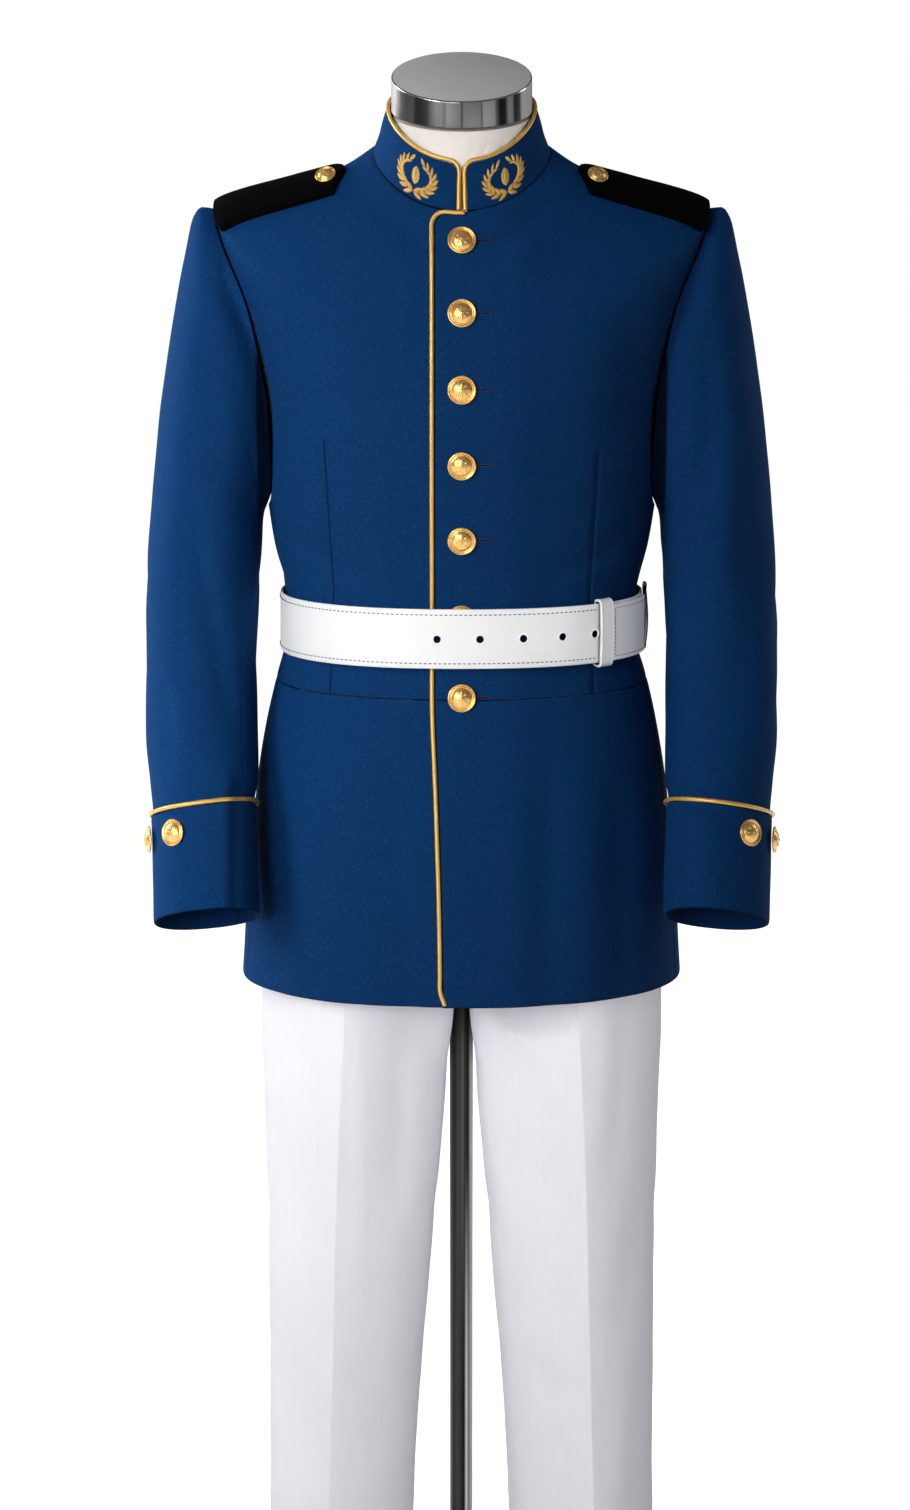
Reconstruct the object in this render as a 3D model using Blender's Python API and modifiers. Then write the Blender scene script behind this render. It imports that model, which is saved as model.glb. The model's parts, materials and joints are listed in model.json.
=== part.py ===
"""Firefighter's dress uniform on a limbless dress form.

A blue tunic with a stand collar, seven front buttons, shoulder boards and deep
cuffs, worn with a white belt over white pressed trousers.  Each cut piece is a
cloth wall of its own, lofted through sections that are worked out from a few
short tables of sizes.  Metres, +Z up, the front faces -Y, +X is the wearer's
left, and the origin is on the floor under the middle of the stand.
"""
import math

import bmesh
import bpy
import numpy as np
from mathutils import Matrix, Vector

# ---------------------------------------------------------------- sizes
CLOTH = 0.0015            # tunic and trouser cloth
COLLAR_WALL = 0.0025      # interlined stand collar
CUFF_WALL = 0.0020
SEAM = 0.00045            # way between two pieces along a seam
CLEAR = 0.0004            # way between a piece and what lies on it
PIPING_R = 0.0020
COLLAR_PIPING_R = 0.0018

WAIST_SEAM = 3            # level of BODY where the skirts are sewn on
UNDERARM = 8              # level of BODY at the foot of the armhole
SHOULDER_TIP = 11         # level of BODY at the head of the armhole
NECK = 13                 # level of BODY at the collar seam
LAP_EDGE = -0.0240        # x of the left front's edge, lapped over the right
LAP_EDGE_HEM = -0.0170
LAP_CORNER = 0.011        # rounding of the lapped edge at the neck
UNDERLAP_EDGE = 0.028     # x of the right front's hidden edge
LAP_RISE = CLOTH + 0.0009
LAP_BLEND = (0.042, 0.085)  # the lap sinks back to the body between these x
LAP_DROP = 0.115          # levels by which the lap's top stays under the collar
ARMHOLE_FRONT = 0.062     # reach of the armhole to the front and the back
ARMHOLE_BACK = 0.066

COLLAR_EDGE = 0.0048      # x of the collar's front edges
COLLAR_CORNER = 0.0080

CUFF_TOP = 11.0           # levels of SLEEVE
CUFF_HEM = 12.0
SLEEVE_END = 11.22
FRONT_SEAM = 140          # sleeve seams, degrees round from the outside
BACK_SEAM = 235

BUTTON_R = 0.0135
BUTTON_RISE = 0.0072
BUTTON_Z = (1.4862, 1.4226, 1.3555, 1.2885, 1.2215, 1.1530, 1.0805)
CUFF_BUTTON_R = 0.0125
CUFF_BUTTONS = ((64, -0.0006), (4, 0.0003))   # degrees round the cuff, way off its face
CUFF_BUTTON_LEVEL = 11.30
BOARD_BUTTON_R = 0.0095

BOARD_HALF = 0.0275
BOARD_THICK = 0.0048
BOARD_LIFT = BOARD_THICK + 0.0008
BOARD_MIDDLE = -0.0090    # the board lies a little before the shoulder seam
BOARD_LEVELS = (11.07, 12.66)
BOARD_POINT = 0.32        # levels from the point back to its shoulders
BOARD_BUTTON_LEVEL = 12.28

BELT_WALL = 0.0027
BELT_HEIGHT = 0.0540
EYELET_X = (-0.0221, 0.0163, 0.0552, 0.0905, 0.1199)
EYELET_R, EYELET_HOLE_R = 0.0047, 0.0029
KEEPER = (46.0, 53.5)     # degrees round the belt
FOLD = (55.0, 80.0)
BUCKLE = 87.0
KEEPER_WALL = 0.0020

POLE_R = 0.0110
FOOT_R, FOOT_HIGH, FOOT_EDGE = 0.021, 0.030, 0.004
BASE_R, BASE_THICK, BASE_EDGE = 0.200, 0.008, 0.002
CAP_R, CAP_HIGH = 0.0633, 0.0300
CAP_CENTRE = (0.0, -0.020, 1.6212)
CAP_TILT, CAP_FOOT_TILT = 18.5, 11.5

WAISTBAND = (1.0434, 1.0760)

# ---------------------------------------------------------------- section tables
SECTION = ("level", "half", "mid", "front", "back", "square", "z_front", "z_side", "z_back", "ridge")
BODY = [                  # tunic, hem to collar seam
    # lvl   half     mid     front   back   square z_front z_side z_back ridge
    (0.0, 0.2055, 0.000, 0.1400, 0.1460, 2.2, 0.7950, 0.7950, 0.7950, 2.0),
    (1.0, 0.1965, 0.000, 0.1350, 0.1440, 2.2, 0.9200, 0.9200, 0.9200, 2.0),
    (2.0, 0.1835, 0.000, 0.1270, 0.1320, 2.2, 1.0200, 1.0200, 1.0200, 2.0),
    (3.0, 0.1712, 0.000, 0.1210, 0.1180, 2.2, 1.0750, 1.0750, 1.0750, 2.0),
    (4.0, 0.1632, 0.000, 0.1175, 0.1090, 2.2, 1.1050, 1.1050, 1.1050, 2.0),
    (5.0, 0.1595, 0.000, 0.1158, 0.1055, 2.2, 1.1350, 1.1350, 1.1350, 2.0),
    (6.0, 0.1635, 0.000, 0.1165, 0.1075, 2.2, 1.1670, 1.1670, 1.1670, 2.0),
    (7.0, 0.1718, 0.000, 0.1205, 0.1140, 2.2, 1.2030, 1.2030, 1.2030, 2.0),
    (8.0, 0.1770, 0.000, 0.1250, 0.1210, 2.2, 1.2360, 1.2360, 1.2360, 2.0),
    (9.0, 0.1870, 0.000, 0.1315, 0.1290, 2.2, 1.3100, 1.3330, 1.3280, 1.8),
    (10.0, 0.2075, 0.000, 0.1275, 0.1270, 2.2, 1.3760, 1.4340, 1.4060, 1.5),
    (11.0, 0.2235, 0.000, 0.1170, 0.1140, 2.2, 1.4220, 1.5050, 1.4560, 1.35),
    (11.06, 0.2215, 0.000, 0.1158, 0.1132, 2.2, 1.4255, 1.5078, 1.4600, 1.35),
    (12.0, 0.1500, -0.003, 0.1010, 0.0960, 2.2, 1.4680, 1.5305, 1.4980, 1.35),
    (12.5, 0.1120, -0.0045, 0.0900, 0.0840, 2.2, 1.4885, 1.5400, 1.5240, 1.5),
    (13.0, 0.0797, -0.006, 0.0800, 0.0685, 2.1, 1.5080, 1.5550, 1.5640, 2.0),
]
COLLAR = [                # stand collar, seam to top edge
    (0.0, 0.0797, -0.0060, 0.0800, 0.0685, 2.1, 1.5085, 1.5555, 1.5645, 2.0),
    (1.0, 0.0746, -0.0075, 0.0765, 0.0655, 2.1, 1.5225, 1.5685, 1.5790, 2.0),
    (2.0, 0.0713, -0.0100, 0.0715, 0.0640, 2.1, 1.5365, 1.5810, 1.5930, 2.0),
    (3.0, 0.0672, -0.0130, 0.0660, 0.0640, 2.1, 1.5500, 1.5935, 1.6070, 2.0),
]
BELT = [                  # outer face of the strap, lower edge to upper edge
    (0.0, 0.1672, -0.0010, 0.1280, 0.1150, 2.2, 1.1050, 1.1030, 1.1030, 2.0),
    (1.0, 0.1667, -0.0010, 0.1280, 0.1150, 2.2, 1.1590, 1.1570, 1.1570, 2.0),
]
FORM = [                  # dress form below the shoulders
    (0.0, 0.0300, 0.000, 0.0300, 0.0300, 2.0, 0.8700, 0.8700, 0.8700, 2.0),
    (1.0, 0.0950, 0.000, 0.0570, 0.0620, 2.1, 0.8760, 0.8760, 0.8760, 2.0),
    (2.0, 0.1370, 0.000, 0.0760, 0.0860, 2.2, 0.9000, 0.9000, 0.9000, 2.0),
    (3.0, 0.1550, 0.000, 0.0900, 0.0940, 2.2, 0.9450, 0.9450, 0.9450, 2.0),
    (4.0, 0.1520, 0.000, 0.0950, 0.0930, 2.2, 0.9950, 0.9950, 0.9950, 2.0),
    (5.0, 0.1474, 0.000, 0.0999, 0.0949, 2.2, 1.0430, 1.0430, 1.0430, 2.0),
    (6.0, 0.1474, 0.000, 0.0999, 0.0949, 2.2, 1.0770, 1.0770, 1.0770, 2.0),
    (7.0, 0.1490, 0.000, 0.1030, 0.0970, 2.2, 1.1350, 1.1350, 1.1350, 2.0),
    (8.0, 0.1600, 0.000, 0.1090, 0.1040, 2.2, 1.2050, 1.2050, 1.2050, 2.0),
]
FORM_FOOT = 0.8700
FORM_INSET = [(8.4, 0.010), (9.2, 0.009), (10.0, 0.007), (10.6, 0.005), (11.06, 0.0035),
              (11.5, 0.0040), (12.1, 0.0042), (12.6, 0.0060)]   # body level, depth under it
FORM_NECK = [
    (0.0, 0.0710, -0.0075, 0.0705, 0.0600, 2.0, 1.5080, 1.5490, 1.5560, 2.0),
    (1.0, 0.0650, -0.0100, 0.0660, 0.0590, 2.0, 1.5300, 1.5660, 1.5760, 2.0),
    (2.0, 0.0620, -0.0130, 0.0620, 0.0595, 2.0, 1.5530, 1.5820, 1.5940, 2.0),
    (3.0, 0.0615, -0.0170, 0.0600, 0.0590, 2.0, 1.5770, 1.5890, 1.6010, 2.0),
]

ARM = ("level", "x_in", "z_in", "x_out", "z_out", "mid", "depth", "tilt", "square")
SLEEVE = [                # head to cuff hem
    # lvl   x_in    z_in   x_out   z_out    mid    depth   tilt  square
    (0.0, 0.1770, 1.2380, 0.2235, 1.5060, 0.0020, 0.0640, 0.0, 2.0),
    (1.0, 0.1785, 1.2345, 0.2345, 1.5065, 0.0020, 0.0690, 0.0, 2.0),
    (2.0, 0.1800, 1.2310, 0.2425, 1.4975, 0.0020, 0.0730, 0.0, 2.0),
    (3.0, 0.1815, 1.2250, 0.2510, 1.4610, 0.0020, 0.0770, 0.0, 2.1),
    (4.0, 0.1825, 1.2170, 0.2630, 1.4020, 0.0020, 0.0790, 0.0, 2.1),
    (5.0, 0.1832, 1.2040, 0.2750, 1.3220, 0.0010, 0.0790, 0.0, 2.2),
    (6.0, 0.1845, 1.1820, 0.2835, 1.2450, -0.0010, 0.0760, 2.0, 2.2),
    (7.0, 0.1868, 1.1450, 0.2893, 1.1600, -0.0060, 0.0715, 5.0, 2.2),
    (8.0, 0.1880, 1.0900, 0.2905, 1.0900, -0.0200, 0.0685, 10.0, 2.2),
    (9.0, 0.1880, 1.0350, 0.2892, 1.0300, -0.0420, 0.0660, 14.0, 2.2),
    (10.0, 0.1868, 0.9950, 0.2842, 0.9880, -0.0660, 0.0635, 16.0, 2.2),
    (11.0, 0.1888, 0.9710, 0.2808, 0.9580, -0.0790, 0.0615, 17.0, 2.2),
    (12.0, 0.1858, 0.8755, 0.2772, 0.8660, -0.1120, 0.0605, 17.0, 2.2),
]
SEAM_FADE = 5.0           # sleeve levels over which the armhole's own curve dies out

LEG = ("level", "z", "x_out", "x_crease", "x_in", "mid", "front", "back", "in_front", "in_back", "press")
TROUSER = [               # waist to hem; the inner edges meet at the rise, then at the inseam
    # lvl   z      x_out   crease  x_in    mid    front   back    in_fr   in_bk   press
    (0.0, 1.0430, 0.1495, 0.0850, 0.0003, 0.000, 0.1020, 0.0970, -0.1010, 0.0960, 0.10),
    (1.0, 0.9900, 0.1640, 0.0950, 0.0003, 0.000, 0.1050, 0.1030, -0.1030, 0.1010, 0.20),
    (2.0, 0.9300, 0.1740, 0.1020, 0.0003, 0.000, 0.1050, 0.1080, -0.0980, 0.1050, 0.30),
    (3.0, 0.8750, 0.1810, 0.1060, 0.0003, 0.002, 0.1040, 0.1080, -0.0800, 0.0930, 0.40),
    (4.0, 0.8350, 0.1850, 0.1070, 0.0003, 0.004, 0.1020, 0.1060, -0.0440, 0.0560, 0.45),
    (5.0, 0.8100, 0.1880, 0.1075, 0.0130, 0.004, 0.1010, 0.1050, -0.0150, 0.0180, 0.50),
    (6.0, 0.7700, 0.1885, 0.1080, 0.0138, 0.004, 0.0990, 0.1030, 0.0020, 0.0020, 0.55),
    (7.0, 0.7000, 0.1872, 0.1115, 0.0142, 0.003, 0.0960, 0.0990, 0.0020, 0.0020, 0.60),
    (8.0, 0.6000, 0.1848, 0.1160, 0.0235, 0.002, 0.0900, 0.0930, 0.0010, 0.0010, 0.65),
    (9.0, 0.5000, 0.1830, 0.1190, 0.0325, 0.000, 0.0850, 0.0870, 0.0000, 0.0000, 0.65),
    (10.0, 0.3500, 0.1835, 0.1235, 0.0410, 0.000, 0.0810, 0.0830, 0.0000, 0.0000, 0.65),
    (11.0, 0.1500, 0.1862, 0.1290, 0.0480, 0.000, 0.0790, 0.0820, 0.0000, 0.0000, 0.65),
    (12.0, 0.0400, 0.1872, 0.1310, 0.0500, 0.000, 0.0800, 0.0830, 0.0000, 0.0000, 0.65),
]


class Sections:
    """Rows of named sizes by level, read smoothly (monotone cubic) in between."""

    def __init__(self, columns, rows):
        self.columns = columns[1:]
        table = np.array(rows, dtype=float)
        self.levels, self.rows = table[:, 0], table[:, 1:]
        gaps = np.diff(self.levels)
        rates = np.diff(self.rows, axis=0) / gaps[:, None]
        slopes = np.zeros_like(self.rows)
        slopes[0], slopes[-1] = rates[0], rates[-1]
        for i in range(1, len(rows) - 1):
            a, b = rates[i - 1], rates[i]
            near, far = 2 * gaps[i] + gaps[i - 1], gaps[i] + 2 * gaps[i - 1]
            under = near * b + far * a
            same = a * b > 0
            slopes[i] = np.where(same, (near + far) * a * b / np.where(same, under, 1.0), 0.0)
        self.slopes = slopes

    def at(self, level):
        """Return the sizes at a level as a dictionary by column name."""
        i = int(np.clip(np.searchsorted(self.levels, level, side="right") - 1, 0, len(self.levels) - 2))
        gap = self.levels[i + 1] - self.levels[i]
        t = (level - self.levels[i]) / gap
        p, q = self.rows[i], self.rows[i + 1]
        m, n = self.slopes[i] * gap, self.slopes[i + 1] * gap
        blend = (1 + 2 * t) * (1 - t) ** 2 * p + t * (1 - t) ** 2 * m
        blend = blend + t * t * (3 - 2 * t) * q + t * t * (t - 1) * n
        return dict(zip(self.columns, blend))

    def level_of(self, column, value, low, high):
        """Return the level between low and high where a rising column has this value."""
        for _ in range(40):
            half = (low + high) / 2
            if self.at(half)[column] < value:
                low = half
            else:
                high = half
        return (low + high) / 2


body_sections = Sections(SECTION, BODY)
collar_sections = Sections(SECTION, COLLAR)
belt_sections = Sections(SECTION, BELT)
form_sections = Sections(SECTION, FORM)
neck_sections = Sections(SECTION, FORM_NECK)
sleeve_sections = Sections(ARM, SLEEVE)
trouser_sections = Sections(LEG, TROUSER)


# ---------------------------------------------------------------- surfaces
def power(value, exponent):
    """Signed power, for the squared-off ovals."""
    return math.copysign(abs(value) ** exponent, value)


def smooth(t):
    """Ease from 0 to 1."""
    t = min(max(t, 0.0), 1.0)
    return t * t * (3 - 2 * t)


def section_point(sections, level, degrees):
    """Point on a squared oval ring; 0 degrees is the front and 90 the wearer's left."""
    s = sections.at(level)
    c, n = math.cos(math.radians(degrees)), math.sin(math.radians(degrees))
    depth = s["front"] if c > 0 else s["back"]
    x = s["half"] * power(n, 2 / s["square"])
    y = s["mid"] - depth * power(c, 2 / s["square"])
    lean = (s["z_back"] - s["z_front"]) / 2
    droop = s["z_side"] - (s["z_front"] + s["z_back"]) / 2
    return Vector((x, y, s["z_side"] - lean * c - droop * abs(c) ** s["ridge"]))


def normal_at(surface, level, across):
    """Outward normal of a surface, from its own slopes; a narrow step keeps seams in line."""
    step = 0.5 if surface.turns else 0.01
    along = surface(level, across + step) - surface(level, across - step)
    up = surface(level + 0.01, across) - surface(level - 0.01, across)
    return along.cross(up).normalized() * surface.side


def moved_out(surface, level, across, distance):
    """Point of a surface moved out along its normal."""
    return surface(level, across) + normal_at(surface, level, across) * distance


def faces(side=1, turns=True):
    """Mark a surface: whether its levels run up (1) or down (-1), and if it goes round in degrees."""
    def mark(surface):
        surface.side, surface.turns = side, turns
        return surface
    return mark


@faces()
def body(level, degrees):
    """The tunic's own surface, whole, before its armholes are cut."""
    return section_point(body_sections, level, degrees)


@faces()
def collar(level, degrees):
    """The stand collar's outer face; level 0 is its seam and 3 its top edge."""
    return section_point(collar_sections, level, degrees)


@faces()
def belt(level, degrees):
    """The strap's outer face; level 0 is its lower edge and 1 its upper edge."""
    return section_point(belt_sections, level, degrees)


def angle_at_x(sections, level, x):
    """Degrees round a ring, on its front half, where it reaches this x."""
    s = sections.at(level)
    share = min(abs(x) / s["half"], 1.0)
    return math.copysign(math.degrees(math.asin(power(share, s["square"] / 2))), x)


def angle_at_y(sections, level, y):
    """Degrees round a ring's left side where it lies y in front of (-) or behind (+) its middle."""
    s = sections.at(level)
    depth = s["front"] if y < 0 else s["back"]
    return math.degrees(math.acos(power(-y / depth, s["square"] / 2)))


def side_seam(level):
    """Degrees of the side seam: under the arm at the top, a little forward at the hem."""
    return 90 - 14 * smooth((UNDERARM - level) / UNDERARM * 1.1)


def armhole_reach(level):
    """How far the armhole reaches from the side at a level, as a share of its depth."""
    across = 2 * (level - UNDERARM) / (SHOULDER_TIP - UNDERARM) - 1
    return max(1 - across * across, 0.0) ** 0.42


def front_limit(level):
    """Degrees where the front ends: side seam, armhole, then shoulder seam."""
    if level < UNDERARM:
        return side_seam(level)
    if level > SHOULDER_TIP:
        return 90.0
    return angle_at_y(body_sections, level, -ARMHOLE_FRONT * armhole_reach(level))


def back_limit(level):
    """Degrees where the back ends on the same three lines."""
    if level < UNDERARM:
        return side_seam(level)
    if level > SHOULDER_TIP:
        return 90.0
    return angle_at_y(body_sections, level, ARMHOLE_BACK * armhole_reach(level))


def lap_rise(x):
    """How far the lapped left front stands off the body at x."""
    low, high = LAP_BLEND
    return LAP_RISE * (1 - smooth((x - low) / (high - low)))


def lap_level(level, x):
    """Level on the body of a point of the left front, which stops under the collar near its edge."""
    return level - LAP_DROP * (1 - smooth((x - 0.004) / 0.010)) * smooth((level - 12.3) / (NECK - 12.3))


def lap_edge(level):
    """x of the left front's edge: straight, drawn in at the hem, rounded off at the neck."""
    hem = 1 - smooth(level / WAIST_SEAM)
    x = LAP_EDGE + (LAP_EDGE_HEM - LAP_EDGE) * hem
    top = body_sections.at(lap_level(NECK, x))["z_front"]
    rise = body_sections.at(lap_level(level, x))["z_front"] - top + LAP_CORNER
    if rise > 0:
        x += LAP_CORNER - math.sqrt(max(LAP_CORNER ** 2 - rise ** 2, 0.0))
    return x


@faces()
def left_front(level, degrees):
    """The left front, which lies over the right one near the middle and stops under the collar."""
    x = body(level, degrees).x
    return moved_out(body, lap_level(level, x), degrees, lap_rise(x))


def armhole(degrees):
    """The armhole seam, 0 at the shoulder, 90 to the front and 180 under the arm."""
    c = math.cos(math.radians(degrees))
    level = UNDERARM + (SHOULDER_TIP - UNDERARM) * (1 + c) / 2
    limit = front_limit if math.sin(math.radians(degrees)) >= 0 else back_limit
    return body(level, limit(level))


def sleeve_ring(level, degrees):
    """A flat ring of the sleeve, 0 degrees outside, 90 to the front, 180 inside."""
    s = sleeve_sections.at(level)
    c, n = math.cos(math.radians(degrees)), math.sin(math.radians(degrees))
    inner, outer = Vector((s["x_in"], 0, s["z_in"])), Vector((s["x_out"], 0, s["z_out"]))
    tilt = math.radians(s["tilt"])
    forward = Vector((0, -math.cos(tilt), math.sin(tilt)))
    centre = (inner + outer) / 2 + Vector((0, s["mid"], 0))
    exponent = 2 / s["square"]
    return centre + (outer - inner) / 2 * power(c, exponent) + forward * s["depth"] * power(n, exponent)


@faces()
def sleeve(level, degrees):
    """The sleeve, which leaves the armhole along the armhole's own curve."""
    point = sleeve_ring(level, degrees)
    if level >= SEAM_FADE:
        return point
    outward = Vector((1, 0, 0)) * (SEAM + 0.0002)
    fade = (1 - level / SEAM_FADE) ** 2
    return point + (armhole(degrees) + outward - sleeve_ring(0, degrees)) * fade


def pressed_arc(share, press):
    """Along and across shares of a leg's quarter section, cornered at the crease by press.

    share runs from 0 at the crease to 1 at the side, and a little past it on the same curve."""
    turn = share * math.pi / 2
    across = (1 - press) * math.sin(turn) + press * (1 - (1 - share) ** 2)
    along = (1 - press) * math.cos(turn) + press * (1 - share)
    return across, along


def trouser(level, share, half):
    """Point of a leg.

    share is -1 at the inner edge, 0 on the crease and 1 at the side; half is -1
    for the front piece and 1 for the back."""
    s = trouser_sections.at(level)
    if share >= 0:
        edge_x, edge_y = s["x_out"], s["mid"]
    else:
        edge_x, edge_y = s["x_in"], s["in_front" if half < 0 else "in_back"]
    crease_y = s["mid"] + half * s["front" if half < 0 else "back"]
    across, along = pressed_arc(abs(share), s["press"])
    x = s["x_crease"] + (edge_x - s["x_crease"]) * across
    return Vector((x, edge_y + (crease_y - edge_y) * along, s["z"]))


@faces(side=-1, turns=False)
def trouser_front(level, share):
    """Front of the left leg."""
    return trouser(level, share, -1)


@faces(side=1, turns=False)
def trouser_back(level, share):
    """Back of the left leg."""
    return trouser(level, share, 1)


# ---------------------------------------------------------------- building tools
def material(name, colour, roughness, metallic=0.0):
    """Make a Principled material."""
    made = bpy.data.materials.new(name)
    made.use_nodes = True
    shader = made.node_tree.nodes["Principled BSDF"]
    shader.inputs["Base Color"].default_value = (*colour, 1.0)
    shader.inputs["Roughness"].default_value = roughness
    shader.inputs["Metallic"].default_value = metallic
    return made


def place(obj, finish):
    """Give an object its material and put it in the uniform's collection."""
    obj.data.materials.append(finish)
    for owner in list(obj.users_collection):
        owner.objects.unlink(obj)
    uniform.objects.link(obj)
    return obj


def shade(mesh, degrees=35):
    """Shade a mesh smooth with its hard edges kept."""
    mesh.shade_smooth()
    mesh.set_sharp_from_angle(angle=math.radians(degrees))


def skin(work, grid, ring):
    """Fill the cells of a grid of mesh points."""
    count = len(grid[0])
    for lower, upper in zip(grid, grid[1:]):
        for j in range(count if ring else count - 1):
            k = (j + 1) % count
            work.faces.new((lower[j], lower[k], upper[k], upper[j]))


def cloth(name, surface, cells, finish, wall=CLOTH, lift=0.0, ring=False, flip=False):
    """A wall of cloth over a surface.

    cells are rows of (level, across) that rise with the rows and run so that the
    surface's outside faces out; lift moves the outer face off the surface."""
    mesh = bpy.data.meshes.new(name)
    work = bmesh.new()
    sheets = []
    for distance in (lift, lift - wall):
        rows = [[moved_out(surface, level, across, distance) for level, across in row] for row in cells]
        rows = mirrored(rows) if flip else rows
        sheets.append([[work.verts.new(point) for point in row] for row in rows])
    outer, inner = sheets
    skin(work, outer, ring)
    skin(work, [list(reversed(row)) for row in inner], ring)
    if ring:
        rims = [(outer[0] + outer[0][:1], inner[0] + inner[0][:1]),
                (inner[-1] + inner[-1][:1], outer[-1] + outer[-1][:1])]
    else:
        columns = [list(column) for column in zip(*outer)], [list(column) for column in zip(*inner)]
        rims = [(outer[0], inner[0]), (inner[-1], outer[-1]),
                (columns[1][0], columns[0][0]), (columns[0][-1], columns[1][-1])]
    for near, far in rims:
        for a, b, c, d in zip(near, near[1:], far[1:], far):
            work.faces.new((b, a, d, c))
    work.to_mesh(mesh)
    work.free()
    shade(mesh)
    return place(bpy.data.objects.new(name, mesh), finish)


def loft(name, rows, finish, wall=0.0, outward=False, ring=False, capped=False):
    """Skin rows of points; a wall turns the open skin into a shell of that thickness."""
    mesh = bpy.data.meshes.new(name)
    work = bmesh.new()
    grid = [[work.verts.new(point) for point in row] for row in rows]
    skin(work, grid, ring)
    if capped:
        work.faces.new(list(reversed(grid[0])))
        work.faces.new(grid[-1])
    work.to_mesh(mesh)
    work.free()
    shade(mesh)
    obj = place(bpy.data.objects.new(name, mesh), finish)
    if wall:
        shell = obj.modifiers.new("cloth", "SOLIDIFY")
        shell.thickness = wall
        shell.offset = 1 if outward else -1
        shell.use_even_offset = True
    return obj


def mirrored(rows):
    """The same rows on the wearer's right, still facing outwards."""
    return [[Vector((-p.x, p.y, p.z)) for p in reversed(row)] for row in rows]


def tube(name, points, radius, finish, closed=False):
    """Round cord along points."""
    curve = bpy.data.curves.new(name, "CURVE")
    curve.dimensions = "3D"
    curve.bevel_depth = radius
    curve.bevel_resolution = 1
    curve.use_fill_caps = True
    spline = curve.splines.new("POLY")
    spline.points.add(len(points) - 1)
    for slot, point in zip(spline.points, points):
        slot.co = (*point, 1.0)
    spline.use_cyclic_u = closed
    return place(bpy.data.objects.new(name, curve), finish)


def turned(name, profile, finish, steps):
    """Turn a profile of (radius, height) pairs, listed from the top down, about Z."""
    mesh = bpy.data.meshes.new(name)
    points = [(radius, 0, height) for radius, height in profile]
    mesh.from_pydata(points, [(i, i + 1) for i in range(len(points) - 1)], [])
    obj = place(bpy.data.objects.new(name, mesh), finish)
    lathe = obj.modifiers.new("turn", "SCREW")
    lathe.steps = lathe.render_steps = steps
    lathe.use_merge_vertices = True
    lathe.merge_threshold = 0.00001
    lathe.use_smooth_shade = True
    return obj


def stand_on(obj, point, normal):
    """Put an object's origin on a point with its Z along a normal."""
    turn = Vector(normal).to_track_quat("Z", "Y")
    obj.matrix_world = Matrix.LocRotScale(point, turn, None)
    return obj


def spread(low, high, count):
    """Evenly spaced values, both ends included."""
    return [low + (high - low) * i / (count - 1) for i in range(count)]


# ---------------------------------------------------------------- tunic
UPPER_LEVELS = (3, 4, 5, 6, 7, 8, 8.12, 8.4, 8.8, 9.3, 9.8, 10.3, 10.75, 11, 11.08, 11.5, 12, 12.3, 12.6,
                13)
LAP_LEVELS = UPPER_LEVELS[:-1] + (12.76, 12.86, 12.95, 13)
SKIRT_LEVELS = (0, 0.5, 1, 1.6, 2.2, 3)
FRONT_SPAN, BACK_SPAN = 58, 122   # degrees that the fronts' and the backs' own columns keep to


def panel(levels, start, end, columns):
    """Cells of a body panel between two seam lines, each given as degrees by level.

    The side of the panel that meets the armhole has columns of its own."""
    rows = []
    for level in levels:
        first, last = start(level), end(level)
        if last < 100:
            near = spread(first, FRONT_SPAN, columns + 1) + spread(FRONT_SPAN, last, 4)[1:]
        else:
            near = spread(first, BACK_SPAN, 4)[:-1] + spread(BACK_SPAN, last, columns + 1)
        rows.append([(level, a) for a in near])
    return rows


def seam_degrees(level):
    """Half a seam's width as degrees round the body."""
    return math.degrees(SEAM / 2 / body_sections.at(level)["front"])


def shrink(levels, foot, head):
    """Draw a panel's first and last rows in by half a seam."""
    return [levels[0] + foot] + list(levels[1:-1]) + [levels[-1] - head]


def lap_angle(level):
    """Degrees of the left front's edge."""
    x = lap_edge(level)
    return angle_at_x(body_sections, lap_level(level, x), x)


def build_tunic_body():
    """Fronts, backs and the four skirts, each cut at its seams."""
    seam_level = 0.006
    skirt = shrink(SKIRT_LEVELS, 0, seam_level)
    for part, levels, lap_levels in (("front", UPPER_LEVELS, LAP_LEVELS), ("skirt_front", skirt, skirt)):
        foot = seam_level if part == "front" else 0
        left = panel(shrink(lap_levels, foot, 0), lap_angle,
                     lambda v: front_limit(v) - seam_degrees(v), 6)
        cloth(part + "_left", left_front, left, blue)
        right = panel(shrink(levels, foot, 0), lambda v: angle_at_x(body_sections, v, -UNDERLAP_EDGE),
                      lambda v: front_limit(v) - seam_degrees(v), 6)
        cloth(part + "_right", body, right, blue, flip=True)
    for part, levels in (("back", shrink(UPPER_LEVELS, seam_level, 0)), ("skirt_back", skirt)):
        cells = panel(levels, lambda v: back_limit(v) + seam_degrees(v), lambda v: 180 - seam_degrees(v), 5)
        cloth(part + "_left", body, cells, blue)
        cloth(part + "_right", body, cells, blue, flip=True)


def collar_top(distance):
    """Share of the collar's height at a distance from its front edge, for the round corner."""
    short = COLLAR_CORNER - min(distance, COLLAR_CORNER)
    drop = COLLAR_CORNER - math.sqrt(COLLAR_CORNER ** 2 - short ** 2)
    high = collar_sections.at(3)["z_front"] - collar_sections.at(0)["z_front"]
    return 1 - drop / high


def collar_columns():
    """Degrees round the collar, close together at its two front corners, with each one's height."""
    near = [COLLAR_EDGE + step * COLLAR_CORNER for step in (0, 0.08, 0.3, 0.6, 1)]
    first = [(angle_at_x(collar_sections, 2, x), collar_top(x - COLLAR_EDGE)) for x in near]
    middle = [(a, 1.0) for a in spread(first[-1][0], 360 - first[-1][0], 24)][1:-1]
    last = [(360 - a, high) for a, high in reversed(first)]
    return first + middle + last


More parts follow.
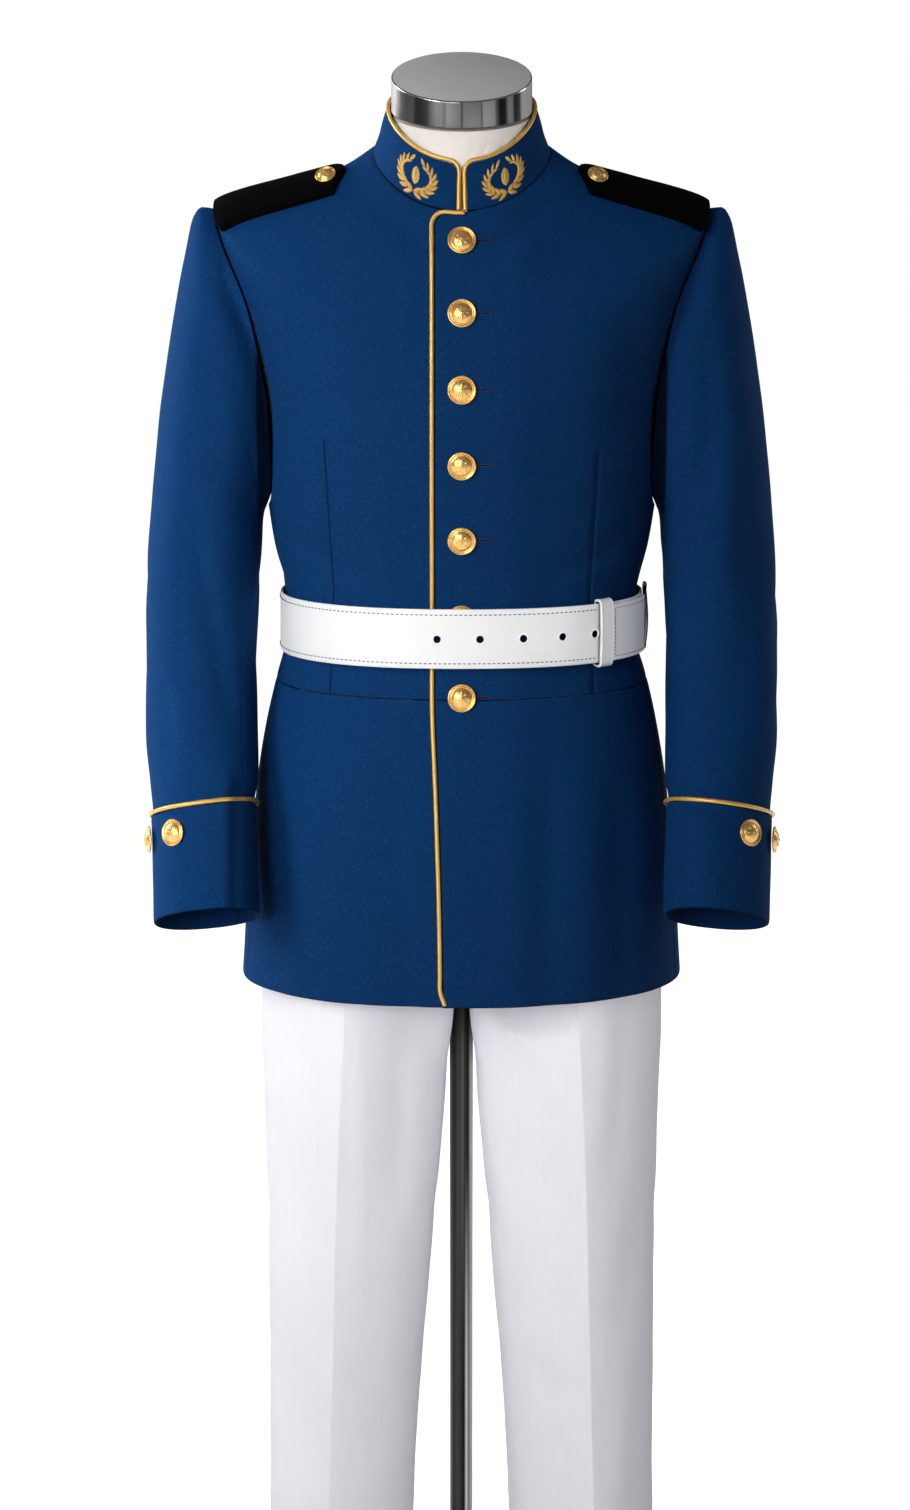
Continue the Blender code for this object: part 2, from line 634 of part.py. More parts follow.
def build_collar():
    """Stand collar in one band, open at the front, with piping along its edge."""
    columns = collar_columns()
    cells = [[(3 * share * high, a) for a, high in columns] for share in (0, 0.34, 0.67, 1)]
    cloth("collar", collar, cells, blue, COLLAR_WALL)
    away = COLLAR_PIPING_R + 0.0005
    mid = -COLLAR_WALL / 2

    def edge_point(level, degrees, sideways, up):
        point = moved_out(collar, level, degrees, mid)
        return point + Vector((sideways, 0, up))

    first = columns[0][0]
    path = [edge_point(level, first, -away, 0.0) for level in (0.12, 0.9, 1.8)]
    for a, high in columns[:5]:
        short = 1 - (collar(3 * high, a).x - COLLAR_EDGE) / COLLAR_CORNER
        turn = math.asin(min(max(short, 0.0), 1.0))
        path.append(edge_point(3 * high, a, -away * math.sin(turn), away * math.cos(turn)))
    path += [edge_point(3, a, 0, away) for a, _ in columns[5:len(columns) // 2]]
    other = [Vector((-p.x, p.y, p.z)) for p in reversed(path)]
    tube("collar_piping", path + [edge_point(3, 180, 0, away)] + other, COLLAR_PIPING_R, gold_cord)


def over_front(x, z, out):
    """Point off the front of the body at this x and, near the middle, at this height."""
    level = body_sections.level_of("z_front", z, 0, NECK + 0.3)
    return moved_out(body, level, angle_at_x(body_sections, level, x), out)


PIPING_LEVELS = (12.4, 12, 11.5, 11, 10.4, 9.8, 9.3, 8.8, 8.4, 8, 7.5, 7, 6.5, 6, 5.5, 5, 4.5, 4, 3.5, 3,
                 2.6, 2.2, 1.6, 1, 0.5, 0.03)


def build_front_piping():
    """Piping along the lapped edge, from under the collar round the corner to the hem."""
    out = gap = PIPING_R + 0.0004
    top = body_sections.at(NECK - LAP_DROP)["z_front"]
    path = [over_front(x, top + gap, out) for x in (0.0010, -0.0055, LAP_EDGE + LAP_CORNER)]
    for turn in (22.5, 45, 67.5):
        reach = LAP_CORNER + gap
        x = LAP_EDGE + LAP_CORNER - reach * math.sin(math.radians(turn))
        path.append(over_front(x, top - LAP_CORNER + reach * math.cos(math.radians(turn)), out))
    first = body_sections.level_of("z_front", top - LAP_CORNER, 11, NECK)
    for level in (first,) + PIPING_LEVELS:
        angle = angle_at_x(body_sections, level, lap_edge(level) - gap)
        path.append(moved_out(body, level, angle, out))
    tube("front_piping", path, PIPING_R, gold_cord)


# ---------------------------------------------------------------- sleeves
SLEEVE_LEVELS = (SLEEVE_END, 11, 10.5, 10, 9, 8, 7, 6, 5, 4, 3.1, 2.3, 1.6, 1, 0.4, 0)
TOP_SPAN = (BACK_SEAM - 360, FRONT_SEAM)
UNDER_SPAN = (FRONT_SEAM, BACK_SEAM)


def build_sleeves():
    """Two-piece sleeves with a deep cuff and its piping."""
    half_seam = 0.25
    top, under = spread(*TOP_SPAN, 13), spread(*UNDER_SPAN, 5)
    around = list(reversed(top[:-1] + under[:-1]))
    for span in (top, under):
        span[0] += half_seam
        span[-1] -= half_seam
    # degrees rise from the outside to the front, so each row runs backwards to face out
    top_cells = [[(level, a) for a in reversed(top)] for level in SLEEVE_LEVELS]
    under_cells = [[(level, a) for a in reversed(under)] for level in SLEEVE_LEVELS]
    cuff_cells = [[(level, a) for a in around] for level in spread(CUFF_HEM, CUFF_TOP, 3)]
    lift = CUFF_WALL + CLEAR
    reach = PIPING_R + 0.0003
    off, up = lift - CUFF_WALL / 2 + PIPING_R * 0.8, Vector((0, 0, reach))
    cord = [moved_out(sleeve, CUFF_TOP, a, off) + up for a in around]
    for side, flip in (("left", False), ("right", True)):
        cloth("top_sleeve_" + side, sleeve, top_cells, blue, flip=flip)
        cloth("under_sleeve_" + side, sleeve, under_cells, blue, flip=flip)
        cloth("cuff_" + side, sleeve, cuff_cells, blue, CUFF_WALL, lift, ring=True, flip=flip)
        path = [Vector((-p.x, p.y, p.z)) for p in cord] if flip else cord
        tube("cuff_piping_" + side, path, PIPING_R, gold_cord, closed=True)


# ---------------------------------------------------------------- shoulder boards
def board_angle(level, y):
    """Degrees round the left shoulder, y behind (+) or before (-) the shoulder seam."""
    return angle_at_y(body_sections, level, y)


def build_shoulder_boards():
    """Stiff boards along the shoulders, cut to a point beside the collar."""
    first, tip = BOARD_LEVELS
    across = spread(-BOARD_HALF, BOARD_HALF, 7)
    cells = []
    for share in spread(0, 1, 7):
        row = []
        for y in across:
            end = tip - BOARD_POINT * abs(y) / BOARD_HALF
            level = first + (end - first) * share
            row.append((level, board_angle(level, y + BOARD_MIDDLE)))
        cells.append(row)
    for side, flip in (("left", False), ("right", True)):
        cloth("shoulder_board_" + side, body, cells, black, BOARD_THICK, BOARD_LIFT, flip=flip)
        angle = board_angle(BOARD_BUTTON_LEVEL, BOARD_MIDDLE)
        seat = moved_out(body, BOARD_BUTTON_LEVEL, angle, BOARD_LIFT + 0.0003)
        out = normal_at(body, BOARD_BUTTON_LEVEL, angle)
        if flip:
            seat, out = Vector((-seat.x, seat.y, seat.z)), Vector((-out.x, out.y, out.z))
        stand_on(button("board_button_" + side, BOARD_BUTTON_R), seat, out)


# ---------------------------------------------------------------- buttons
BUTTON_PROFILE = ((0, 1), (0.45, 0.88), (0.84, 0.42), (0.98, 0.40), (1, 0.24), (0.30, 0.14), (0.30, 0),
                  (0, 0))    # shares of radius and height


def button(name, radius):
    """Domed button with a rim and a short shank."""
    high = BUTTON_RISE * radius / BUTTON_R
    profile = [(share * radius, rise * high) for share, rise in BUTTON_PROFILE]
    return turned(name, profile, gold, 12)


def build_buttons():
    """Seven front buttons through the lap and two on each cuff."""
    for number, z in enumerate(BUTTON_Z, start=1):
        level = body_sections.level_of("z_front", z, 0, NECK)
        seat = moved_out(body, level, 0.0001, LAP_RISE + 0.0003)
        stand_on(button(f"front_button_{number}", BUTTON_R), seat, normal_at(body, level, 0.0001))
    for number, (degrees, off) in enumerate(CUFF_BUTTONS, start=1):
        seat = moved_out(sleeve, CUFF_BUTTON_LEVEL, degrees, CUFF_WALL + CLEAR + off)
        out = normal_at(sleeve, CUFF_BUTTON_LEVEL, degrees)
        stand_on(button(f"cuff_button_left_{number}", CUFF_BUTTON_R), seat, out)
        flipped = Vector((-seat.x, seat.y, seat.z)), Vector((-out.x, out.y, out.z))
        stand_on(button(f"cuff_button_right_{number}", CUFF_BUTTON_R), *flipped)


# ---------------------------------------------------------------- belt
def drill(obj, point, normal, radius, depth):
    """Bore a round hole through an object."""
    bpy.ops.mesh.primitive_cylinder_add(vertices=12, radius=radius, depth=depth)
    cutter = bpy.context.object
    cutter.name = obj.name + "_cutter"
    stand_on(cutter, point, normal)
    cutter.hide_render = True
    cutter.display_type = "WIRE"
    for owner in list(cutter.users_collection):
        owner.objects.unlink(cutter)
    cutters.objects.link(cutter)
    cut = obj.modifiers.new("hole", "BOOLEAN")
    cut.operation = "DIFFERENCE"
    cut.solver = "EXACT"
    cut.object = cutter


def build_belt():
    """Strap with its eyelets, the doubled end, keeper and buckle."""
    start, end = BUCKLE + 3.0, BUCKLE + 357.0
    degrees = spread(start, end, 53)
    strap = cloth("belt_strap", belt, [[(v, a) for a in degrees] for v in (0, 1)], white_leather, BELT_WALL)
    for number, x in enumerate(EYELET_X, start=1):
        a = angle_at_x(belt_sections, 0.5, x)
        out = normal_at(belt, 0.5, a)
        centre = belt(0.5, a) - out * BELT_WALL / 2
        drill(strap, centre, out, EYELET_R + 0.0005, 0.02)
        high = BELT_WALL / 2 + 0.0003
        rim, hole = EYELET_R, EYELET_HOLE_R
        ring = ((rim, high), (rim, -high), (hole, -high), (hole, high), (rim, high))
        stand_on(turned(f"eyelet_{number}", ring, white_enamel, 10), centre, out)

    inset = 0.0010 / BELT_HEIGHT
    fold = [[(v, a) for a in spread(*FOLD, 6)] for v in (inset, 1 - inset)]
    cloth("belt_fold", belt, fold, white_leather, BELT_WALL, BELT_WALL + 0.0008)

    reach = BELT_HEIGHT / 2 + 0.0015
    near, far = BELT_WALL + 0.0014, 0.0014
    outline = [(-near, reach), (far, reach), (far + 0.0012, reach * 0.7), (far + 0.0016, 0),
               (far + 0.0012, -reach * 0.7), (far, -reach), (-near, -reach)]
    rows = []
    for a in spread(*KEEPER, 4):
        out = normal_at(belt, 0.5, a)
        rows.append([belt(0.5, a) + out * across + Vector((0, 0, up)) for across, up in outline])
    loft("belt_keeper", rows, white_leather, KEEPER_WALL, outward=True, ring=True)
    build_buckle()


def build_buckle():
    """Buckle frame over the meeting ends of the strap."""
    out = normal_at(belt, 0.5, BUCKLE)
    centre = belt(0.5, BUCKLE) + out * 0.0045
    along = Vector((0, 0, 1)).cross(out).normalized()
    half_high, half_long, corner = BELT_HEIGHT / 2 + 0.004, 0.020, 0.010
    path = []
    for quarter, (sx, sz) in enumerate(((1, 1), (-1, 1), (-1, -1), (1, -1))):
        for step in range(5):
            a = math.radians(90 * quarter + 22.5 * step)
            path.append(centre + along * (sx * (half_long - corner) + corner * math.cos(a))
                        + Vector((0, 0, sz * (half_high - corner) + corner * math.sin(a))))
    tube("belt_buckle", path, 0.0021, dark_metal, closed=True)


# ---------------------------------------------------------------- trousers
TROUSER_LEVELS = (12, 11, 10, 9, 8, 7, 6, 5.5, 5, 4.5, 4, 3, 2, 0)


def build_trousers():
    """Two fronts and two backs, seamed at the sides, inseams and rise, and a waistband."""
    edge = SEAM / 2 / 0.12
    shares = spread(-1 + edge, 0, 4) + spread(0, 1 - edge, 4)[1:]
    front = [[(level, share) for share in shares] for level in TROUSER_LEVELS]
    back = [[(level, share) for share in reversed(shares)] for level in TROUSER_LEVELS]
    for side, flip in (("left", False), ("right", True)):
        cloth("trouser_front_" + side, trouser_front, front, white_twill, flip=flip)
        cloth("trouser_back_" + side, trouser_back, back, white_twill, flip=flip)
    s = trouser_sections.at(0)
    band_sections = Sections(SECTION, [(v, s["x_out"], 0.0, s["front"], s["back"], 2.2, z, z, z, 2.0)
                                       for v, z in enumerate(WAISTBAND)])
    rows = [[section_point(band_sections, v, a) for a in spread(0, 360, 25)[:-1]] for v in (0, 1)]
    loft("trouser_waistband", rows, white_twill, CLOTH, ring=True)


# ---------------------------------------------------------------- dress form
def disc(radius, high, edge):
    """Profile of a disc with its upper edge cut off at a slant."""
    return (0, high), (radius - edge, high), (radius, high - edge), (radius, 0), (0, 0)


def build_form():
    """Smooth torso with its neck, chrome cap, pole and round base."""
    around = spread(0, 360, 25)[:-1]
    levels = (0, 0.6, 1, 1.5, 2, 3, 4, 5, 6, 7, 8)
    rows = [[section_point(form_sections, v, a) for a in around] for v in levels]
    for level, inset in FORM_INSET:
        rows.append([moved_out(body, level, a, -CLOTH - inset) for a in around])
    rows += [[section_point(neck_sections, level, a) for a in around] for level in spread(0, 3, 5)]
    loft("form_torso", rows, linen, ring=True, capped=True)

    top, foot = [], []
    for a in spread(0, 360, 33)[:-1]:
        c, n = math.cos(math.radians(a)), math.sin(math.radians(a))
        flat = Vector((CAP_R * n, -CAP_R * c, 0))
        for ring, tilt, drop in ((top, CAP_TILT, 0.0), (foot, CAP_FOOT_TILT, CAP_HIGH)):
            turn = Matrix.Rotation(math.radians(tilt), 3, "X")
            ring.append(Vector(CAP_CENTRE) + turn @ flat - Vector((0, 0, drop)))
    cap = loft("neck_cap", [foot, top], chrome, ring=True, capped=True)
    rim = cap.modifiers.new("rim", "BEVEL")
    rim.width = 0.0012
    rim.segments = 1
    rim.limit_method = "ANGLE"

    foot, head = BASE_THICK + FOOT_HIGH, FORM_FOOT - 0.0003
    bpy.ops.mesh.primitive_cylinder_add(vertices=24, radius=POLE_R, depth=head - foot)
    pole = bpy.context.object
    pole.name = "pole"
    pole.location = (0, 0, (foot + head) / 2)
    pole.data.shade_smooth()
    pole.data.set_sharp_from_angle(angle=math.radians(35))
    place(pole, chrome)

    low = turned("pole_foot", disc(FOOT_R, FOOT_HIGH - 0.0003, FOOT_EDGE), chrome, 24)
    low.location = (0, 0, BASE_THICK)
    turned("base_plate", disc(BASE_R, BASE_THICK, BASE_EDGE), steel, 44)


# ---------------------------------------------------------------- assembly
for old in list(bpy.data.objects):
    bpy.data.objects.remove(old)
uniform = bpy.data.collections.new("firefighter_dress_uniform")
cutters = bpy.data.collections.new("cutters")
bpy.context.scene.collection.children.link(uniform)
bpy.context.scene.collection.children.link(cutters)

blue = material("navy_wool", (0.010, 0.045, 0.130), 0.85)
gold_cord = material("gold_cord", (0.72, 0.42, 0.08), 0.5)
gold = material("gold_button", (0.80, 0.52, 0.20), 0.25, 1.0)
black = material("black_velvet", (0.006, 0.006, 0.007), 0.8)
white_leather = material("white_leather", (0.86, 0.86, 0.87), 0.3)
white_twill = material("white_twill", (0.80, 0.80, 0.82), 0.8)
linen = material("form_linen", (0.72, 0.68, 0.63), 0.9)
chrome = material("chrome", (0.60, 0.60, 0.61), 0.1, 1.0)
white_enamel = material("white_enamel", (0.85, 0.85, 0.85), 0.3)
steel = material("brushed_steel", (0.45, 0.45, 0.46), 0.35, 1.0)
dark_metal = material("dark_metal", (0.10, 0.10, 0.11), 0.35, 1.0)

build_form()
build_trousers()
build_tunic_body()
build_collar()
build_front_piping()
build_sleeves()
build_shoulder_boards()
build_buttons()
build_belt()
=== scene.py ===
"""Look, light and camera of a firefighter's dress uniform on a limbless dress form.

Each cut piece is a thin wall of cloth over the surface that its solid was made on, at a
finer pitch, with its listed folds put in.  Hard pieces are turned and formed on a bench.
Metres, +Z up, the front faces -Y, +X is the wearer's left.
"""
from __future__ import annotations

import json
import logging
import math
from dataclasses import dataclass
from enum import Enum
from typing import Callable, Sequence

import bmesh
import bpy
import numpy as np
from mathutils import Matrix, Vector

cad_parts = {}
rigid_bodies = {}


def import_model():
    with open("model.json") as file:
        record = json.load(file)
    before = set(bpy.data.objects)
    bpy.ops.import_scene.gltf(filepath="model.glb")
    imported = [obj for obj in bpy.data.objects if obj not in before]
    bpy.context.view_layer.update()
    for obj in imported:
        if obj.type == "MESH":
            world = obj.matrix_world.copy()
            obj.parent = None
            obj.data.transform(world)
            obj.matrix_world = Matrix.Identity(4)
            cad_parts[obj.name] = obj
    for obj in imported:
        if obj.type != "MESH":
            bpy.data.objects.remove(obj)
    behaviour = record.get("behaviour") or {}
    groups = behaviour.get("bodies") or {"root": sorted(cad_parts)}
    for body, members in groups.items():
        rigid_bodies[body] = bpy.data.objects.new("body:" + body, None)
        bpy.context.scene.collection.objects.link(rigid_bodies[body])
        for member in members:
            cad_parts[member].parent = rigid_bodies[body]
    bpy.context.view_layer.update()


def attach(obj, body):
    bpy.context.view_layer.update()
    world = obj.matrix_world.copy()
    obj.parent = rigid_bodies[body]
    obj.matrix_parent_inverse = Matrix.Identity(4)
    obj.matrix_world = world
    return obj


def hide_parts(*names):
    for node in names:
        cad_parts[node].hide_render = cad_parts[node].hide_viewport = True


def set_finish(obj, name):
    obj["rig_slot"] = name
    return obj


log = logging.getLogger("uniform")
Array = np.ndarray
Pair = tuple[float, float]
Colour = tuple[float, float, float]

# ---------------------------------------------------------------- the cut's sizes
CLOTH = 0.0015
SEAM = 0.00045
CLEAR = 0.0004
PIPING = 0.0020
CUFF_WALL = 0.0020
BACK_SEAM = 235.0                  # degrees round a sleeve

SECTION = ("level", "half", "mid", "front", "back", "square", "z_front", "z_side", "z_back", "ridge")
BODY_ROWS = [                  # tunic, hem to collar seam
    (0.0, 0.2055, 0.000, 0.1400, 0.1460, 2.2, 0.7950),
    (1.0, 0.1965, 0.000, 0.1350, 0.1440, 2.2, 0.9200),
    (2.0, 0.1835, 0.000, 0.1270, 0.1320, 2.2, 1.0200),
    (3.0, 0.1712, 0.000, 0.1210, 0.1180, 2.2, 1.0750),
    (4.0, 0.1632, 0.000, 0.1175, 0.1090, 2.2, 1.1050),
    (5.0, 0.1595, 0.000, 0.1158, 0.1055, 2.2, 1.1350),
    (6.0, 0.1635, 0.000, 0.1165, 0.1075, 2.2, 1.1670),
    (7.0, 0.1718, 0.000, 0.1205, 0.1140, 2.2, 1.2030),
    (8.0, 0.1770, 0.000, 0.1250, 0.1210, 2.2, 1.2360),
    (9.0, 0.1870, 0.000, 0.1315, 0.1290, 2.2, 1.3100, 1.3330, 1.3280, 1.8),
    (10.0, 0.2075, 0.000, 0.1275, 0.1270, 2.2, 1.3760, 1.4340, 1.4060, 1.5),
    (11.0, 0.2235, 0.000, 0.1170, 0.1140, 2.2, 1.4220, 1.5050, 1.4560, 1.35),
    (11.06, 0.2215, 0.000, 0.1158, 0.1132, 2.2, 1.4255, 1.5078, 1.4600, 1.35),
    (12.0, 0.1500, -0.003, 0.1010, 0.0960, 2.2, 1.4680, 1.5305, 1.4980, 1.35),
    (12.5, 0.1120, -0.0045, 0.0900, 0.0840, 2.2, 1.4885, 1.5400, 1.5240, 1.5),
    (13.0, 0.0797, -0.006, 0.0800, 0.0685, 2.1, 1.5080, 1.5550, 1.5640, 2.0),
]
COLLAR_ROWS = [                # stand collar, seam to top edge
    (0.0, 0.0797, -0.0060, 0.0800, 0.0685, 2.1, 1.5085, 1.5555, 1.5645, 2.0),
    (1.0, 0.0746, -0.0075, 0.0765, 0.0655, 2.1, 1.5225, 1.5685, 1.5790, 2.0),
    (2.0, 0.0713, -0.0100, 0.0715, 0.0640, 2.1, 1.5365, 1.5810, 1.5930, 2.0),
    (3.0, 0.0672, -0.0130, 0.0660, 0.0640, 2.1, 1.5500, 1.5935, 1.6070, 2.0),
]
BELT_ROWS = [                  # outer face of the strap, lower edge to upper edge
    (0.0, 0.1672, -0.0010, 0.1280, 0.1150, 2.2, 1.1050, 1.1030, 1.1030, 2.0),
    (1.0, 0.1667, -0.0010, 0.1280, 0.1150, 2.2, 1.1590, 1.1570, 1.1570, 2.0),
]
FORM_ROWS = [                  # dress form below the shoulders
    (0.0, 0.0300, 0.000, 0.0300, 0.0300, 2.0, 0.8700),
    (1.0, 0.0950, 0.000, 0.0570, 0.0620, 2.1, 0.8760),
    (2.0, 0.1370, 0.000, 0.0760, 0.0860, 2.2, 0.9000),
    (3.0, 0.1550, 0.000, 0.0900, 0.0940, 2.2, 0.9450),
    (4.0, 0.1520, 0.000, 0.0950, 0.0930, 2.2, 0.9950),
    (5.0, 0.1474, 0.000, 0.0999, 0.0949, 2.2, 1.0430),
    (6.0, 0.1474, 0.000, 0.0999, 0.0949, 2.2, 1.0770),
    (7.0, 0.1490, 0.000, 0.1030, 0.0970, 2.2, 1.1350),
    (8.0, 0.1600, 0.000, 0.1090, 0.1040, 2.2, 1.2050),
]
FORM_INSET = [(8.4, 0.010), (9.2, 0.009), (10.0, 0.007), (10.6, 0.005), (11.06, 0.0035),
              (11.5, 0.0040), (12.1, 0.0042), (12.6, 0.0060)]   # body level, depth under it
NECK_ROWS = [
    (0.0, 0.0710, -0.0075, 0.0705, 0.0600, 2.0, 1.5080, 1.5490, 1.5560, 2.0),
    (1.0, 0.0650, -0.0100, 0.0660, 0.0590, 2.0, 1.5300, 1.5660, 1.5760, 2.0),
    (2.0, 0.0620, -0.0130, 0.0620, 0.0595, 2.0, 1.5530, 1.5820, 1.5940, 2.0),
    (3.0, 0.0615, -0.0170, 0.0600, 0.0590, 2.0, 1.5770, 1.5890, 1.6010, 2.0),
]
ARM = ("level", "x_in", "z_in", "x_out", "z_out", "mid", "depth", "tilt", "square")
SLEEVE_ROWS = [                # head to cuff hem
    (0.0, 0.1770, 1.2380, 0.2235, 1.5060, 0.0020, 0.0640, 0.0, 2.0),
    (1.0, 0.1785, 1.2345, 0.2345, 1.5065, 0.0020, 0.0690, 0.0, 2.0),
    (2.0, 0.1800, 1.2310, 0.2425, 1.4975, 0.0020, 0.0730, 0.0, 2.0),
    (3.0, 0.1815, 1.2250, 0.2510, 1.4610, 0.0020, 0.0770, 0.0, 2.1),
    (4.0, 0.1825, 1.2170, 0.2630, 1.4020, 0.0020, 0.0790, 0.0, 2.1),
    (5.0, 0.1832, 1.2040, 0.2750, 1.3220, 0.0010, 0.0790, 0.0, 2.2),
    (6.0, 0.1845, 1.1820, 0.2835, 1.2450, -0.0010, 0.0760, 2.0, 2.2),
    (7.0, 0.1868, 1.1450, 0.2893, 1.1600, -0.0060, 0.0715, 5.0, 2.2),
    (8.0, 0.1880, 1.0900, 0.2905, 1.0900, -0.0200, 0.0685, 10.0, 2.2),
    (9.0, 0.1872, 1.0350, 0.2892, 1.0300, -0.0420, 0.0660, 14.0, 2.2),
    (10.0, 0.1856, 0.9950, 0.2842, 0.9880, -0.0660, 0.0635, 16.0, 2.2),
    (11.0, 0.1888, 0.9710, 0.2808, 0.9580, -0.0790, 0.0615, 17.0, 2.2),
    (12.0, 0.1858, 0.8755, 0.2772, 0.8660, -0.1120, 0.0605, 22.0, 2.2),
]
LEG = ("level", "z", "x_out", "x_crease", "x_in", "mid", "front", "back", "in_front", "in_back", "press")
TROUSER_ROWS = [               # waist to hem; the inner edges meet at the rise, then at the inseam
    (0.0, 1.0430, 0.1495, 0.0850, 0.0003, 0.000, 0.1020, 0.0970, -0.1010, 0.0960, 0.10),
    (1.0, 0.9900, 0.1640, 0.0950, 0.0003, 0.000, 0.1050, 0.1030, -0.1030, 0.1010, 0.20),
    (2.0, 0.9300, 0.1740, 0.1020, 0.0003, 0.000, 0.1050, 0.1080, -0.0980, 0.1050, 0.30),
    (3.0, 0.8750, 0.1810, 0.1060, 0.0003, 0.002, 0.1040, 0.1080, -0.0800, 0.0930, 0.40),
    (4.0, 0.8350, 0.1850, 0.1070, 0.0003, 0.004, 0.1020, 0.1060, -0.0440, 0.0560, 0.45),
    (5.0, 0.8100, 0.1880, 0.1075, 0.0126, 0.004, 0.1010, 0.1050, -0.0150, 0.0180, 0.50),
    (6.0, 0.7700, 0.1885, 0.1080, 0.0134, 0.004, 0.0990, 0.1030, 0.0020, 0.0020, 0.55),
    (7.0, 0.7000, 0.1872, 0.1115, 0.0138, 0.003, 0.0960, 0.0990, 0.0020, 0.0020, 0.60),
    (8.0, 0.6000, 0.1850, 0.1160, 0.0212, 0.002, 0.0900, 0.0930, 0.0010, 0.0010, 0.65),
    (9.0, 0.5000, 0.1837, 0.1190, 0.0298, 0.000, 0.0850, 0.0870, 0.0000, 0.0000, 0.65),
    (10.0, 0.3500, 0.1840, 0.1235, 0.0415, 0.000, 0.0810, 0.0830, 0.0000, 0.0000, 0.65),
    (11.0, 0.1500, 0.1862, 0.1290, 0.0500, 0.000, 0.0790, 0.0820, 0.0000, 0.0000, 0.65),
    (12.0, 0.0400, 0.1872, 0.1310, 0.0515, 0.000, 0.0800, 0.0830, 0.0000, 0.0000, 0.65),
]
UNDERARM, SHOULDER_TIP, NECK_SEAM, WAIST_SEAM = 8, 11, 13, 3


# ---------------------------------------------------------------- curves
def smooth(t: Array | float) -> Array:
    """Ease from 0 to 1."""
    t = np.clip(t, 0.0, 1.0)
    return t * t * (3 - 2 * t)


def power(value: Array, exponent: Array) -> Array:
    """Signed power, for the squared-off ovals."""
    return np.copysign(np.abs(value) ** exponent, value)


def lengths(points: Array) -> Array:
    """Length along a row of points, from 0 at the first."""
    return np.concatenate([[0.0], np.cumsum(np.linalg.norm(np.diff(points, axis=0), axis=-1))])


EDGE = (0.0003, 0.0008, 0.0016, 0.0030, 0.0055)


def spaced(length: float, pitch: float, first: bool = True, last: bool = True,
           edge: Sequence[float] = EDGE) -> Array:
    """Places along a length, closer together at its ends.

    Args:
        length: the length.
        pitch: the way between two places away from the ends.
        first: whether the places draw together at the start.
        last: whether they draw together at the end.
        edge: the ways from an end to the places that lie close to it.

    Returns:
        The places, as shares of the length.
    """
    low = edge[-1] if first else 0.0
    high = length - edge[-1] if last else length
    count = max(int(round((high - low) / pitch)), 1)
    places = list(np.linspace(low, high, count + 1))
    if first:
        places = [0.0, *edge[:-1], *places]
    if last:
        places = [*places, *(length - way for way in reversed(edge[:-1])), length]
    return np.array(places) / length


def through(knots: Array, values: Array, slopes: Array, want: Array) -> Array:
    """Read a smooth cubic through rows of values.

    Args:
        knots: where each row lies, rising.
        values: the rows.
        slopes: the slope of each.
        want: the places to read at, in any shape.

    Returns:
        A row of values for each place.
    """
    i = np.clip(np.searchsorted(knots, want, side="right") - 1, 0, len(knots) - 2)
    shape = np.shape(want) + (1,) * (values.ndim - 1)
    gap = (knots[i + 1] - knots[i]).reshape(shape)
    t = (want - knots[i]).reshape(shape) / gap
    run = (1 + 2 * t) * (1 - t) ** 2 * values[i] + t * (1 - t) ** 2 * gap * slopes[i]
    return run + t * t * (3 - 2 * t) * values[i + 1] + t * t * (t - 1) * gap * slopes[i + 1]


def unit(ways: Array) -> Array:
    """The same ways, each of length 1."""
    return ways / np.linalg.norm(ways, axis=-1, keepdims=True)


def fall(share: Array | float) -> Array | float:
    """How far a quarter round has dropped, by the share of the way out to its edge."""
    return 1 - np.sqrt(1 - share ** 2)


def curved(points: Array, pitch: float) -> Array:
    """A smooth run through points at an even pitch.

    Args:
        points: the points, one row each.
        pitch: the way between two points of the result.

    Returns:
        The points of the run, ends included.
    """
    at = lengths(points)
    keep = np.concatenate([[True], np.diff(at) > 1e-7])
    points, at = points[keep], at[keep]
    slopes = np.gradient(points, at, axis=0)
    want = np.linspace(0, at[-1], max(int(round(at[-1] / pitch)), 2) + 1)
    return through(at, points, slopes, want)


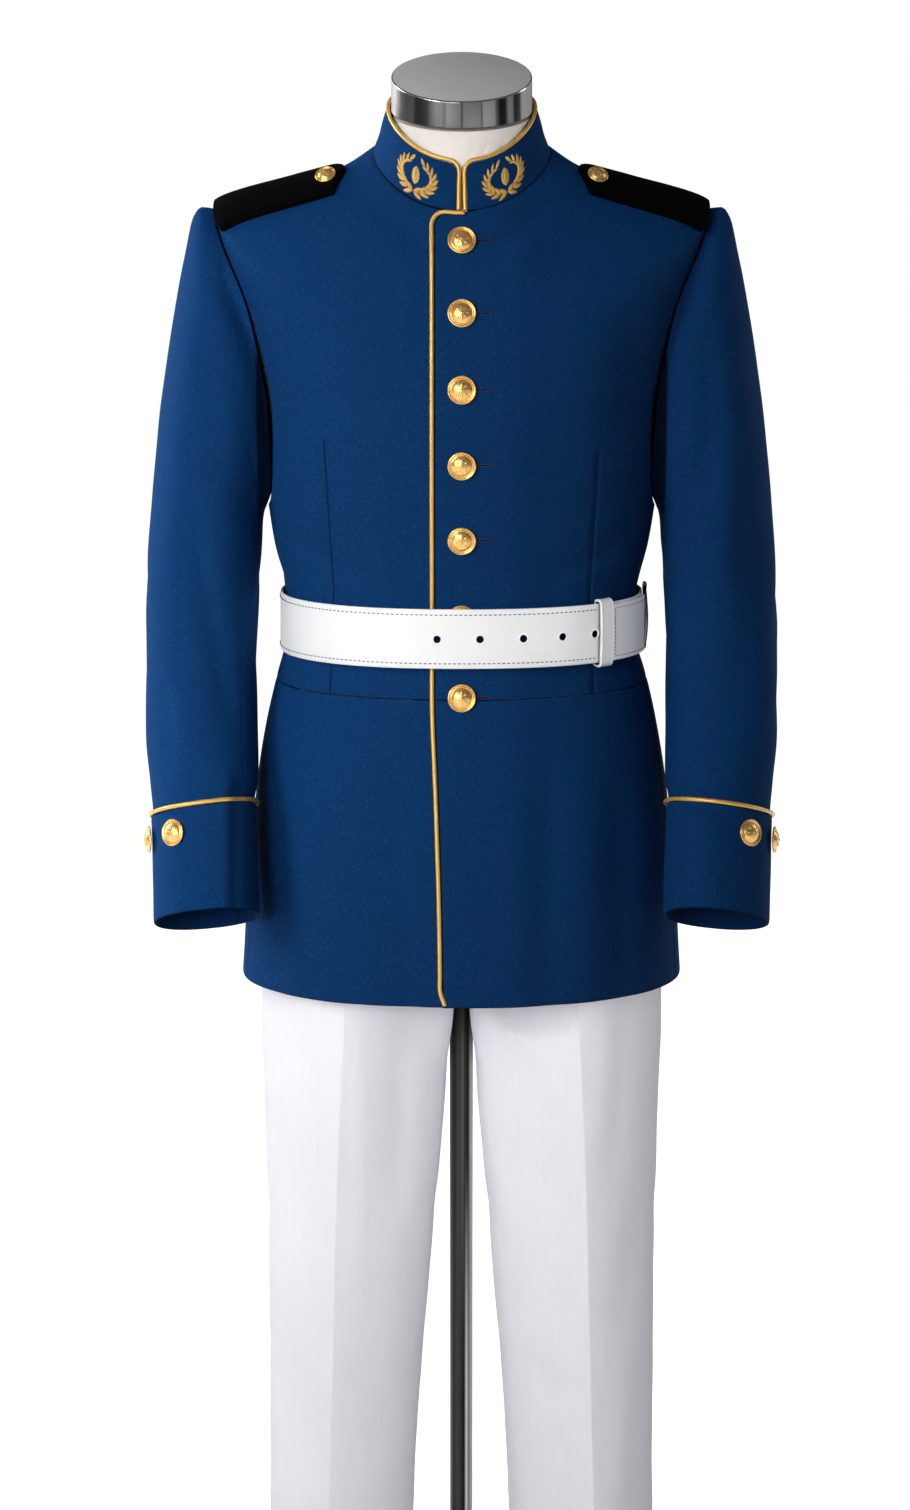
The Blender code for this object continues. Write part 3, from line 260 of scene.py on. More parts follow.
class Sections:
    """Rows of named sizes by level, read smoothly (monotone cubic) in between."""

    def __init__(self, columns: Sequence[str], rows: Sequence[Sequence[float]]) -> None:
        """Take the rows and work out their slopes.

        Args:
            columns: the names of the columns, level first.
            rows: the sizes, one row a level.
        """
        self.columns = columns[1:]
        short = len(columns) - 3           # a row that stops at its first height is level all round
        table = np.array([(*row, row[-1], row[-1], 2.0) if len(row) == short else row for row in rows],
                         dtype=float)
        self.levels, self.rows = table[:, 0], table[:, 1:]
        gaps = np.diff(self.levels)
        rates = np.diff(self.rows, axis=0) / gaps[:, None]
        slopes = np.zeros_like(self.rows)
        slopes[0], slopes[-1] = rates[0], rates[-1]
        for i in range(1, len(rows) - 1):
            a, b = rates[i - 1], rates[i]
            near, far = 2 * gaps[i] + gaps[i - 1], gaps[i] + 2 * gaps[i - 1]
            under = near * b + far * a
            same = a * b > 0
            slopes[i] = np.where(same, (near + far) * a * b / np.where(same, under, 1.0), 0.0)
        self.slopes = slopes

    def at(self, level: Array | float) -> dict[str, Array]:
        """Read the sizes at some levels.

        Args:
            level: the levels, in any shape.

        Returns:
            The sizes in that shape, by column name.
        """
        blend = through(self.levels, self.rows, self.slopes, np.asarray(level, dtype=float))
        return {name: blend[..., k] for k, name in enumerate(self.columns)}

    def level_of(self, column: str, value: float, low: float, high: float) -> float:
        """Find where a rising column has a value.

        Args:
            column: the column's name.
            value: the value looked for.
            low: the lowest level that it may be at.
            high: the highest.

        Returns:
            The level.
        """
        for _ in range(40):
            half = (low + high) / 2
            if float(self.at(half)[column]) < value:
                low = half
            else:
                high = half
        return (low + high) / 2

    def angle_at_x(self, level: Array | float, x: Array | float) -> Array:
        """Degrees round the front half of a ring where it reaches x.

        Args:
            level: the levels.
            x: the places across in metres, + on the wearer's left.

        Returns:
            The degrees, with the sign of x.
        """
        s = self.at(level)
        share = np.minimum(np.abs(x) / s["half"], 1.0)
        return np.copysign(np.degrees(np.arcsin(share ** (s["square"] / 2))), x)

    def angle_at_y(self, level: Array | float, y: Array | float) -> Array:
        """Degrees round a ring's left side, y before (-) or behind (+) its middle.

        Args:
            level: the levels.
            y: the places from front to back.

        Returns:
            The degrees.
        """
        s = self.at(level)
        depth = np.where(np.asarray(y) < 0, s["front"], s["back"])
        return np.degrees(np.arccos(np.clip(power(-y / depth, s["square"] / 2), -1, 1)))


BODY = Sections(SECTION, BODY_ROWS)


# ---------------------------------------------------------------- surfaces
class Surface:
    """A surface measured by level and by place across."""

    side: int = 1
    step: float = 0.5

    def point(self, level: Array, across: Array) -> Array:
        """Points at levels and places across."""
        raise NotImplementedError

    def normal(self, level: Array, across: Array) -> Array:
        """Outward normals, from the surface's own slopes.

        Args:
            level: the levels.
            across: the places across.

        Returns:
            The ways out, each of length 1.
        """
        along = self.point(level, across + self.step) - self.point(level, across - self.step)
        up = self.point(level + 0.01, across) - self.point(level - 0.01, across)
        return self.side * unit(np.cross(along, up))

    def out(self, level: Array | float, across: Array | float, way: Array | float) -> Array:
        """Points a way off the surface."""
        level, across = np.broadcast_arrays(np.asarray(level, float), np.asarray(across, float))
        return self.point(level, across) + self.normal(level, across) * np.asarray(way)[..., None]


class Oval(Surface):
    """Squared ovals; 0 degrees is the front and 90 the wearer's left."""

    def __init__(self, sections: Sections) -> None:
        """Keep the sections."""
        self.sections = sections

    def point(self, level: Array, across: Array) -> Array:
        """Points at levels and degrees round.

        Args:
            level: the levels.
            across: degrees round.

        Returns:
            The points.
        """
        s = self.sections.at(level)
        c, n = np.cos(np.radians(across)), np.sin(np.radians(across))
        depth = np.where(c > 0, s["front"], s["back"])
        x = s["half"] * power(n, 2 / s["square"])
        y = s["mid"] - depth * power(c, 2 / s["square"])
        lean = (s["z_back"] - s["z_front"]) / 2
        droop = s["z_side"] - (s["z_front"] + s["z_back"]) / 2
        z = s["z_side"] - lean * c - droop * np.abs(c) ** s["ridge"]
        return np.stack(np.broadcast_arrays(x, y, z), axis=-1)


@dataclass
class LappedFront(Surface):
    """The wearer's left front, which lies over the right one and stops under the collar."""

    edge: float = -0.0240
    edge_hem: float = -0.0170
    corner: float = 0.011
    rise: float = CLOTH + 0.0009
    blend: Pair = (0.042, 0.085)
    drop: float = 0.115

    def level_on(self, level: Array | float, x: Array | float) -> Array:
        """Level on the body of a place of the lap, which is drawn down near its edge."""
        near = 1 - smooth((x - 0.004) / 0.010)
        return level - self.drop * near * smooth((np.asarray(level) - 12.3) / 0.7)

    def rise_at(self, x: Array | float) -> Array:
        """How far the lap stands off the body at x."""
        low, high = self.blend
        return self.rise * (1 - smooth((x - low) / (high - low)))

    def edge_at(self, level: Array | float) -> Array:
        """x of the lap's edge: drawn in at the hem and rounded off at the neck.

        Args:
            level: the levels.

        Returns:
            The edge's x at each.
        """
        x = self.edge + (self.edge_hem - self.edge) * (1 - smooth(np.asarray(level) / WAIST_SEAM))
        top = BODY.at(self.level_on(NECK_SEAM, x))["z_front"]
        rise = BODY.at(self.level_on(level, x))["z_front"] - top + self.corner
        rounded = self.corner - np.sqrt(np.maximum(self.corner ** 2 - np.maximum(rise, 0) ** 2, 0.0))
        return x + rounded

    def point(self, level: Array, across: Array) -> Array:
        """Points of the lap at levels and degrees round."""
        x = TUNIC.point(level, across)[..., 0]
        return TUNIC.out(self.level_on(level, x), across, self.rise_at(x))


@dataclass
class ArmSurface(Surface):
    """The left sleeve; 0 degrees is outside, 90 the front and 180 inside."""

    reach_front: float = 0.062
    reach_back: float = 0.066
    fade: float = 5.0

    def __post_init__(self) -> None:
        """Read the arm's sections."""
        self.sections = Sections(ARM, SLEEVE_ROWS)

    def side_seam(self, level: Array | float) -> Array:
        """Degrees of the body's side seam, a little forward at the hem."""
        return 90 - 14 * smooth((UNDERARM - np.asarray(level)) / UNDERARM * 1.1)

    def limit(self, level: Array | float, reach: float) -> Array:
        """Degrees where a body panel ends: side seam, armhole, then shoulder seam.

        Args:
            level: the levels.
            reach: the armhole's reach, forward (-) or back (+).

        Returns:
            The degrees at each level.
        """
        level = np.asarray(level, float)
        across = 2 * (level - UNDERARM) / (SHOULDER_TIP - UNDERARM) - 1
        share = np.maximum(1 - across * across, 0.0) ** 0.42
        cut = BODY.angle_at_y(level, reach * share)
        return np.where(level < UNDERARM, self.side_seam(level), np.where(level > SHOULDER_TIP, 90.0, cut))

    def front_limit(self, level: Array | float) -> Array:
        """Degrees where the front ends."""
        return self.limit(level, -self.reach_front)

    def back_limit(self, level: Array | float) -> Array:
        """Degrees where the back ends."""
        return self.limit(level, self.reach_back)

    def armhole(self, degrees: Array) -> Array:
        """Points of the armhole seam, 0 at the shoulder, 90 to the front.

        Args:
            degrees: degrees round the seam.

        Returns:
            The points, on the tunic's surface.
        """
        turn = np.radians(degrees)
        level = UNDERARM + (SHOULDER_TIP - UNDERARM) * (1 + np.cos(turn)) / 2
        limit = np.where(np.sin(turn) >= 0, self.front_limit(level), self.back_limit(level))
        return TUNIC.point(level, limit)

    def ring(self, level: Array, degrees: Array) -> Array:
        """Points of the sleeve's flat rings.

        Args:
            level: the levels.
            degrees: degrees round.

        Returns:
            The points.
        """
        s = self.sections.at(level)
        c, n = np.cos(np.radians(degrees)), np.sin(np.radians(degrees))
        tilt, exponent = np.radians(s["tilt"]), 2 / s["square"]
        swing, reach = power(c, exponent), s["depth"] * power(n, exponent)
        x = (s["x_in"] + s["x_out"]) / 2 + (s["x_out"] - s["x_in"]) / 2 * swing
        z = (s["z_in"] + s["z_out"]) / 2 + (s["z_out"] - s["z_in"]) / 2 * swing + np.sin(tilt) * reach
        y = s["mid"] - np.cos(tilt) * reach
        return np.stack(np.broadcast_arrays(x, y, z), axis=-1)

    def point(self, level: Array, across: Array) -> Array:
        """Points of the sleeve, which leaves the armhole along its own curve.

        Args:
            level: the levels.
            across: degrees round.

        Returns:
            The points.
        """
        rest = self.armhole(across) + np.array([SEAM + 0.0002, 0, 0])
        rest = rest - self.ring(np.zeros_like(level), across)
        fade = np.maximum(1 - level / self.fade, 0.0) ** 2
        return self.ring(level, across) + rest * fade[..., None]


@dataclass
class LegHalf(Surface):
    """Front (-1) or back (1) of the left leg; across runs from the inner edge (-1) to the side (1)."""

    half: int = -1
    lobe: float = 0.0115               # how far the fronts close in before the pole, under the rise

    def __post_init__(self) -> None:
        """Read the leg's sections."""
        self.sections = Sections(LEG, TROUSER_ROWS)
        self.side, self.step = self.half, 0.01

    def point(self, level: Array, across: Array) -> Array:
        """Points of the leg, cornered at its crease by the press.

        Args:
            level: the levels.
            across: shares from the crease, -1 to 1.

        Returns:
            The points.
        """
        s = self.sections.at(level)
        outer = across >= 0
        edge_x = np.where(outer, s["x_out"], s["x_in"])
        edge_y = np.where(outer, s["mid"], s["in_front" if self.half < 0 else "in_back"])
        crease_y = s["mid"] + self.half * s["front" if self.half < 0 else "back"]
        share, press = np.abs(across), s["press"]
        turn = share * math.pi / 2
        aside = (1 - press) * np.sin(turn) + press * (1 - (1 - share) ** 2)
        along = (1 - press) * np.cos(turn) + press * (1 - share)
        x = s["x_crease"] + (edge_x - s["x_crease"]) * aside
        if self.half < 0:
            lobe = np.sin(math.pi * np.clip((share - 0.50) / 0.50, 0, 1)) ** 1.5
            near = smooth((s["z"] - 0.680) / 0.090) * (1 - smooth((s["z"] - 0.815) / 0.020))
            x = x - self.lobe * lobe * near * (~outer)
        return np.stack(np.broadcast_arrays(x, edge_y + (crease_y - edge_y) * along, s["z"]), axis=-1)


def levels_up(surface: Surface, low: float, high: float, across: float, pitch: float) -> Array:
    """Levels at an even pitch up a line of a surface.

    Args:
        surface: the surface.
        low: the first level.
        high: the last level.
        across: the line's place across.
        pitch: the way between two levels.

    Returns:
        The levels, closer together at both ends.
    """
    fine = np.linspace(low, high, 900)
    run = lengths(surface.point(fine, np.full_like(fine, across)))
    return np.interp(spaced(run[-1], pitch) * run[-1], run, fine)


TUNIC = Oval(BODY)
LAP = LappedFront()
SLEEVE = ArmSurface()
STAND = Oval(Sections(SECTION, COLLAR_ROWS))
STRAP = Oval(Sections(SECTION, BELT_ROWS))


# ---------------------------------------------------------------- folds
class Face(Enum):
    """The side that a fold is laid from: its two flat axes and its way out."""

    FRONT = (0, 2, (0, -1, 0))
    BACK = (0, 2, (0, 1, 0))
    LEFT = (1, 2, (1, 0, 0))
    RIGHT = (1, 2, (-1, 0, 0))


@dataclass(frozen=True)
class Fold:
    """A soft ridge (depth above 0) or trough (below 0) along a path on one side of the cloth."""

    face: Face
    path: tuple[Pair, ...]
    width: float
    depth: float
    far: float = 0.0
    ends: float = 0.25

    def height(self, points: Array, normals: Array) -> Array:
        """How far the fold moves the cloth out.

        Args:
            points: points of the flat cloth.
            normals: its normals there.

        Returns:
            The height at each point.
        """
        first, second, way = self.face.value
        flat = np.stack([points[..., first], points[..., second]], axis=-1)
        facing = smooth((normals @ np.array(way, float) - 0.02) / 0.35)
        path = np.array(self.path)
        runs = lengths(path)
        best = np.full(flat.shape[:-1], np.inf)
        place, hand = np.zeros_like(best), np.zeros_like(best)
        for a, b, at in zip(path, path[1:], runs):
            line = b - a
            size = line @ line
            t = np.clip(((flat - a) @ line) / size, 0, 1)
            gap = flat - a - t[..., None] * line
            off = np.hypot(gap[..., 0], gap[..., 1])
            near = off < best
            best = np.where(near, off, best)
            place = np.where(near, (at + t * math.sqrt(size)) / runs[-1], place)
            hand = np.where(near, line[0] * gap[..., 1] - line[1] * gap[..., 0], hand)
        width = np.where(hand > 0, self.width, self.far or self.width)
        fade = smooth(np.minimum(place, 1 - place) / self.ends) if self.ends else 1.0
        return self.depth * np.exp(-(best / width) ** 2) * fade * facing


@dataclass(frozen=True)
class Relief:
    """All that lifts a cloth off its flat form: its folds, and a slow unevenness."""

    folds: tuple[Fold, ...]
    uneven: float
    calm: tuple[tuple[float, float, float], ...] = ()

    def height(self, points: Array, normals: Array) -> Array:
        """How far the cloth stands out.

        Args:
            points: points of the flat cloth.
            normals: its normals there.

        Returns:
            The height at each point.
        """
        x, y, z = points[..., 0], points[..., 1], points[..., 2]
        waves = (np.sin(61 * x + 37 * z + 0.4) + np.sin(43 * y - 52 * z + 1.9) + np.sin(88 * x - 71 * y + 2.6)
                 + 0.7 * np.sin(96 * z + 57 * y + 0.9) + 0.6 * np.sin(133 * x + 41 * z + 3.3))
        total = self.uneven * waves / 3
        for fold in self.folds:
            total = total + fold.height(points, normals)
        for middle, reach, most in self.calm:
            held = 1 - smooth((np.abs(z - middle) - reach) / 0.030)
            total = np.where(total > most, most + (total - most) * (1 - held), total)
        return total


F, B, L, R = Face.FRONT, Face.BACK, Face.LEFT, Face.RIGHT
WOOL_RELIEF = Relief((
    # neck and chest
    Fold(F, ((0.082, 1.520), (0.051, 1.494), (0.016, 1.466)), 0.0065, -0.0026, 0.0100),
    Fold(F, ((0.092, 1.502), (0.066, 1.476), (0.034, 1.452)), 0.0110, 0.0017),
    Fold(F, ((-0.082, 1.518), (-0.052, 1.492), (-0.030, 1.470)), 0.0080, -0.0013),
    Fold(F, ((0.150, 1.445), (0.154, 1.370), (0.142, 1.290)), 0.0160, -0.0020),
    Fold(F, ((-0.152, 1.430), (-0.158, 1.350), (-0.150, 1.280)), 0.0150, -0.0014),
    Fold(F, ((0.110, 1.420), (0.090, 1.330)), 0.0300, 0.0014),
    Fold(F, ((-0.100, 1.440), (-0.090, 1.330)), 0.0320, 0.0016),
    # above and below the belt
    Fold(F, ((-0.165, 1.222), (-0.120, 1.196), (-0.050, 1.180)), 0.0090, -0.0014),
    Fold(F, ((0.165, 1.230), (0.125, 1.200), (0.060, 1.182)), 0.0090, -0.0016),
    Fold(F, ((0.160, 1.205), (0.110, 1.182)), 0.0080, 0.0012),
    Fold(F, ((-0.150, 1.260), (-0.130, 1.190)), 0.0120, -0.0012),
    # skirt
    Fold(F, ((-0.062, 1.040), (-0.054, 0.900), (-0.043, 0.760)), 0.0150, -0.0030, 0.0220, 0.2),
    Fold(F, ((-0.112, 1.030), (-0.118, 0.900), (-0.120, 0.760)), 0.0240, 0.0022, 0.0, 0.2),
    Fold(F, ((-0.165, 1.000), (-0.172, 0.760)), 0.0120, -0.0016, 0.0, 0.2),
    Fold(F, ((0.053, 1.050), (0.055, 0.920), (0.056, 0.750)), 0.0150, 0.0013, 0.0200, 0.3),
    Fold(F, ((0.077, 1.052), (0.078, 0.920), (0.080, 0.750)), 0.0130, -0.0017, 0.0180, 0.3),
    Fold(F, ((0.113, 1.048), (0.113, 0.919), (0.115, 0.750)), 0.0200, 0.0018, 0.0, 0.3),
    Fold(F, ((0.143, 1.030), (0.150, 0.760)), 0.0150, -0.0020, 0.0, 0.3),
    Fold(B, ((-0.095, 1.060), (-0.104, 0.900), (-0.108, 0.750)), 0.0170, -0.0034, 0.0, 0.2),
    Fold(B, ((-0.055, 1.040), (-0.058, 0.750)), 0.0200, 0.0020, 0.0, 0.2),
    Fold(B, ((0.070, 1.060), (0.076, 0.900), (0.078, 0.750)), 0.0150, -0.0030, 0.0, 0.2),
    Fold(B, ((0.120, 1.050), (0.128, 0.750)), 0.0190, 0.0022, 0.0, 0.2),
    Fold(L, ((0.030, 1.040), (0.038, 0.750)), 0.0170, -0.0026, 0.0, 0.2),
    Fold(R, ((0.024, 1.030), (0.030, 0.750)), 0.0150, -0.0024, 0.0, 0.2),
    # back
    Fold(B, ((-0.150, 1.420), (-0.090, 1.392), (-0.030, 1.400)), 0.0130, -0.0016),
    Fold(B, ((0.148, 1.430), (0.085, 1.396), (0.020, 1.404)), 0.0150, -0.0018),
    Fold(B, ((-0.140, 1.250), (-0.095, 1.196)), 0.0110, -0.0018),
    Fold(B, ((0.135, 1.240), (0.100, 1.190)), 0.0120, -0.0020),
    Fold(B, ((-0.060, 1.520), (-0.120, 1.470)), 0.0140, -0.0012),
    Fold(B, ((0.060, 1.520), (0.115, 1.465)), 0.0130, -0.0012),
    # sleeve on the wearer's right
    Fold(F, ((-0.243, 1.430), (-0.252, 1.300), (-0.252, 1.180)), 0.0150, 0.0018, 0.0, 0.3),
    Fold(F, ((-0.228, 1.420), (-0.222, 1.330), (-0.218, 1.250)), 0.0100, -0.0014),
    Fold(F, ((-0.243, 1.270), (-0.236, 1.200), (-0.216, 1.097), (-0.200, 1.010)), 0.0095, -0.0044, 0.0140,
         0.3),
    Fold(F, ((-0.268, 1.200), (-0.256, 1.110), (-0.240, 1.010)), 0.0130, 0.0024),
    Fold(F, ((-0.270, 1.090), (-0.262, 1.000)), 0.0090, -0.0018),
    Fold(R, ((0.020, 1.200), (-0.030, 1.150), (-0.060, 1.100)), 0.0110, -0.0014),
    Fold(R, ((0.030, 1.150), (-0.020, 1.100), (-0.060, 1.050)), 0.0110, -0.0012),
    Fold(R, ((0.010, 1.180), (-0.040, 1.125)), 0.0110, 0.0008),
    Fold(B, ((-0.205, 1.180), (-0.245, 1.130), (-0.270, 1.080)), 0.0110, -0.0030),
    Fold(B, ((-0.215, 1.300), (-0.240, 1.200)), 0.0140, -0.0020),
    # sleeve on the wearer's left
    Fold(F, ((0.249, 1.430), (0.247, 1.330), (0.240, 1.240), (0.226, 1.120)), 0.0110, 0.0022, 0.0160, 0.25),
    Fold(F, ((0.220, 1.440), (0.220, 1.320), (0.210, 1.210), (0.204, 1.090)), 0.0130, -0.0042, 0.0, 0.2),
    Fold(F, ((0.268, 1.260), (0.258, 1.130), (0.246, 1.010)), 0.0130, -0.0026, 0.0160, 0.3),
    Fold(F, ((0.232, 1.090), (0.228, 1.000)), 0.0090, -0.0014),
    Fold(L, ((0.024, 1.190), (-0.026, 1.140), (-0.060, 1.095)), 0.0110, -0.0014),
    Fold(L, ((0.030, 1.130), (-0.020, 1.085), (-0.060, 1.040)), 0.0120, -0.0011),
    Fold(L, ((0.020, 1.165), (-0.040, 1.115)), 0.0110, 0.0008),
    Fold(B, ((0.205, 1.170), (0.245, 1.125), (0.270, 1.085)), 0.0110, -0.0030),
    Fold(B, ((0.215, 1.320), (0.238, 1.210)), 0.0140, -0.0020),
    # cuffs
    Fold(F, ((-0.212, 1.000), (-0.212, 0.840)), 0.0060, 0.0014, 0.0, 0.0),
    Fold(F, ((-0.202, 1.000), (-0.203, 0.840)), 0.0050, -0.0012, 0.0, 0.0),
    Fold(F, ((0.2125, 0.985), (0.2105, 0.840)), 0.0240, 0.0060, 0.0130, 0.1),
), 0.00035, ((1.132, 0.030, 0.0006),))

ARMHOLE = ((0.218, 1.478), (0.210, 1.446), (0.194, 1.414), (0.183, 1.386), (0.178, 1.367), (0.173, 1.307),
           (0.173, 1.253))
SLEEVE_RELIEF = Relief(WOOL_RELIEF.folds + (      # the sleeve rolls down into its seam
    Fold(F, ARMHOLE, 0.0120, -0.0080, 0.0050, 0.3),
    Fold(F, tuple((-x, z) for x, z in ARMHOLE), 0.0050, -0.0080, 0.0120, 0.3),
), WOOL_RELIEF.uneven, WOOL_RELIEF.calm)
BODY_RELIEF = Relief(WOOL_RELIEF.folds + (
    Fold(L, ((-0.040, 1.315), (0.030, 1.290)), 0.0160, 0.0035),
    Fold(R, ((-0.040, 1.315), (0.030, 1.290)), 0.0160, 0.0035),
), WOOL_RELIEF.uneven, WOOL_RELIEF.calm)

TWILL_RELIEF = Relief((
    Fold(F, ((-0.093, 0.820), (-0.093, 0.640), (-0.098, 0.480)), 0.0070, 0.0014, 0.0, 0.15),
    Fold(F, ((-0.046, 0.840), (-0.054, 0.700), (-0.062, 0.540)), 0.0120, -0.0026, 0.0160, 0.3),
    Fold(F, ((-0.176, 0.670), (-0.150, 0.593), (-0.124, 0.500)), 0.0120, -0.0028, 0.0200, 0.4),
    Fold(F, ((-0.182, 0.660), (-0.160, 0.580), (-0.138, 0.500)), 0.0140, 0.0016),
    Fold(F, ((-0.176, 0.480), (-0.154, 0.390), (-0.130, 0.260)), 0.0120, -0.0030, 0.0200, 0.4),
    Fold(F, ((-0.110, 0.440), (-0.082, 0.400), (-0.060, 0.330)), 0.0140, -0.0020),
    Fold(F, ((0.012, 0.775), (0.036, 0.752), (0.066, 0.748), (0.096, 0.760), (0.112, 0.790)), 0.0060, -0.0050,
         0.0090, 0.2),
    Fold(F, ((0.030, 0.720), (0.060, 0.728), (0.090, 0.735)), 0.0090, 0.0016),
    Fold(F, ((0.137, 0.820), (0.133, 0.740), (0.121, 0.600)), 0.0110, 0.0012, 0.0, 0.3),
    Fold(F, ((0.155, 0.820), (0.152, 0.740), (0.142, 0.600)), 0.0120, -0.0012, 0.0, 0.3),
    Fold(F, ((0.158, 0.450), (0.152, 0.360), (0.144, 0.240)), 0.0120, 0.0012, 0.0, 0.4),
    Fold(F, ((0.168, 0.620), (0.156, 0.520), (0.150, 0.440)), 0.0120, -0.0014, 0.0, 0.4),
    Fold(F, ((0.030, 0.640), (0.070, 0.600), (0.100, 0.590)), 0.0160, -0.0018),
    Fold(F, ((0.050, 0.440), (0.080, 0.400), (0.106, 0.390)), 0.0150, -0.0018),
    Fold(F, ((-0.175, 0.150), (-0.140, 0.112), (-0.090, 0.125)), 0.0130, -0.0036),
    Fold(F, ((-0.160, 0.100), (-0.110, 0.075)), 0.0140, 0.0022),
    Fold(F, ((0.178, 0.160), (0.140, 0.115), (0.080, 0.130)), 0.0130, -0.0036),
    Fold(F, ((0.165, 0.100), (0.110, 0.080)), 0.0140, 0.0022),
    Fold(B, ((-0.170, 0.560), (-0.110, 0.520), (-0.050, 0.540)), 0.0150, -0.0044),
    Fold(B, ((-0.165, 0.500), (-0.110, 0.460)), 0.0150, -0.0032),
    Fold(B, ((0.168, 0.550), (0.110, 0.505), (0.050, 0.530)), 0.0150, -0.0044),
    Fold(B, ((0.165, 0.480), (0.105, 0.450)), 0.0150, -0.0030),
    Fold(B, ((-0.170, 0.760), (-0.080, 0.730)), 0.0160, -0.0034),
    Fold(B, ((0.168, 0.750), (0.085, 0.722)), 0.0160, -0.0034),
    Fold(B, ((-0.160, 0.140), (-0.090, 0.110)), 0.0140, -0.0036),
    Fold(B, ((0.160, 0.150), (0.095, 0.112)), 0.0140, -0.0036),
    Fold(L, ((-0.040, 0.600), (0.030, 0.540)), 0.0180, -0.0010),
    Fold(R, ((-0.040, 0.590), (0.030, 0.540)), 0.0180, -0.0010),
), 0.00045)
PLAIN = Relief((), 0.0)


# ---------------------------------------------------------------- meshes in code
class Draft:
    """Collects the points, faces and flat coordinates of one mesh."""

    def __init__(self) -> None:
        """Start empty."""
        self.points: list[Array] = []
        self.faces: list[list[int]] = []
        self.flat: list[Pair] = []
        self.count = 0

    def add(self, points: Array) -> Array:
        """Add points.

        Args:
            points: the points, in any grid.

        Returns:
            Their numbers, in the same grid.
        """
        flat = points.reshape(-1, 3)
        numbers = self.count + np.arange(len(flat)).reshape(points.shape[:-1])
        self.points.append(flat)
        self.count += len(flat)
        return numbers

    def skin(self, numbers: Array, flat: Array) -> None:
        """Fill the cells of a grid.

        Args:
            numbers: the grid's point numbers; a closed ring repeats its first column.
            flat: the flat coordinates of the same grid.
        """
        corners = [numbers[:-1, :-1], numbers[:-1, 1:], numbers[1:, 1:], numbers[1:, :-1]]
        places = [flat[:-1, :-1], flat[:-1, 1:], flat[1:, 1:], flat[1:, :-1]]
        self.faces.extend(np.stack(corners, axis=-1).reshape(-1, 4).tolist())
        self.flat.extend(np.stack(places, axis=-2).reshape(-1, 2).tolist())

    def shell(self, outer: Array, inner: Array, flat: Array, ring: bool = False) -> tuple[Array, Array]:
        """Add a wall: two faces and the rims that join them.

        Args:
            outer: the outer face's points, in a grid.
            inner: the inner face's.
            flat: the flat coordinates of the grid.
            ring: whether its columns close on themselves.

        Returns:
            The point numbers of the outer and the inner face.
        """
        near, far = self.add(outer), self.add(inner)
        if ring:
            near, far = (np.concatenate([face, face[:, :1]], axis=1) for face in (near, far))
            flat = np.concatenate([flat, flat[:, -1:] + (0.004, 0)], axis=1)
        self.skin(near, flat)
        self.skin(far[:, ::-1], flat[:, ::-1])
        rims = [(near[0], far[0], flat[0]), (far[-1], near[-1], flat[-1])]
        if not ring:
            rims += [(far[:, 0], near[:, 0], flat[:, 0]), (near[:, -1], far[:, -1], flat[:, -1])]
        for first, second, places in rims:
            self.skin(np.stack([second, first]), np.stack([places, places]))
        return near, far

    def merge(self, points: Array, faces: Sequence[Sequence[int]], flat: Sequence[Pair]) -> None:
        """Add a finished part.

        Args:
            points: its points.
            faces: its faces, by its own point numbers.
            flat: the flat coordinates of their corners.
        """
        start = self.count
        self.add(points)
        self.faces.extend([[n + start for n in face] for face in faces])
        self.flat.extend(flat)

    def lid(self, numbers: Array) -> None:
        """Close a ring with one face."""
        self.faces.append([int(n) for n in numbers])
        self.flat.extend([(0.0, 0.0)] * len(numbers))

    def mesh(self, name: str, sharp: float = 50.0) -> bpy.types.Mesh:
        """Make the mesh.

        Args:
            name: its name.
            sharp: degrees past which an edge stays hard.

        Returns:
            The mesh, shaded smooth, with its flat coordinates as the UV map "cut".
        """
        mesh = bpy.data.meshes.new(name)
        mesh.from_pydata(np.concatenate(self.points).tolist(), [], self.faces)
        layer = mesh.uv_layers.new(name="cut")
        layer.uv.foreach_set("vector", np.array(self.flat, np.float32).ravel())
        mesh.shade_smooth()
        mesh.set_sharp_from_angle(angle=math.radians(sharp))
        mesh.update()
        return mesh


def copies(source: bpy.types.Mesh, places: Sequence[Matrix], name: str) -> bpy.types.Mesh:
    """One mesh of many copies of another.

    Args:
        source: the mesh that repeats.
        places: where each copy goes.
        name: the new mesh's name.

    Returns:
        The joined mesh.
    """
    points = np.array([v.co for v in source.vertices])
    faces = [list(p.vertices) for p in source.polygons]
    all_points, all_faces = [], []
    for i, place in enumerate(places):
        turn = np.array(place)
        all_points.append(points @ turn[:3, :3].T + turn[:3, 3])
        all_faces.extend([[n + i * len(points) for n in face] for face in faces])
    mesh = bpy.data.meshes.new(name)
    mesh.from_pydata(np.concatenate(all_points).tolist(), [], all_faces)
    mesh.shade_smooth()
    mesh.update()
    return mesh


def upright(point: Array, out: Array, along: Array) -> Matrix:
    """A place with its Z along out and its X along along.

    Args:
        point: the origin.
        out: the way Z points.
        along: the way X points, about square to out.

    Returns:
        The place as a matrix.
    """
    z = Vector(out).normalized()
    y = z.cross(Vector(along)).normalized()
    x = y.cross(z)
    place = Matrix((x, y, z)).transposed().to_4x4()
    place.translation = Vector(point)
    return place


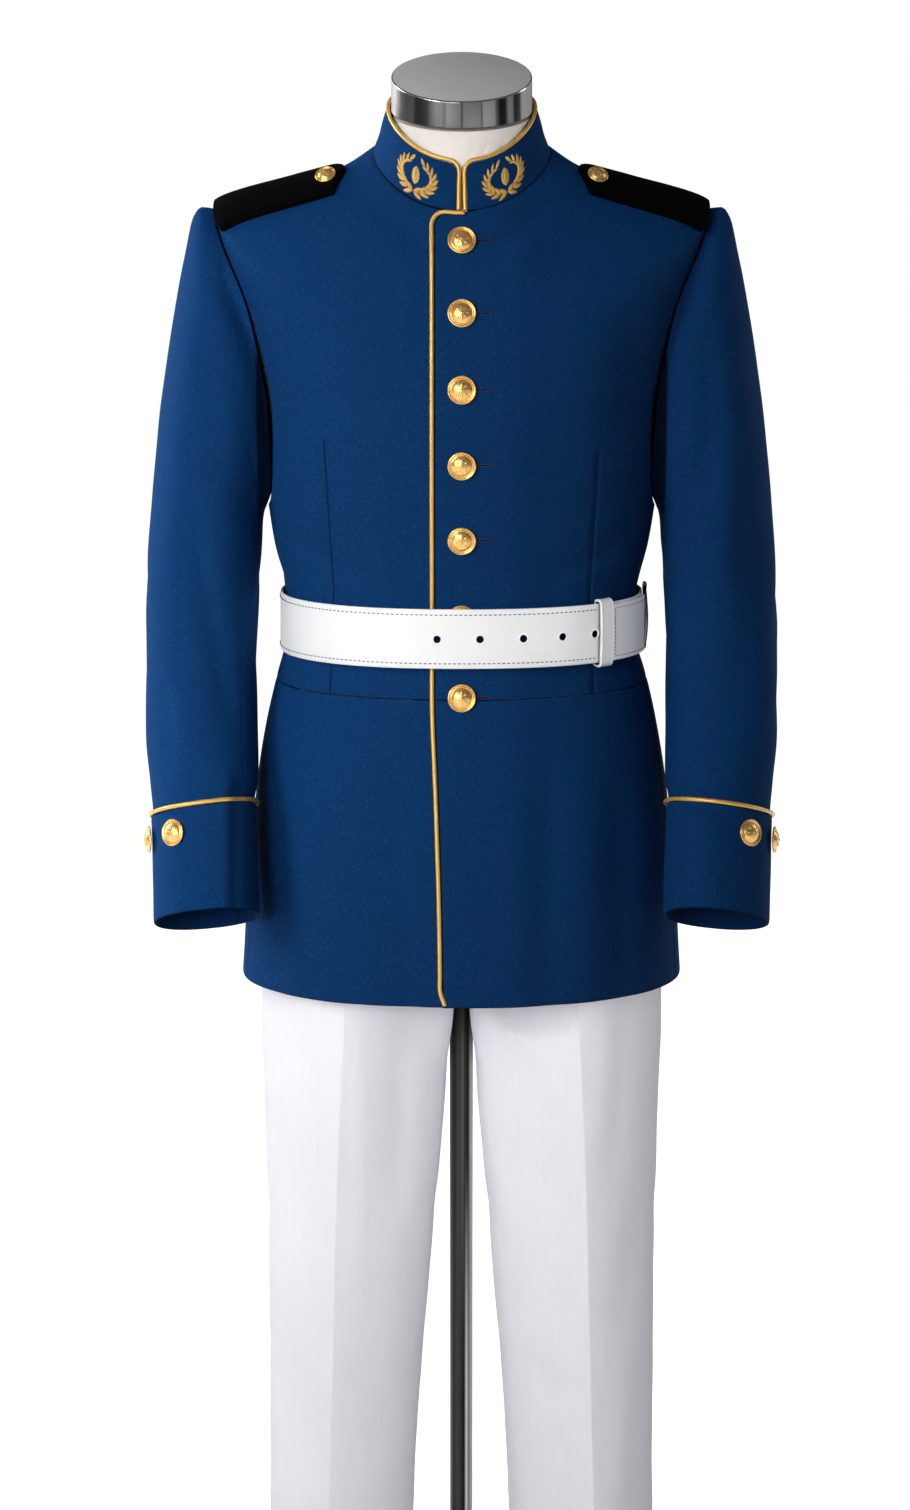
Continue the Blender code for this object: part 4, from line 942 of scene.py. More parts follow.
@dataclass(frozen=True)
class Wall:
    """A wall of cloth or leather: its thickness, where its outer face lies and how its edges turn."""

    thickness: float = CLOTH
    lift: float = 0.0
    relief: Relief = PLAIN
    press: float = 0.0003
    ring: bool = False

    def build(self, name: str, surface: Surface, level: Array, across: Array, flip: bool) -> bpy.types.Mesh:
        """Lay the wall over a surface.

        Args:
            name: the mesh's name.
            surface: the surface.
            level: the level of each cell corner, rows rising.
            across: the place across of each.
            flip: whether the piece is the mirrored one, on the wearer's right.

        Returns:
            The mesh.
        """
        points, normals = surface.point(level, across), surface.normal(level, across)
        if flip:
            points, normals = points[:, ::-1] * (-1, 1, 1), normals[:, ::-1] * (-1, 1, 1)
        outer = points + normals * self.lift
        up = np.concatenate([np.zeros_like(outer[:1, :, 0]),
                             np.cumsum(np.linalg.norm(np.diff(outer, axis=0), axis=-1), axis=0)])
        wide = np.concatenate([np.zeros_like(outer[:, :1, 0]),
                               np.cumsum(np.linalg.norm(np.diff(outer, axis=1), axis=-1), axis=1)], axis=1)
        edge = np.minimum(up, up[-1:] - up)
        if not self.ring:
            edge = np.minimum(edge, np.minimum(wide, wide[:, -1:] - wide))
        radius = self.thickness / 2
        near = np.clip(edge / radius, 0, 1)
        turn = 0.8 * radius * fall(1 - near)
        height = self.relief.height(outer, normals) - self.press * (1 - smooth(edge / 0.004))
        outer = outer + normals * (height - turn)[..., None]
        inner = points + normals * (self.lift + height - self.thickness + turn)[..., None]
        draft = Draft()
        draft.shell(outer, inner, np.stack([wide, up], axis=-1), self.ring)
        return draft.mesh(name)


def cord_mesh(name: str, path: Array, radius: float, closed: bool = False, sides: int = 12,
              pitch: float = 0.002) -> bpy.types.Mesh:
    """A round cord along a path, with domed ends.

    Args:
        name: the mesh's name.
        path: the points that it follows.
        radius: its radius.
        closed: whether it is a ring.
        sides: faces round it.
        pitch: the way between two rings.

    Returns:
        The mesh; its UV map runs round it and along it in metres.
    """
    if closed:
        whole = curved(np.concatenate([path[-3:], path, path[:3]]), pitch)
        first, last = (int(np.argmin(np.linalg.norm(part[:len(part) // 4] - path[0], axis=1)))
                       for part in (whole, whole[::-1]))
        run = whole[first:len(whole) - 1 - last]
        ways = np.roll(run, -1, 0) - np.roll(run, 1, 0)
    else:
        run = curved(path, pitch)
        ways = np.gradient(run, axis=0)
    ways = unit(ways)
    side = np.cross(ways[0], (0.13, 0.31, 0.94))
    frames = []
    for way in ways:
        side = side - way * (side @ way)
        side = side / np.linalg.norm(side)
        frames.append(side)
    first_side = np.array(frames)
    if closed:
        back = first_side[-1] - ways[0] * (first_side[-1] @ ways[0])
        slip = math.atan2(np.cross(back, first_side[0]) @ ways[0], back @ first_side[0])
    else:
        slip = 0.0
    turn = np.linspace(0, slip, len(run))[:, None] + np.linspace(0, 2 * math.pi, sides + 1)[None, :-1]
    second = np.cross(ways, first_side)
    rim = np.cos(turn)[..., None] * first_side[:, None] + np.sin(turn)[..., None] * second[:, None]
    rings, centres, along = rim * radius, run, lengths(run)
    if not closed:
        domes = [(0.25, 0.97), (0.6, 0.80), (0.9, 0.44)]
        ahead = [(run[-1] + ways[-1] * radius * a, rim[-1] * radius * b) for a, b in domes]
        before = [(run[0] - ways[0] * radius * a, rim[0] * radius * b) for a, b in reversed(domes)]
        centres = np.array([c for c, _ in before] + list(run) + [c for c, _ in ahead])
        rings = np.array([r for _, r in before] + list(rings) + [r for _, r in ahead])
        along = lengths(centres)
    draft = Draft()
    numbers = draft.add(centres[:, None] + rings)
    numbers = np.concatenate([numbers, numbers[:, :1]], axis=1)
    round_it = np.linspace(0, 2 * math.pi * radius, sides + 1)
    flat = np.stack(np.broadcast_arrays(round_it[None], along[:, None]), axis=-1)
    draft.skin(numbers, flat)
    if closed:
        draft.skin(np.stack([numbers[-1], numbers[0]]), np.stack([flat[-1], flat[-1] + (0, pitch)]))
    else:
        draft.lid(numbers[0, :-1][::-1])
        draft.lid(numbers[-1, :-1])
    return draft.mesh(name, 80)


def stitch_mesh(length: float, radius: float) -> bpy.types.Mesh:
    """One stitch: a short thread that dips at both ends, along X at the origin.

    Args:
        length: its length.
        radius: the thread's radius.

    Returns:
        The mesh, of a few dozen faces.
    """
    shares = np.array([-0.5, -0.38, -0.15, 0.15, 0.38, 0.5])
    path = np.stack([shares * length, 0 * shares, radius * np.array([-1.2, 0.25, 0.8, 0.8, 0.25, -1.2])],
                    axis=-1)
    turn = np.linspace(0, 2 * math.pi, 7)[:-1]
    thin = np.array([0.5, 0.95, 1, 1, 0.95, 0.5])[:, None, None] * radius
    rim = np.stack([0 * turn, np.cos(turn), np.sin(turn)], axis=-1)[None] * thin
    draft = Draft()
    numbers = draft.add(path[:, None] + rim)
    ring = np.concatenate([numbers, numbers[:, :1]], axis=1)
    draft.skin(ring, np.zeros((*ring.shape, 2)))
    draft.lid(numbers[0][::-1])
    draft.lid(numbers[-1])
    return draft.mesh("stitch", 80)


def stitch_row(points: Array, outs: Array, pitch: float) -> list[Matrix]:
    """Places of the stitches of a row.

    Args:
        points: points along the row.
        outs: the way out of the cloth at each.
        pitch: the way from one stitch to the next.

    Returns:
        The place of each stitch.
    """
    at = lengths(points)
    want = np.arange(pitch / 2, at[-1], pitch)
    spots = np.stack([np.interp(want, at, points[:, k]) for k in range(3)], axis=-1)
    ways = np.stack([np.interp(want, at, outs[:, k]) for k in range(3)], axis=-1)
    ahead = np.stack([np.interp(want + 0.001, at, points[:, k]) - np.interp(want - 0.001, at, points[:, k])
                      for k in range(3)], axis=-1)
    return [upright(p, o, a) for p, o, a in zip(spots, ways, ahead)]


# ---------------------------------------------------------------- the bench
class Bench:
    """Forms hard pieces with Blender's own modelling operators."""

    def clear(self) -> None:
        """Leave nothing selected."""
        if bpy.context.object and bpy.context.object.mode != "OBJECT":
            bpy.ops.object.mode_set(mode="OBJECT")
        bpy.ops.object.select_all(action="DESELECT")

    def choose(self, test: Callable[[Vector, Vector], bool], kind: str = "faces") -> None:
        """Select faces or points of the mesh in edit mode.

        Args:
            test: says yes to a place and a normal.
            kind: faces or verts.
        """
        work = bmesh.from_edit_mesh(bpy.context.object.data)
        bpy.ops.mesh.select_all(action="DESELECT")
        for item in getattr(work, kind):
            if test(item.calc_center_median() if kind == "faces" else item.co, item.normal):
                item.select_set(True)
        work.select_flush_mode()
        bmesh.update_edit_mesh(bpy.context.object.data)

    def turned(self, profile: Sequence[Pair], steps: int) -> bpy.types.Object:
        """Turn a solid: a disc is extruded and resized ring by ring up its profile.

        Args:
            profile: radius and height of each ring, from the foot up; a last radius of 0 closes to a point.
            steps: faces round it.

        Returns:
            The object, at the origin.
        """
        self.clear()
        radius, height = profile[0]
        bpy.ops.mesh.primitive_circle_add(vertices=steps, radius=radius, fill_type="NGON", location=(0, 0, 0))
        piece = bpy.context.object
        bpy.ops.object.mode_set(mode="EDIT")
        bpy.ops.mesh.select_all(action="SELECT")
        bpy.ops.transform.translate(value=(0, 0, height))
        for next_radius, next_height in profile[1:]:
            bpy.ops.mesh.extrude_region_move(TRANSFORM_OT_translate={"value": (0, 0, next_height - height)})
            if next_radius == 0:
                bpy.ops.mesh.merge(type="CENTER")
                break
            share = next_radius / radius
            bpy.ops.transform.resize(value=(share, share, 1))
            radius, height = next_radius, next_height
        bpy.ops.mesh.select_all(action="SELECT")
        bpy.ops.mesh.normals_make_consistent(inside=False)
        bpy.ops.object.mode_set(mode="OBJECT")
        return piece

    def spun(self, radius: float, thick: Pair, steps: int, sides: int = 12) -> bpy.types.Object:
        """Spin an oval section round the Z axis into a ring.

        Args:
            radius: the ring's radius.
            thick: the section's half sizes, across and up.
            steps: faces round the ring.
            sides: faces round the section.

        Returns:
            The object, at the origin.
        """
        self.clear()
        bpy.ops.mesh.primitive_circle_add(vertices=sides, radius=1, location=(0, 0, 0))
        piece = bpy.context.object
        bpy.ops.object.mode_set(mode="EDIT")
        bpy.ops.mesh.select_all(action="SELECT")
        bpy.ops.transform.resize(value=(thick[0], thick[1], 1))
        bpy.ops.transform.rotate(value=math.radians(90), orient_axis="X", center_override=(0, 0, 0))
        bpy.ops.transform.translate(value=(radius, 0, 0))
        bpy.ops.mesh.spin(steps=steps, angle=2 * math.pi, center=(0, 0, 0), axis=(0, 0, 1))
        bpy.ops.mesh.select_all(action="SELECT")
        bpy.ops.mesh.remove_doubles(threshold=0.00001)
        bpy.ops.mesh.normals_make_consistent(inside=False)
        bpy.ops.object.mode_set(mode="OBJECT")
        return piece

    def bean(self, sizes: tuple[float, float, float], centre: tuple[float, float, float], segments: int = 12,
             rings: int = 6) -> bpy.types.Object:
        """A drop shape: a ball that is drawn out and thinned towards its tip along X.

        Args:
            sizes: half length, half width and half thickness.
            centre: where its middle goes.
            segments: faces round it.
            rings: rows of faces along it.

        Returns:
            The object, at the origin.
        """
        self.clear()
        bpy.ops.mesh.primitive_uv_sphere_add(segments=segments, ring_count=rings, radius=1,
                                             location=(0, 0, 0))
        piece = bpy.context.object
        bpy.ops.object.mode_set(mode="EDIT")
        bpy.ops.mesh.select_all(action="SELECT")
        bpy.ops.transform.rotate(value=math.radians(90), orient_axis="Y", center_override=(0, 0, 0))
        bpy.ops.transform.resize(value=sizes)
        self.choose(lambda place, _: place.x > 0.35 * sizes[0], "verts")
        bpy.ops.transform.resize(value=(1, 0.72, 0.8))
        self.choose(lambda place, _: place.x > 0.8 * sizes[0], "verts")
        bpy.ops.transform.resize(value=(1, 0.6, 0.7))
        bpy.ops.mesh.select_all(action="SELECT")
        bpy.ops.transform.translate(value=centre)
        bpy.ops.object.mode_set(mode="OBJECT")
        return piece

    def join(self, pieces: Sequence[bpy.types.Object]) -> bpy.types.Object:
        """Join pieces into the first one.

        Args:
            pieces: the pieces.

        Returns:
            The first piece, with all of them in its mesh.
        """
        self.clear()
        for piece in pieces:
            piece.select_set(True)
        bpy.context.view_layer.objects.active = pieces[0]
        bpy.ops.object.join()
        return pieces[0]

    def apply(self, piece: bpy.types.Object, kind: str, **settings: object) -> None:
        """Add a modifier to a piece and apply it.

        Args:
            piece: the piece.
            kind: the modifier's type.
            **settings: its settings by name.
        """
        self.clear()
        piece.select_set(True)
        bpy.context.view_layer.objects.active = piece
        added = piece.modifiers.new(kind.lower(), kind)
        for key, value in settings.items():
            setattr(added, key, value)
        bpy.ops.object.modifier_apply(modifier=added.name)

    def take(self, piece: bpy.types.Object, sharp: float = 35) -> bpy.types.Mesh:
        """Take the finished mesh off the bench, its place applied.

        Args:
            piece: the object.
            sharp: degrees past which an edge stays hard.

        Returns:
            The mesh alone.
        """
        mesh = piece.data
        mesh.transform(piece.matrix_world)
        bpy.data.objects.remove(piece)
        mesh.shade_smooth()
        mesh.set_sharp_from_angle(angle=math.radians(sharp))
        return mesh


BENCH = Bench()


# ---------------------------------------------------------------- finishes
def toned(colour: Colour, share: float) -> Colour:
    """A colour made darker or lighter."""
    return tuple(part * share for part in colour)


class Number:
    """A shader value that takes part in Python arithmetic."""

    def __init__(self, board: Board, socket: bpy.types.NodeSocket) -> None:
        """Keep the socket and the board that it is on."""
        self.board, self.socket = board, socket

    def __add__(self, other: Number | float) -> Number:
        """Sum."""
        return self.board.maths("ADD", self, other)

    def __sub__(self, other: Number | float) -> Number:
        """Difference."""
        return self.board.maths("SUBTRACT", self, other)

    def __rsub__(self, other: float) -> Number:
        """Difference from a number."""
        return self.board.maths("SUBTRACT", other, self)

    def __mul__(self, other: Number | float) -> Number:
        """Product."""
        return self.board.maths("MULTIPLY", self, other)

    def __truediv__(self, other: Number | float) -> Number:
        """Quotient."""
        return self.board.maths("DIVIDE", self, other)

    def __pow__(self, other: Number | float) -> Number:
        """Power."""
        return self.board.maths("POWER", self, other)

    __radd__ = __add__
    __rmul__ = __mul__


class Board:
    """The node board of one material."""

    def __init__(self, name: str) -> None:
        """Start a material with its Principled shader.

        Args:
            name: the material's name.
        """
        self.material = bpy.data.materials.new(name)
        self.material.use_nodes = True
        self.tree = self.material.node_tree
        self.shader = self.tree.nodes["Principled BSDF"]

    def node(self, kind: str, settings: dict[str, object] | None = None,
             sockets: dict[str | int, object] | None = None) -> bpy.types.Node:
        """Add a node.

        Args:
            kind: the node's type.
            settings: its settings, set first.
            sockets: the value or the link of each input.

        Returns:
            The node.
        """
        made = self.tree.nodes.new(kind)
        for key, value in (settings or {}).items():
            if key == "stops":
                ramp = made.color_ramp
                while len(ramp.elements) < len(value):
                    ramp.elements.new(0.5)
                for element, (place, colour) in zip(ramp.elements, value):
                    element.position, element.color = place, (*colour, 1.0)
            else:
                setattr(made, key, value)
        for key, value in (sockets or {}).items():
            self.plug(made.inputs[key], value)
        return made

    def plug(self, socket: bpy.types.NodeSocket, value: object) -> None:
        """Link a socket, or set its value.

        Args:
            socket: the socket.
            value: a number, colour, vector, socket or Number.
        """
        if isinstance(value, Number):
            value = value.socket
        if isinstance(value, bpy.types.NodeSocket):
            self.tree.links.new(value, socket)
        elif isinstance(value, tuple) and socket.type == "RGBA":
            socket.default_value = (*value, 1.0)
        else:
            socket.default_value = value

    def maths(self, operation: str, *values: Number | float) -> Number:
        """Add a Math node."""
        made = self.node("ShaderNodeMath", {"operation": operation}, dict(enumerate(values)))
        return Number(self, made.outputs[0])

    def ease(self, value: Number, low: float, high: float, first: float = 0.0, last: float = 1.0) -> Number:
        """Ease a value from first to last while it runs from low to high.

        Args:
            value: the value.
            low: where it starts to change.
            high: where it stops.
            first: the result below low.
            last: the result above high.

        Returns:
            The eased value.
        """
        made = self.node("ShaderNodeMapRange", {"interpolation_type": "SMOOTHSTEP"},
                         {0: value, 1: low, 2: high, 3: first, 4: last})
        return Number(self, made.outputs[0])

    def mix(self, share: Number | float, first: object, second: object) -> bpy.types.NodeSocket:
        """Mix two colours."""
        made = self.node("ShaderNodeMix", {"data_type": "RGBA"}, {0: share, 6: first, 7: second})
        return made.outputs[2]

    def place(self, scale: tuple[float, float, float] = (1, 1, 1),
              turn: tuple[float, float, float] = (0, 0, 0)) -> bpy.types.NodeSocket:
        """Object coordinates, scaled and turned."""
        source = self.node("ShaderNodeTexCoord").outputs["Object"]
        return self.node("ShaderNodeMapping", None, {0: source, 2: turn, 3: scale}).outputs[0]

    def cut(self) -> tuple[Number, Number]:
        """The cloth's own flat coordinates in metres, across and along.

        Returns:
            The way across and the way along.
        """
        source = self.node("ShaderNodeUVMap", {"uv_map": "cut"}).outputs[0]
        made = self.node("ShaderNodeSeparateXYZ", None, {0: source})
        return Number(self, made.outputs[0]), Number(self, made.outputs[1])

    def split(self) -> tuple[Number, Number, Number]:
        """The object coordinates.

        Returns:
            x, y and z.
        """
        made = self.node("ShaderNodeSeparateXYZ", None,
                         {0: self.node("ShaderNodeTexCoord").outputs["Object"]})
        return tuple(Number(self, out) for out in made.outputs)

    def noise(self, scale: float, detail: float = 2.0, rough: float = 0.5, vector: object = None) -> Number:
        """Noise by object coordinates, about 0.5 in the middle.

        Args:
            scale: its scale.
            detail: its octaves.
            rough: the share of each finer octave.
            vector: other coordinates to read it by.

        Returns:
            The noise.
        """
        made = self.node("ShaderNodeTexNoise", None,
                         {"Vector": vector or self.place(), "Scale": scale, "Detail": detail,
                          "Roughness": rough})
        return Number(self, made.outputs[0])

    def cells(self, scale: float, feature: str = "F1", vector: object = None) -> Number:
        """Way to the nearest cell's middle, or to its edge.

        Args:
            scale: cells in a metre.
            feature: which distance it gives.
            vector: other coordinates to read it by.

        Returns:
            The distance, as a share of a cell.
        """
        made = self.node("ShaderNodeTexVoronoi", {"feature": feature},
                         {"Vector": vector or self.place(), "Scale": scale})
        return Number(self, made.outputs["Distance"])

    def wander(self, scale: float, reach: float) -> bpy.types.NodeSocket:
        """Coordinates that are pushed about by noise.

        Args:
            scale: the noise's scale.
            reach: how far it pushes, in metres.

        Returns:
            The coordinates.
        """
        start = self.place()
        push = self.node("ShaderNodeTexNoise", None, {"Vector": start, "Scale": scale, "Detail": 1.0})
        centred = self.node("ShaderNodeVectorMath", {"operation": "SUBTRACT"},
                            {0: push.outputs[1], 1: (0.5,) * 3})
        small = self.node("ShaderNodeVectorMath", {"operation": "SCALE"},
                          {0: centred.outputs[0], "Scale": reach})
        return self.node("ShaderNodeVectorMath", {"operation": "ADD"},
                         {0: start, 1: small.outputs[0]}).outputs[0]

    def wave(self, way: Number, pitch: float) -> Number:
        """A wave between 0 and 1 along a way, by its pitch."""
        return self.maths("SINE", way * (2 * math.pi / pitch)) * 0.5 + 0.5

    def line(self, x: Number, z: Number, first: Pair, last: Pair) -> Number:
        """Way from a place to a straight line between two points.

        Args:
            x: the place across.
            z: the place up.
            first: the line's first point.
            last: its last point.

        Returns:
            The distance in metres.
        """
        dx, dz = last[0] - first[0], last[1] - first[1]
        along = ((x - first[0]) * dx + (z - first[1]) * dz) / (dx * dx + dz * dz)
        along = self.maths("MINIMUM", self.maths("MAXIMUM", along, 0.0), 1.0)
        aside, up = x - first[0] - along * dx, z - first[1] - along * dz
        return (aside * aside + up * up) ** 0.5

    def bump(self, height: Number, distance: float, strength: float = 1.0) -> None:
        """Raise the surface by a height.

        Args:
            height: the height, from 0 to 1.
            distance: what a height of 1 stands for, in metres.
            strength: its strength.
        """
        made = self.node("ShaderNodeBump", None,
                         {"Strength": strength, "Distance": distance, "Height": height})
        self.plug(self.shader.inputs["Normal"], made.outputs[0])

    def set(self, **values: object) -> None:
        """Set or link the shader's own sockets, their names with _ for a space."""
        for key, value in values.items():
            self.plug(self.shader.inputs[key.replace("_", " ")], value)


MADE: dict[Finish, bpy.types.Material] = {}


@dataclass(frozen=True)
class Finish:
    """A finish, made once and shared by the pieces that have it."""

    name: str

    def material(self) -> bpy.types.Material:
        """The finish's material.

        Returns:
            The one material that every piece in this finish shares.
        """
        if self not in MADE:
            board = Board(self.name + "_finish")
            self.paint(board)
            MADE[self] = board.material
        return MADE[self]

    def paint(self, board: Board) -> None:
        """Lay the finish out on a board."""
        raise NotImplementedError


@dataclass(frozen=True)
class Wool(Finish):
    """Close fulled wool: a fine nap of short curled fibres over a dense ground."""

    ground: Colour = (0.0045, 0.0470, 0.1720)
    fibre: Colour = (0.0150, 0.1250, 0.3300)
    darts: tuple[tuple[Pair, Pair], ...] = ()
    seam: float = 0.85                 # how dark the shadow in its seams is
    # shade: strength of a painted shade, near black, where a sleeve lies against the body
    shade: float = 0.0                 # how dark it is where a sleeve lies against the body

    def paint(self, board: Board) -> None:
        """Ground, fibres, specks and pressed darts, with painted shadow in the seams and darts and painted
        shade where a sleeve lies against the body.

        Args:
            board: the board.
        """
        grain = board.noise(980.0, 2.0, 0.6)
        cloud = board.noise(11.0, 2.0)
        patch = board.ease(board.noise(330.0, 1.0), 0.47, 0.60)
        twist = board.wander(420.0, 0.0024)
        curl = board.ease(board.cells(205.0, "DISTANCE_TO_EDGE", twist), 0.120, 0.035) * patch
        speck = board.ease(board.cells(250.0), 0.11, 0.05) * board.ease(board.noise(80.0, 1.0), 0.58, 0.68)
        dark = toned(self.ground, 0.74)
        colour = board.mix(board.ease(grain, 0.30, 0.70), dark, toned(self.ground, 1.28))
        colour = board.mix(cloud * 0.30, colour, dark)
        colour = board.mix(curl * 0.19, colour, self.fibre)
        colour = board.mix(speck * 0.60, colour, self.fibre)
        height = grain * 0.6 + curl * 1.0 + board.noise(420.0, 1.0) * 0.5
        across, along = board.cut()
        # painted shadow along the seams: the cloth turns darker near the edges where its flat coordinates
        # start
        edge = board.ease(board.maths("MINIMUM", across, along), 0.0011, 0.0004)
        colour = board.mix(edge * self.seam, colour, (0.0004, 0.0035, 0.0150))
        # painted shade: near black on the sleeve's inner side beside the body, below the armhole, except at
        # the back
        if self.shade:
            x, y, z = board.split()
            near = board.ease(board.maths("ABSOLUTE", x), 0.1865, 0.1830)
            near = near * board.ease(y, 0.050, 0.030) * board.ease(z, 1.400, 1.370)
            colour = board.mix(near * self.shade, colour, (0.0002, 0.0020, 0.0090))
        if self.darts:
            x, y, z = board.split()
            front = board.ease(y, 0.0, -0.02)
            nearest = None
            for first, last in self.darts:
                way = board.line(x, z, first, last)
                nearest = way if nearest is None else board.maths("MINIMUM", nearest, way)
            # painted shadow along the dart lines, with their groove in the bump
            seam = board.ease(nearest, 0.0011, 0.0003) * front
            colour = board.mix(seam * 0.75, colour, (0.0006, 0.0060, 0.0250))
            height = height - board.ease(nearest, 0.0042, 0.0004) * front * 5.0
        board.bump(height, 0.00022, 0.9)
        board.set(Base_Color=colour, Roughness=0.86, Specular_IOR_Level=0.04, Sheen_Weight=0.12,
                  Sheen_Roughness=0.40, Sheen_Tint=(0.02, 0.32, 0.85))


@dataclass(frozen=True)
class GoldBraid(Finish):
    """Gold satin on cords and threads: fine ribs that run slanting round the cord."""

    ground: Colour = (1.000, 0.580, 0.110)
    pitch: float = 0.0011
    slant: float = 0.9

    def paint(self, board: Board) -> None:
        """Ribs, with their dips darker.

        Args:
            board: the board.
        """
        across, along = board.cut()
        rib = board.wave(along + across * self.slant, self.pitch)
        fuzz = board.noise(900.0, 2.0)
        colour = board.mix(rib * 0.6 + fuzz * 0.35, toned(self.ground, 0.72), self.ground)
        board.bump(rib + fuzz * 0.5, 0.00010, 0.6)
        board.set(Base_Color=colour, Roughness=board.ease(fuzz, 0.3, 0.7, 0.30, 0.42), Metallic=0.35,
                  Coat_Weight=0.25, Coat_Roughness=0.3, Specular_IOR_Level=0.5)


@dataclass(frozen=True)
class Bullion(Finish):
    """Gold embroidery thread, packed across each leaf."""

    ground: Colour = (0.990, 0.640, 0.150)

    def paint(self, board: Board) -> None:
        """Packed threads by the leaf's own coordinates.

        Args:
            board: the board.
        """
        across, along = board.cut()
        slanted = along + board.maths("ABSOLUTE", across) * 0.8
        thread = board.wave(slanted, 0.00055)
        fuzz = board.noise(1400.0, 2.0)
        colour = board.mix(thread * 0.7 + fuzz * 0.3, (0.480, 0.250, 0.045), self.ground)
        board.bump(thread + fuzz * 0.4, 0.00012, 0.8)
        board.set(Base_Color=colour, Roughness=board.ease(fuzz, 0.3, 0.7, 0.34, 0.48), Metallic=0.30)


@dataclass(frozen=True)
class Gilt(Finish):
    """Polished gilt, with handling marks and a warm tarnish in patches."""

    ground: Colour = (0.900, 0.560, 0.190)

    def paint(self, board: Board) -> None:
        """Polish, fine scratches and a warm tarnish.

        Args:
            board: the board.
        """
        cloud = board.noise(260.0, 3.0, 0.6)
        marks = board.noise(1500.0, 2.0, 0.6, board.place((1, 0.15, 1), (0, 0, 0.7)))
        colour = board.mix(board.ease(cloud, 0.42, 0.72) * 0.45, self.ground, (0.640, 0.300, 0.060))
        board.bump(marks * 0.4 + cloud, 0.00003, 0.4)
        board.set(Base_Color=colour, Metallic=0.74, Roughness=board.ease(marks, 0.3, 0.7, 0.27, 0.35),
                  Specular_IOR_Level=0.5)


@dataclass(frozen=True)
class Velvet(Finish):
    """Black cotton velvet with its pile brushed in slow patches."""

    def paint(self, board: Board) -> None:
        """Pile and its brushed patches.

        Args:
            board: the board.
        """
        pile = board.noise(1600.0, 2.0, 0.7)
        brush = board.noise(60.0, 2.0)
        colour = board.mix(pile * 0.6 + brush * 0.4, (0.0003, 0.0003, 0.0004), (0.0014, 0.0014, 0.0018))
        board.bump(pile + brush, 0.00015, 0.6)
        board.set(Base_Color=colour, Roughness=0.9, Specular_IOR_Level=0.04, Sheen_Weight=0.012,
                  Sheen_Roughness=0.3, Sheen_Tint=(0.8, 0.8, 1.0))


@dataclass(frozen=True)
class Leather(Finish):
    """White coated leather: a faint pebble grain under a satin coat, greyer where it is handled."""

    ground: Colour = (0.880, 0.880, 0.885)

    def paint(self, board: Board) -> None:
        """Grain, creases and handling.

        Args:
            board: the board.
        """
        pebble = board.cells(1350.0)
        crease = board.noise(70.0, 3.0, 0.6, board.place((1, 1, 3.0)))
        worn = board.ease(board.noise(24.0, 3.0, 0.6), 0.50, 0.75)
        colour = board.mix(worn * 0.35, self.ground, (0.780, 0.775, 0.765))
        colour = board.mix(board.ease(pebble, 0.55, 0.95) * 0.10, colour, (0.620, 0.620, 0.630))
        board.bump(1 - pebble * 0.35 + crease * 1.3, 0.00008, 0.55)
        board.set(Base_Color=colour, Roughness=board.ease(crease, 0.3, 0.7, 0.30, 0.42),
                  Specular_IOR_Level=0.45, Coat_Weight=0.12, Coat_Roughness=0.25)


@dataclass(frozen=True)
class Twill(Finish):
    """White pressed twill: fine slanting ribs, and a felled seam's two stitched lines where asked."""

    felled: float = 0.0

    def paint(self, board: Board) -> None:
        """Ribs, slubs and the felled seam.

        Args:
            board: the board.
        """
        across, along = board.cut()
        rib = board.wave(across * 0.86 + along * 0.50, 0.0011)
        slub = board.noise(240.0, 2.0, 0.5, board.place((1, 1, 0.12)))
        cloud = board.noise(14.0, 2.0)
        colour = board.mix(rib * 0.5 + slub * 0.5, (0.750, 0.732, 0.782), (0.872, 0.852, 0.905))
        colour = board.mix(cloud * 0.16, colour, (0.715, 0.698, 0.745))
        height = rib * 0.6 + slub * 0.8
        if self.felled:
            ridge = board.ease(board.maths("ABSOLUTE", across - self.felled / 2), self.felled / 2,
                               self.felled / 2 - 0.0012)
            thread = board.ease(board.maths("ABSOLUTE", across - self.felled), 0.0008, 0.0003)
            dash = board.ease(board.wave(along, 0.0030), 0.35, 0.60)
            colour = board.mix(thread * (0.15 + dash * 0.30), colour, (0.500, 0.495, 0.520))
            height = height + ridge * 1.4 - thread * 1.6
        board.bump(height, 0.00014, 0.7)
        board.set(Base_Color=colour, Roughness=0.84, Specular_IOR_Level=0.25, Sheen_Weight=0.10,
                  Sheen_Roughness=0.5)


@dataclass(frozen=True)
class Jersey(Finish):
    """Stretched knitted cover of the dress form: fine wales and a soft mottle."""

    def paint(self, board: Board) -> None:
        """Wales and mottle.

        Args:
            board: the board.
        """
        across, along = board.cut()
        wale, course = board.wave(across, 0.0012), board.wave(along, 0.0009)
        mottle = board.noise(120.0, 3.0, 0.6)
        colour = board.mix(wale * course * 0.5 + mottle * 0.5, (0.700, 0.655, 0.610), (0.800, 0.765, 0.725))
        board.bump(wale * course + mottle * 0.8, 0.00016, 0.7)
        board.set(Base_Color=colour, Roughness=0.88, Specular_IOR_Level=0.25, Sheen_Weight=0.12)


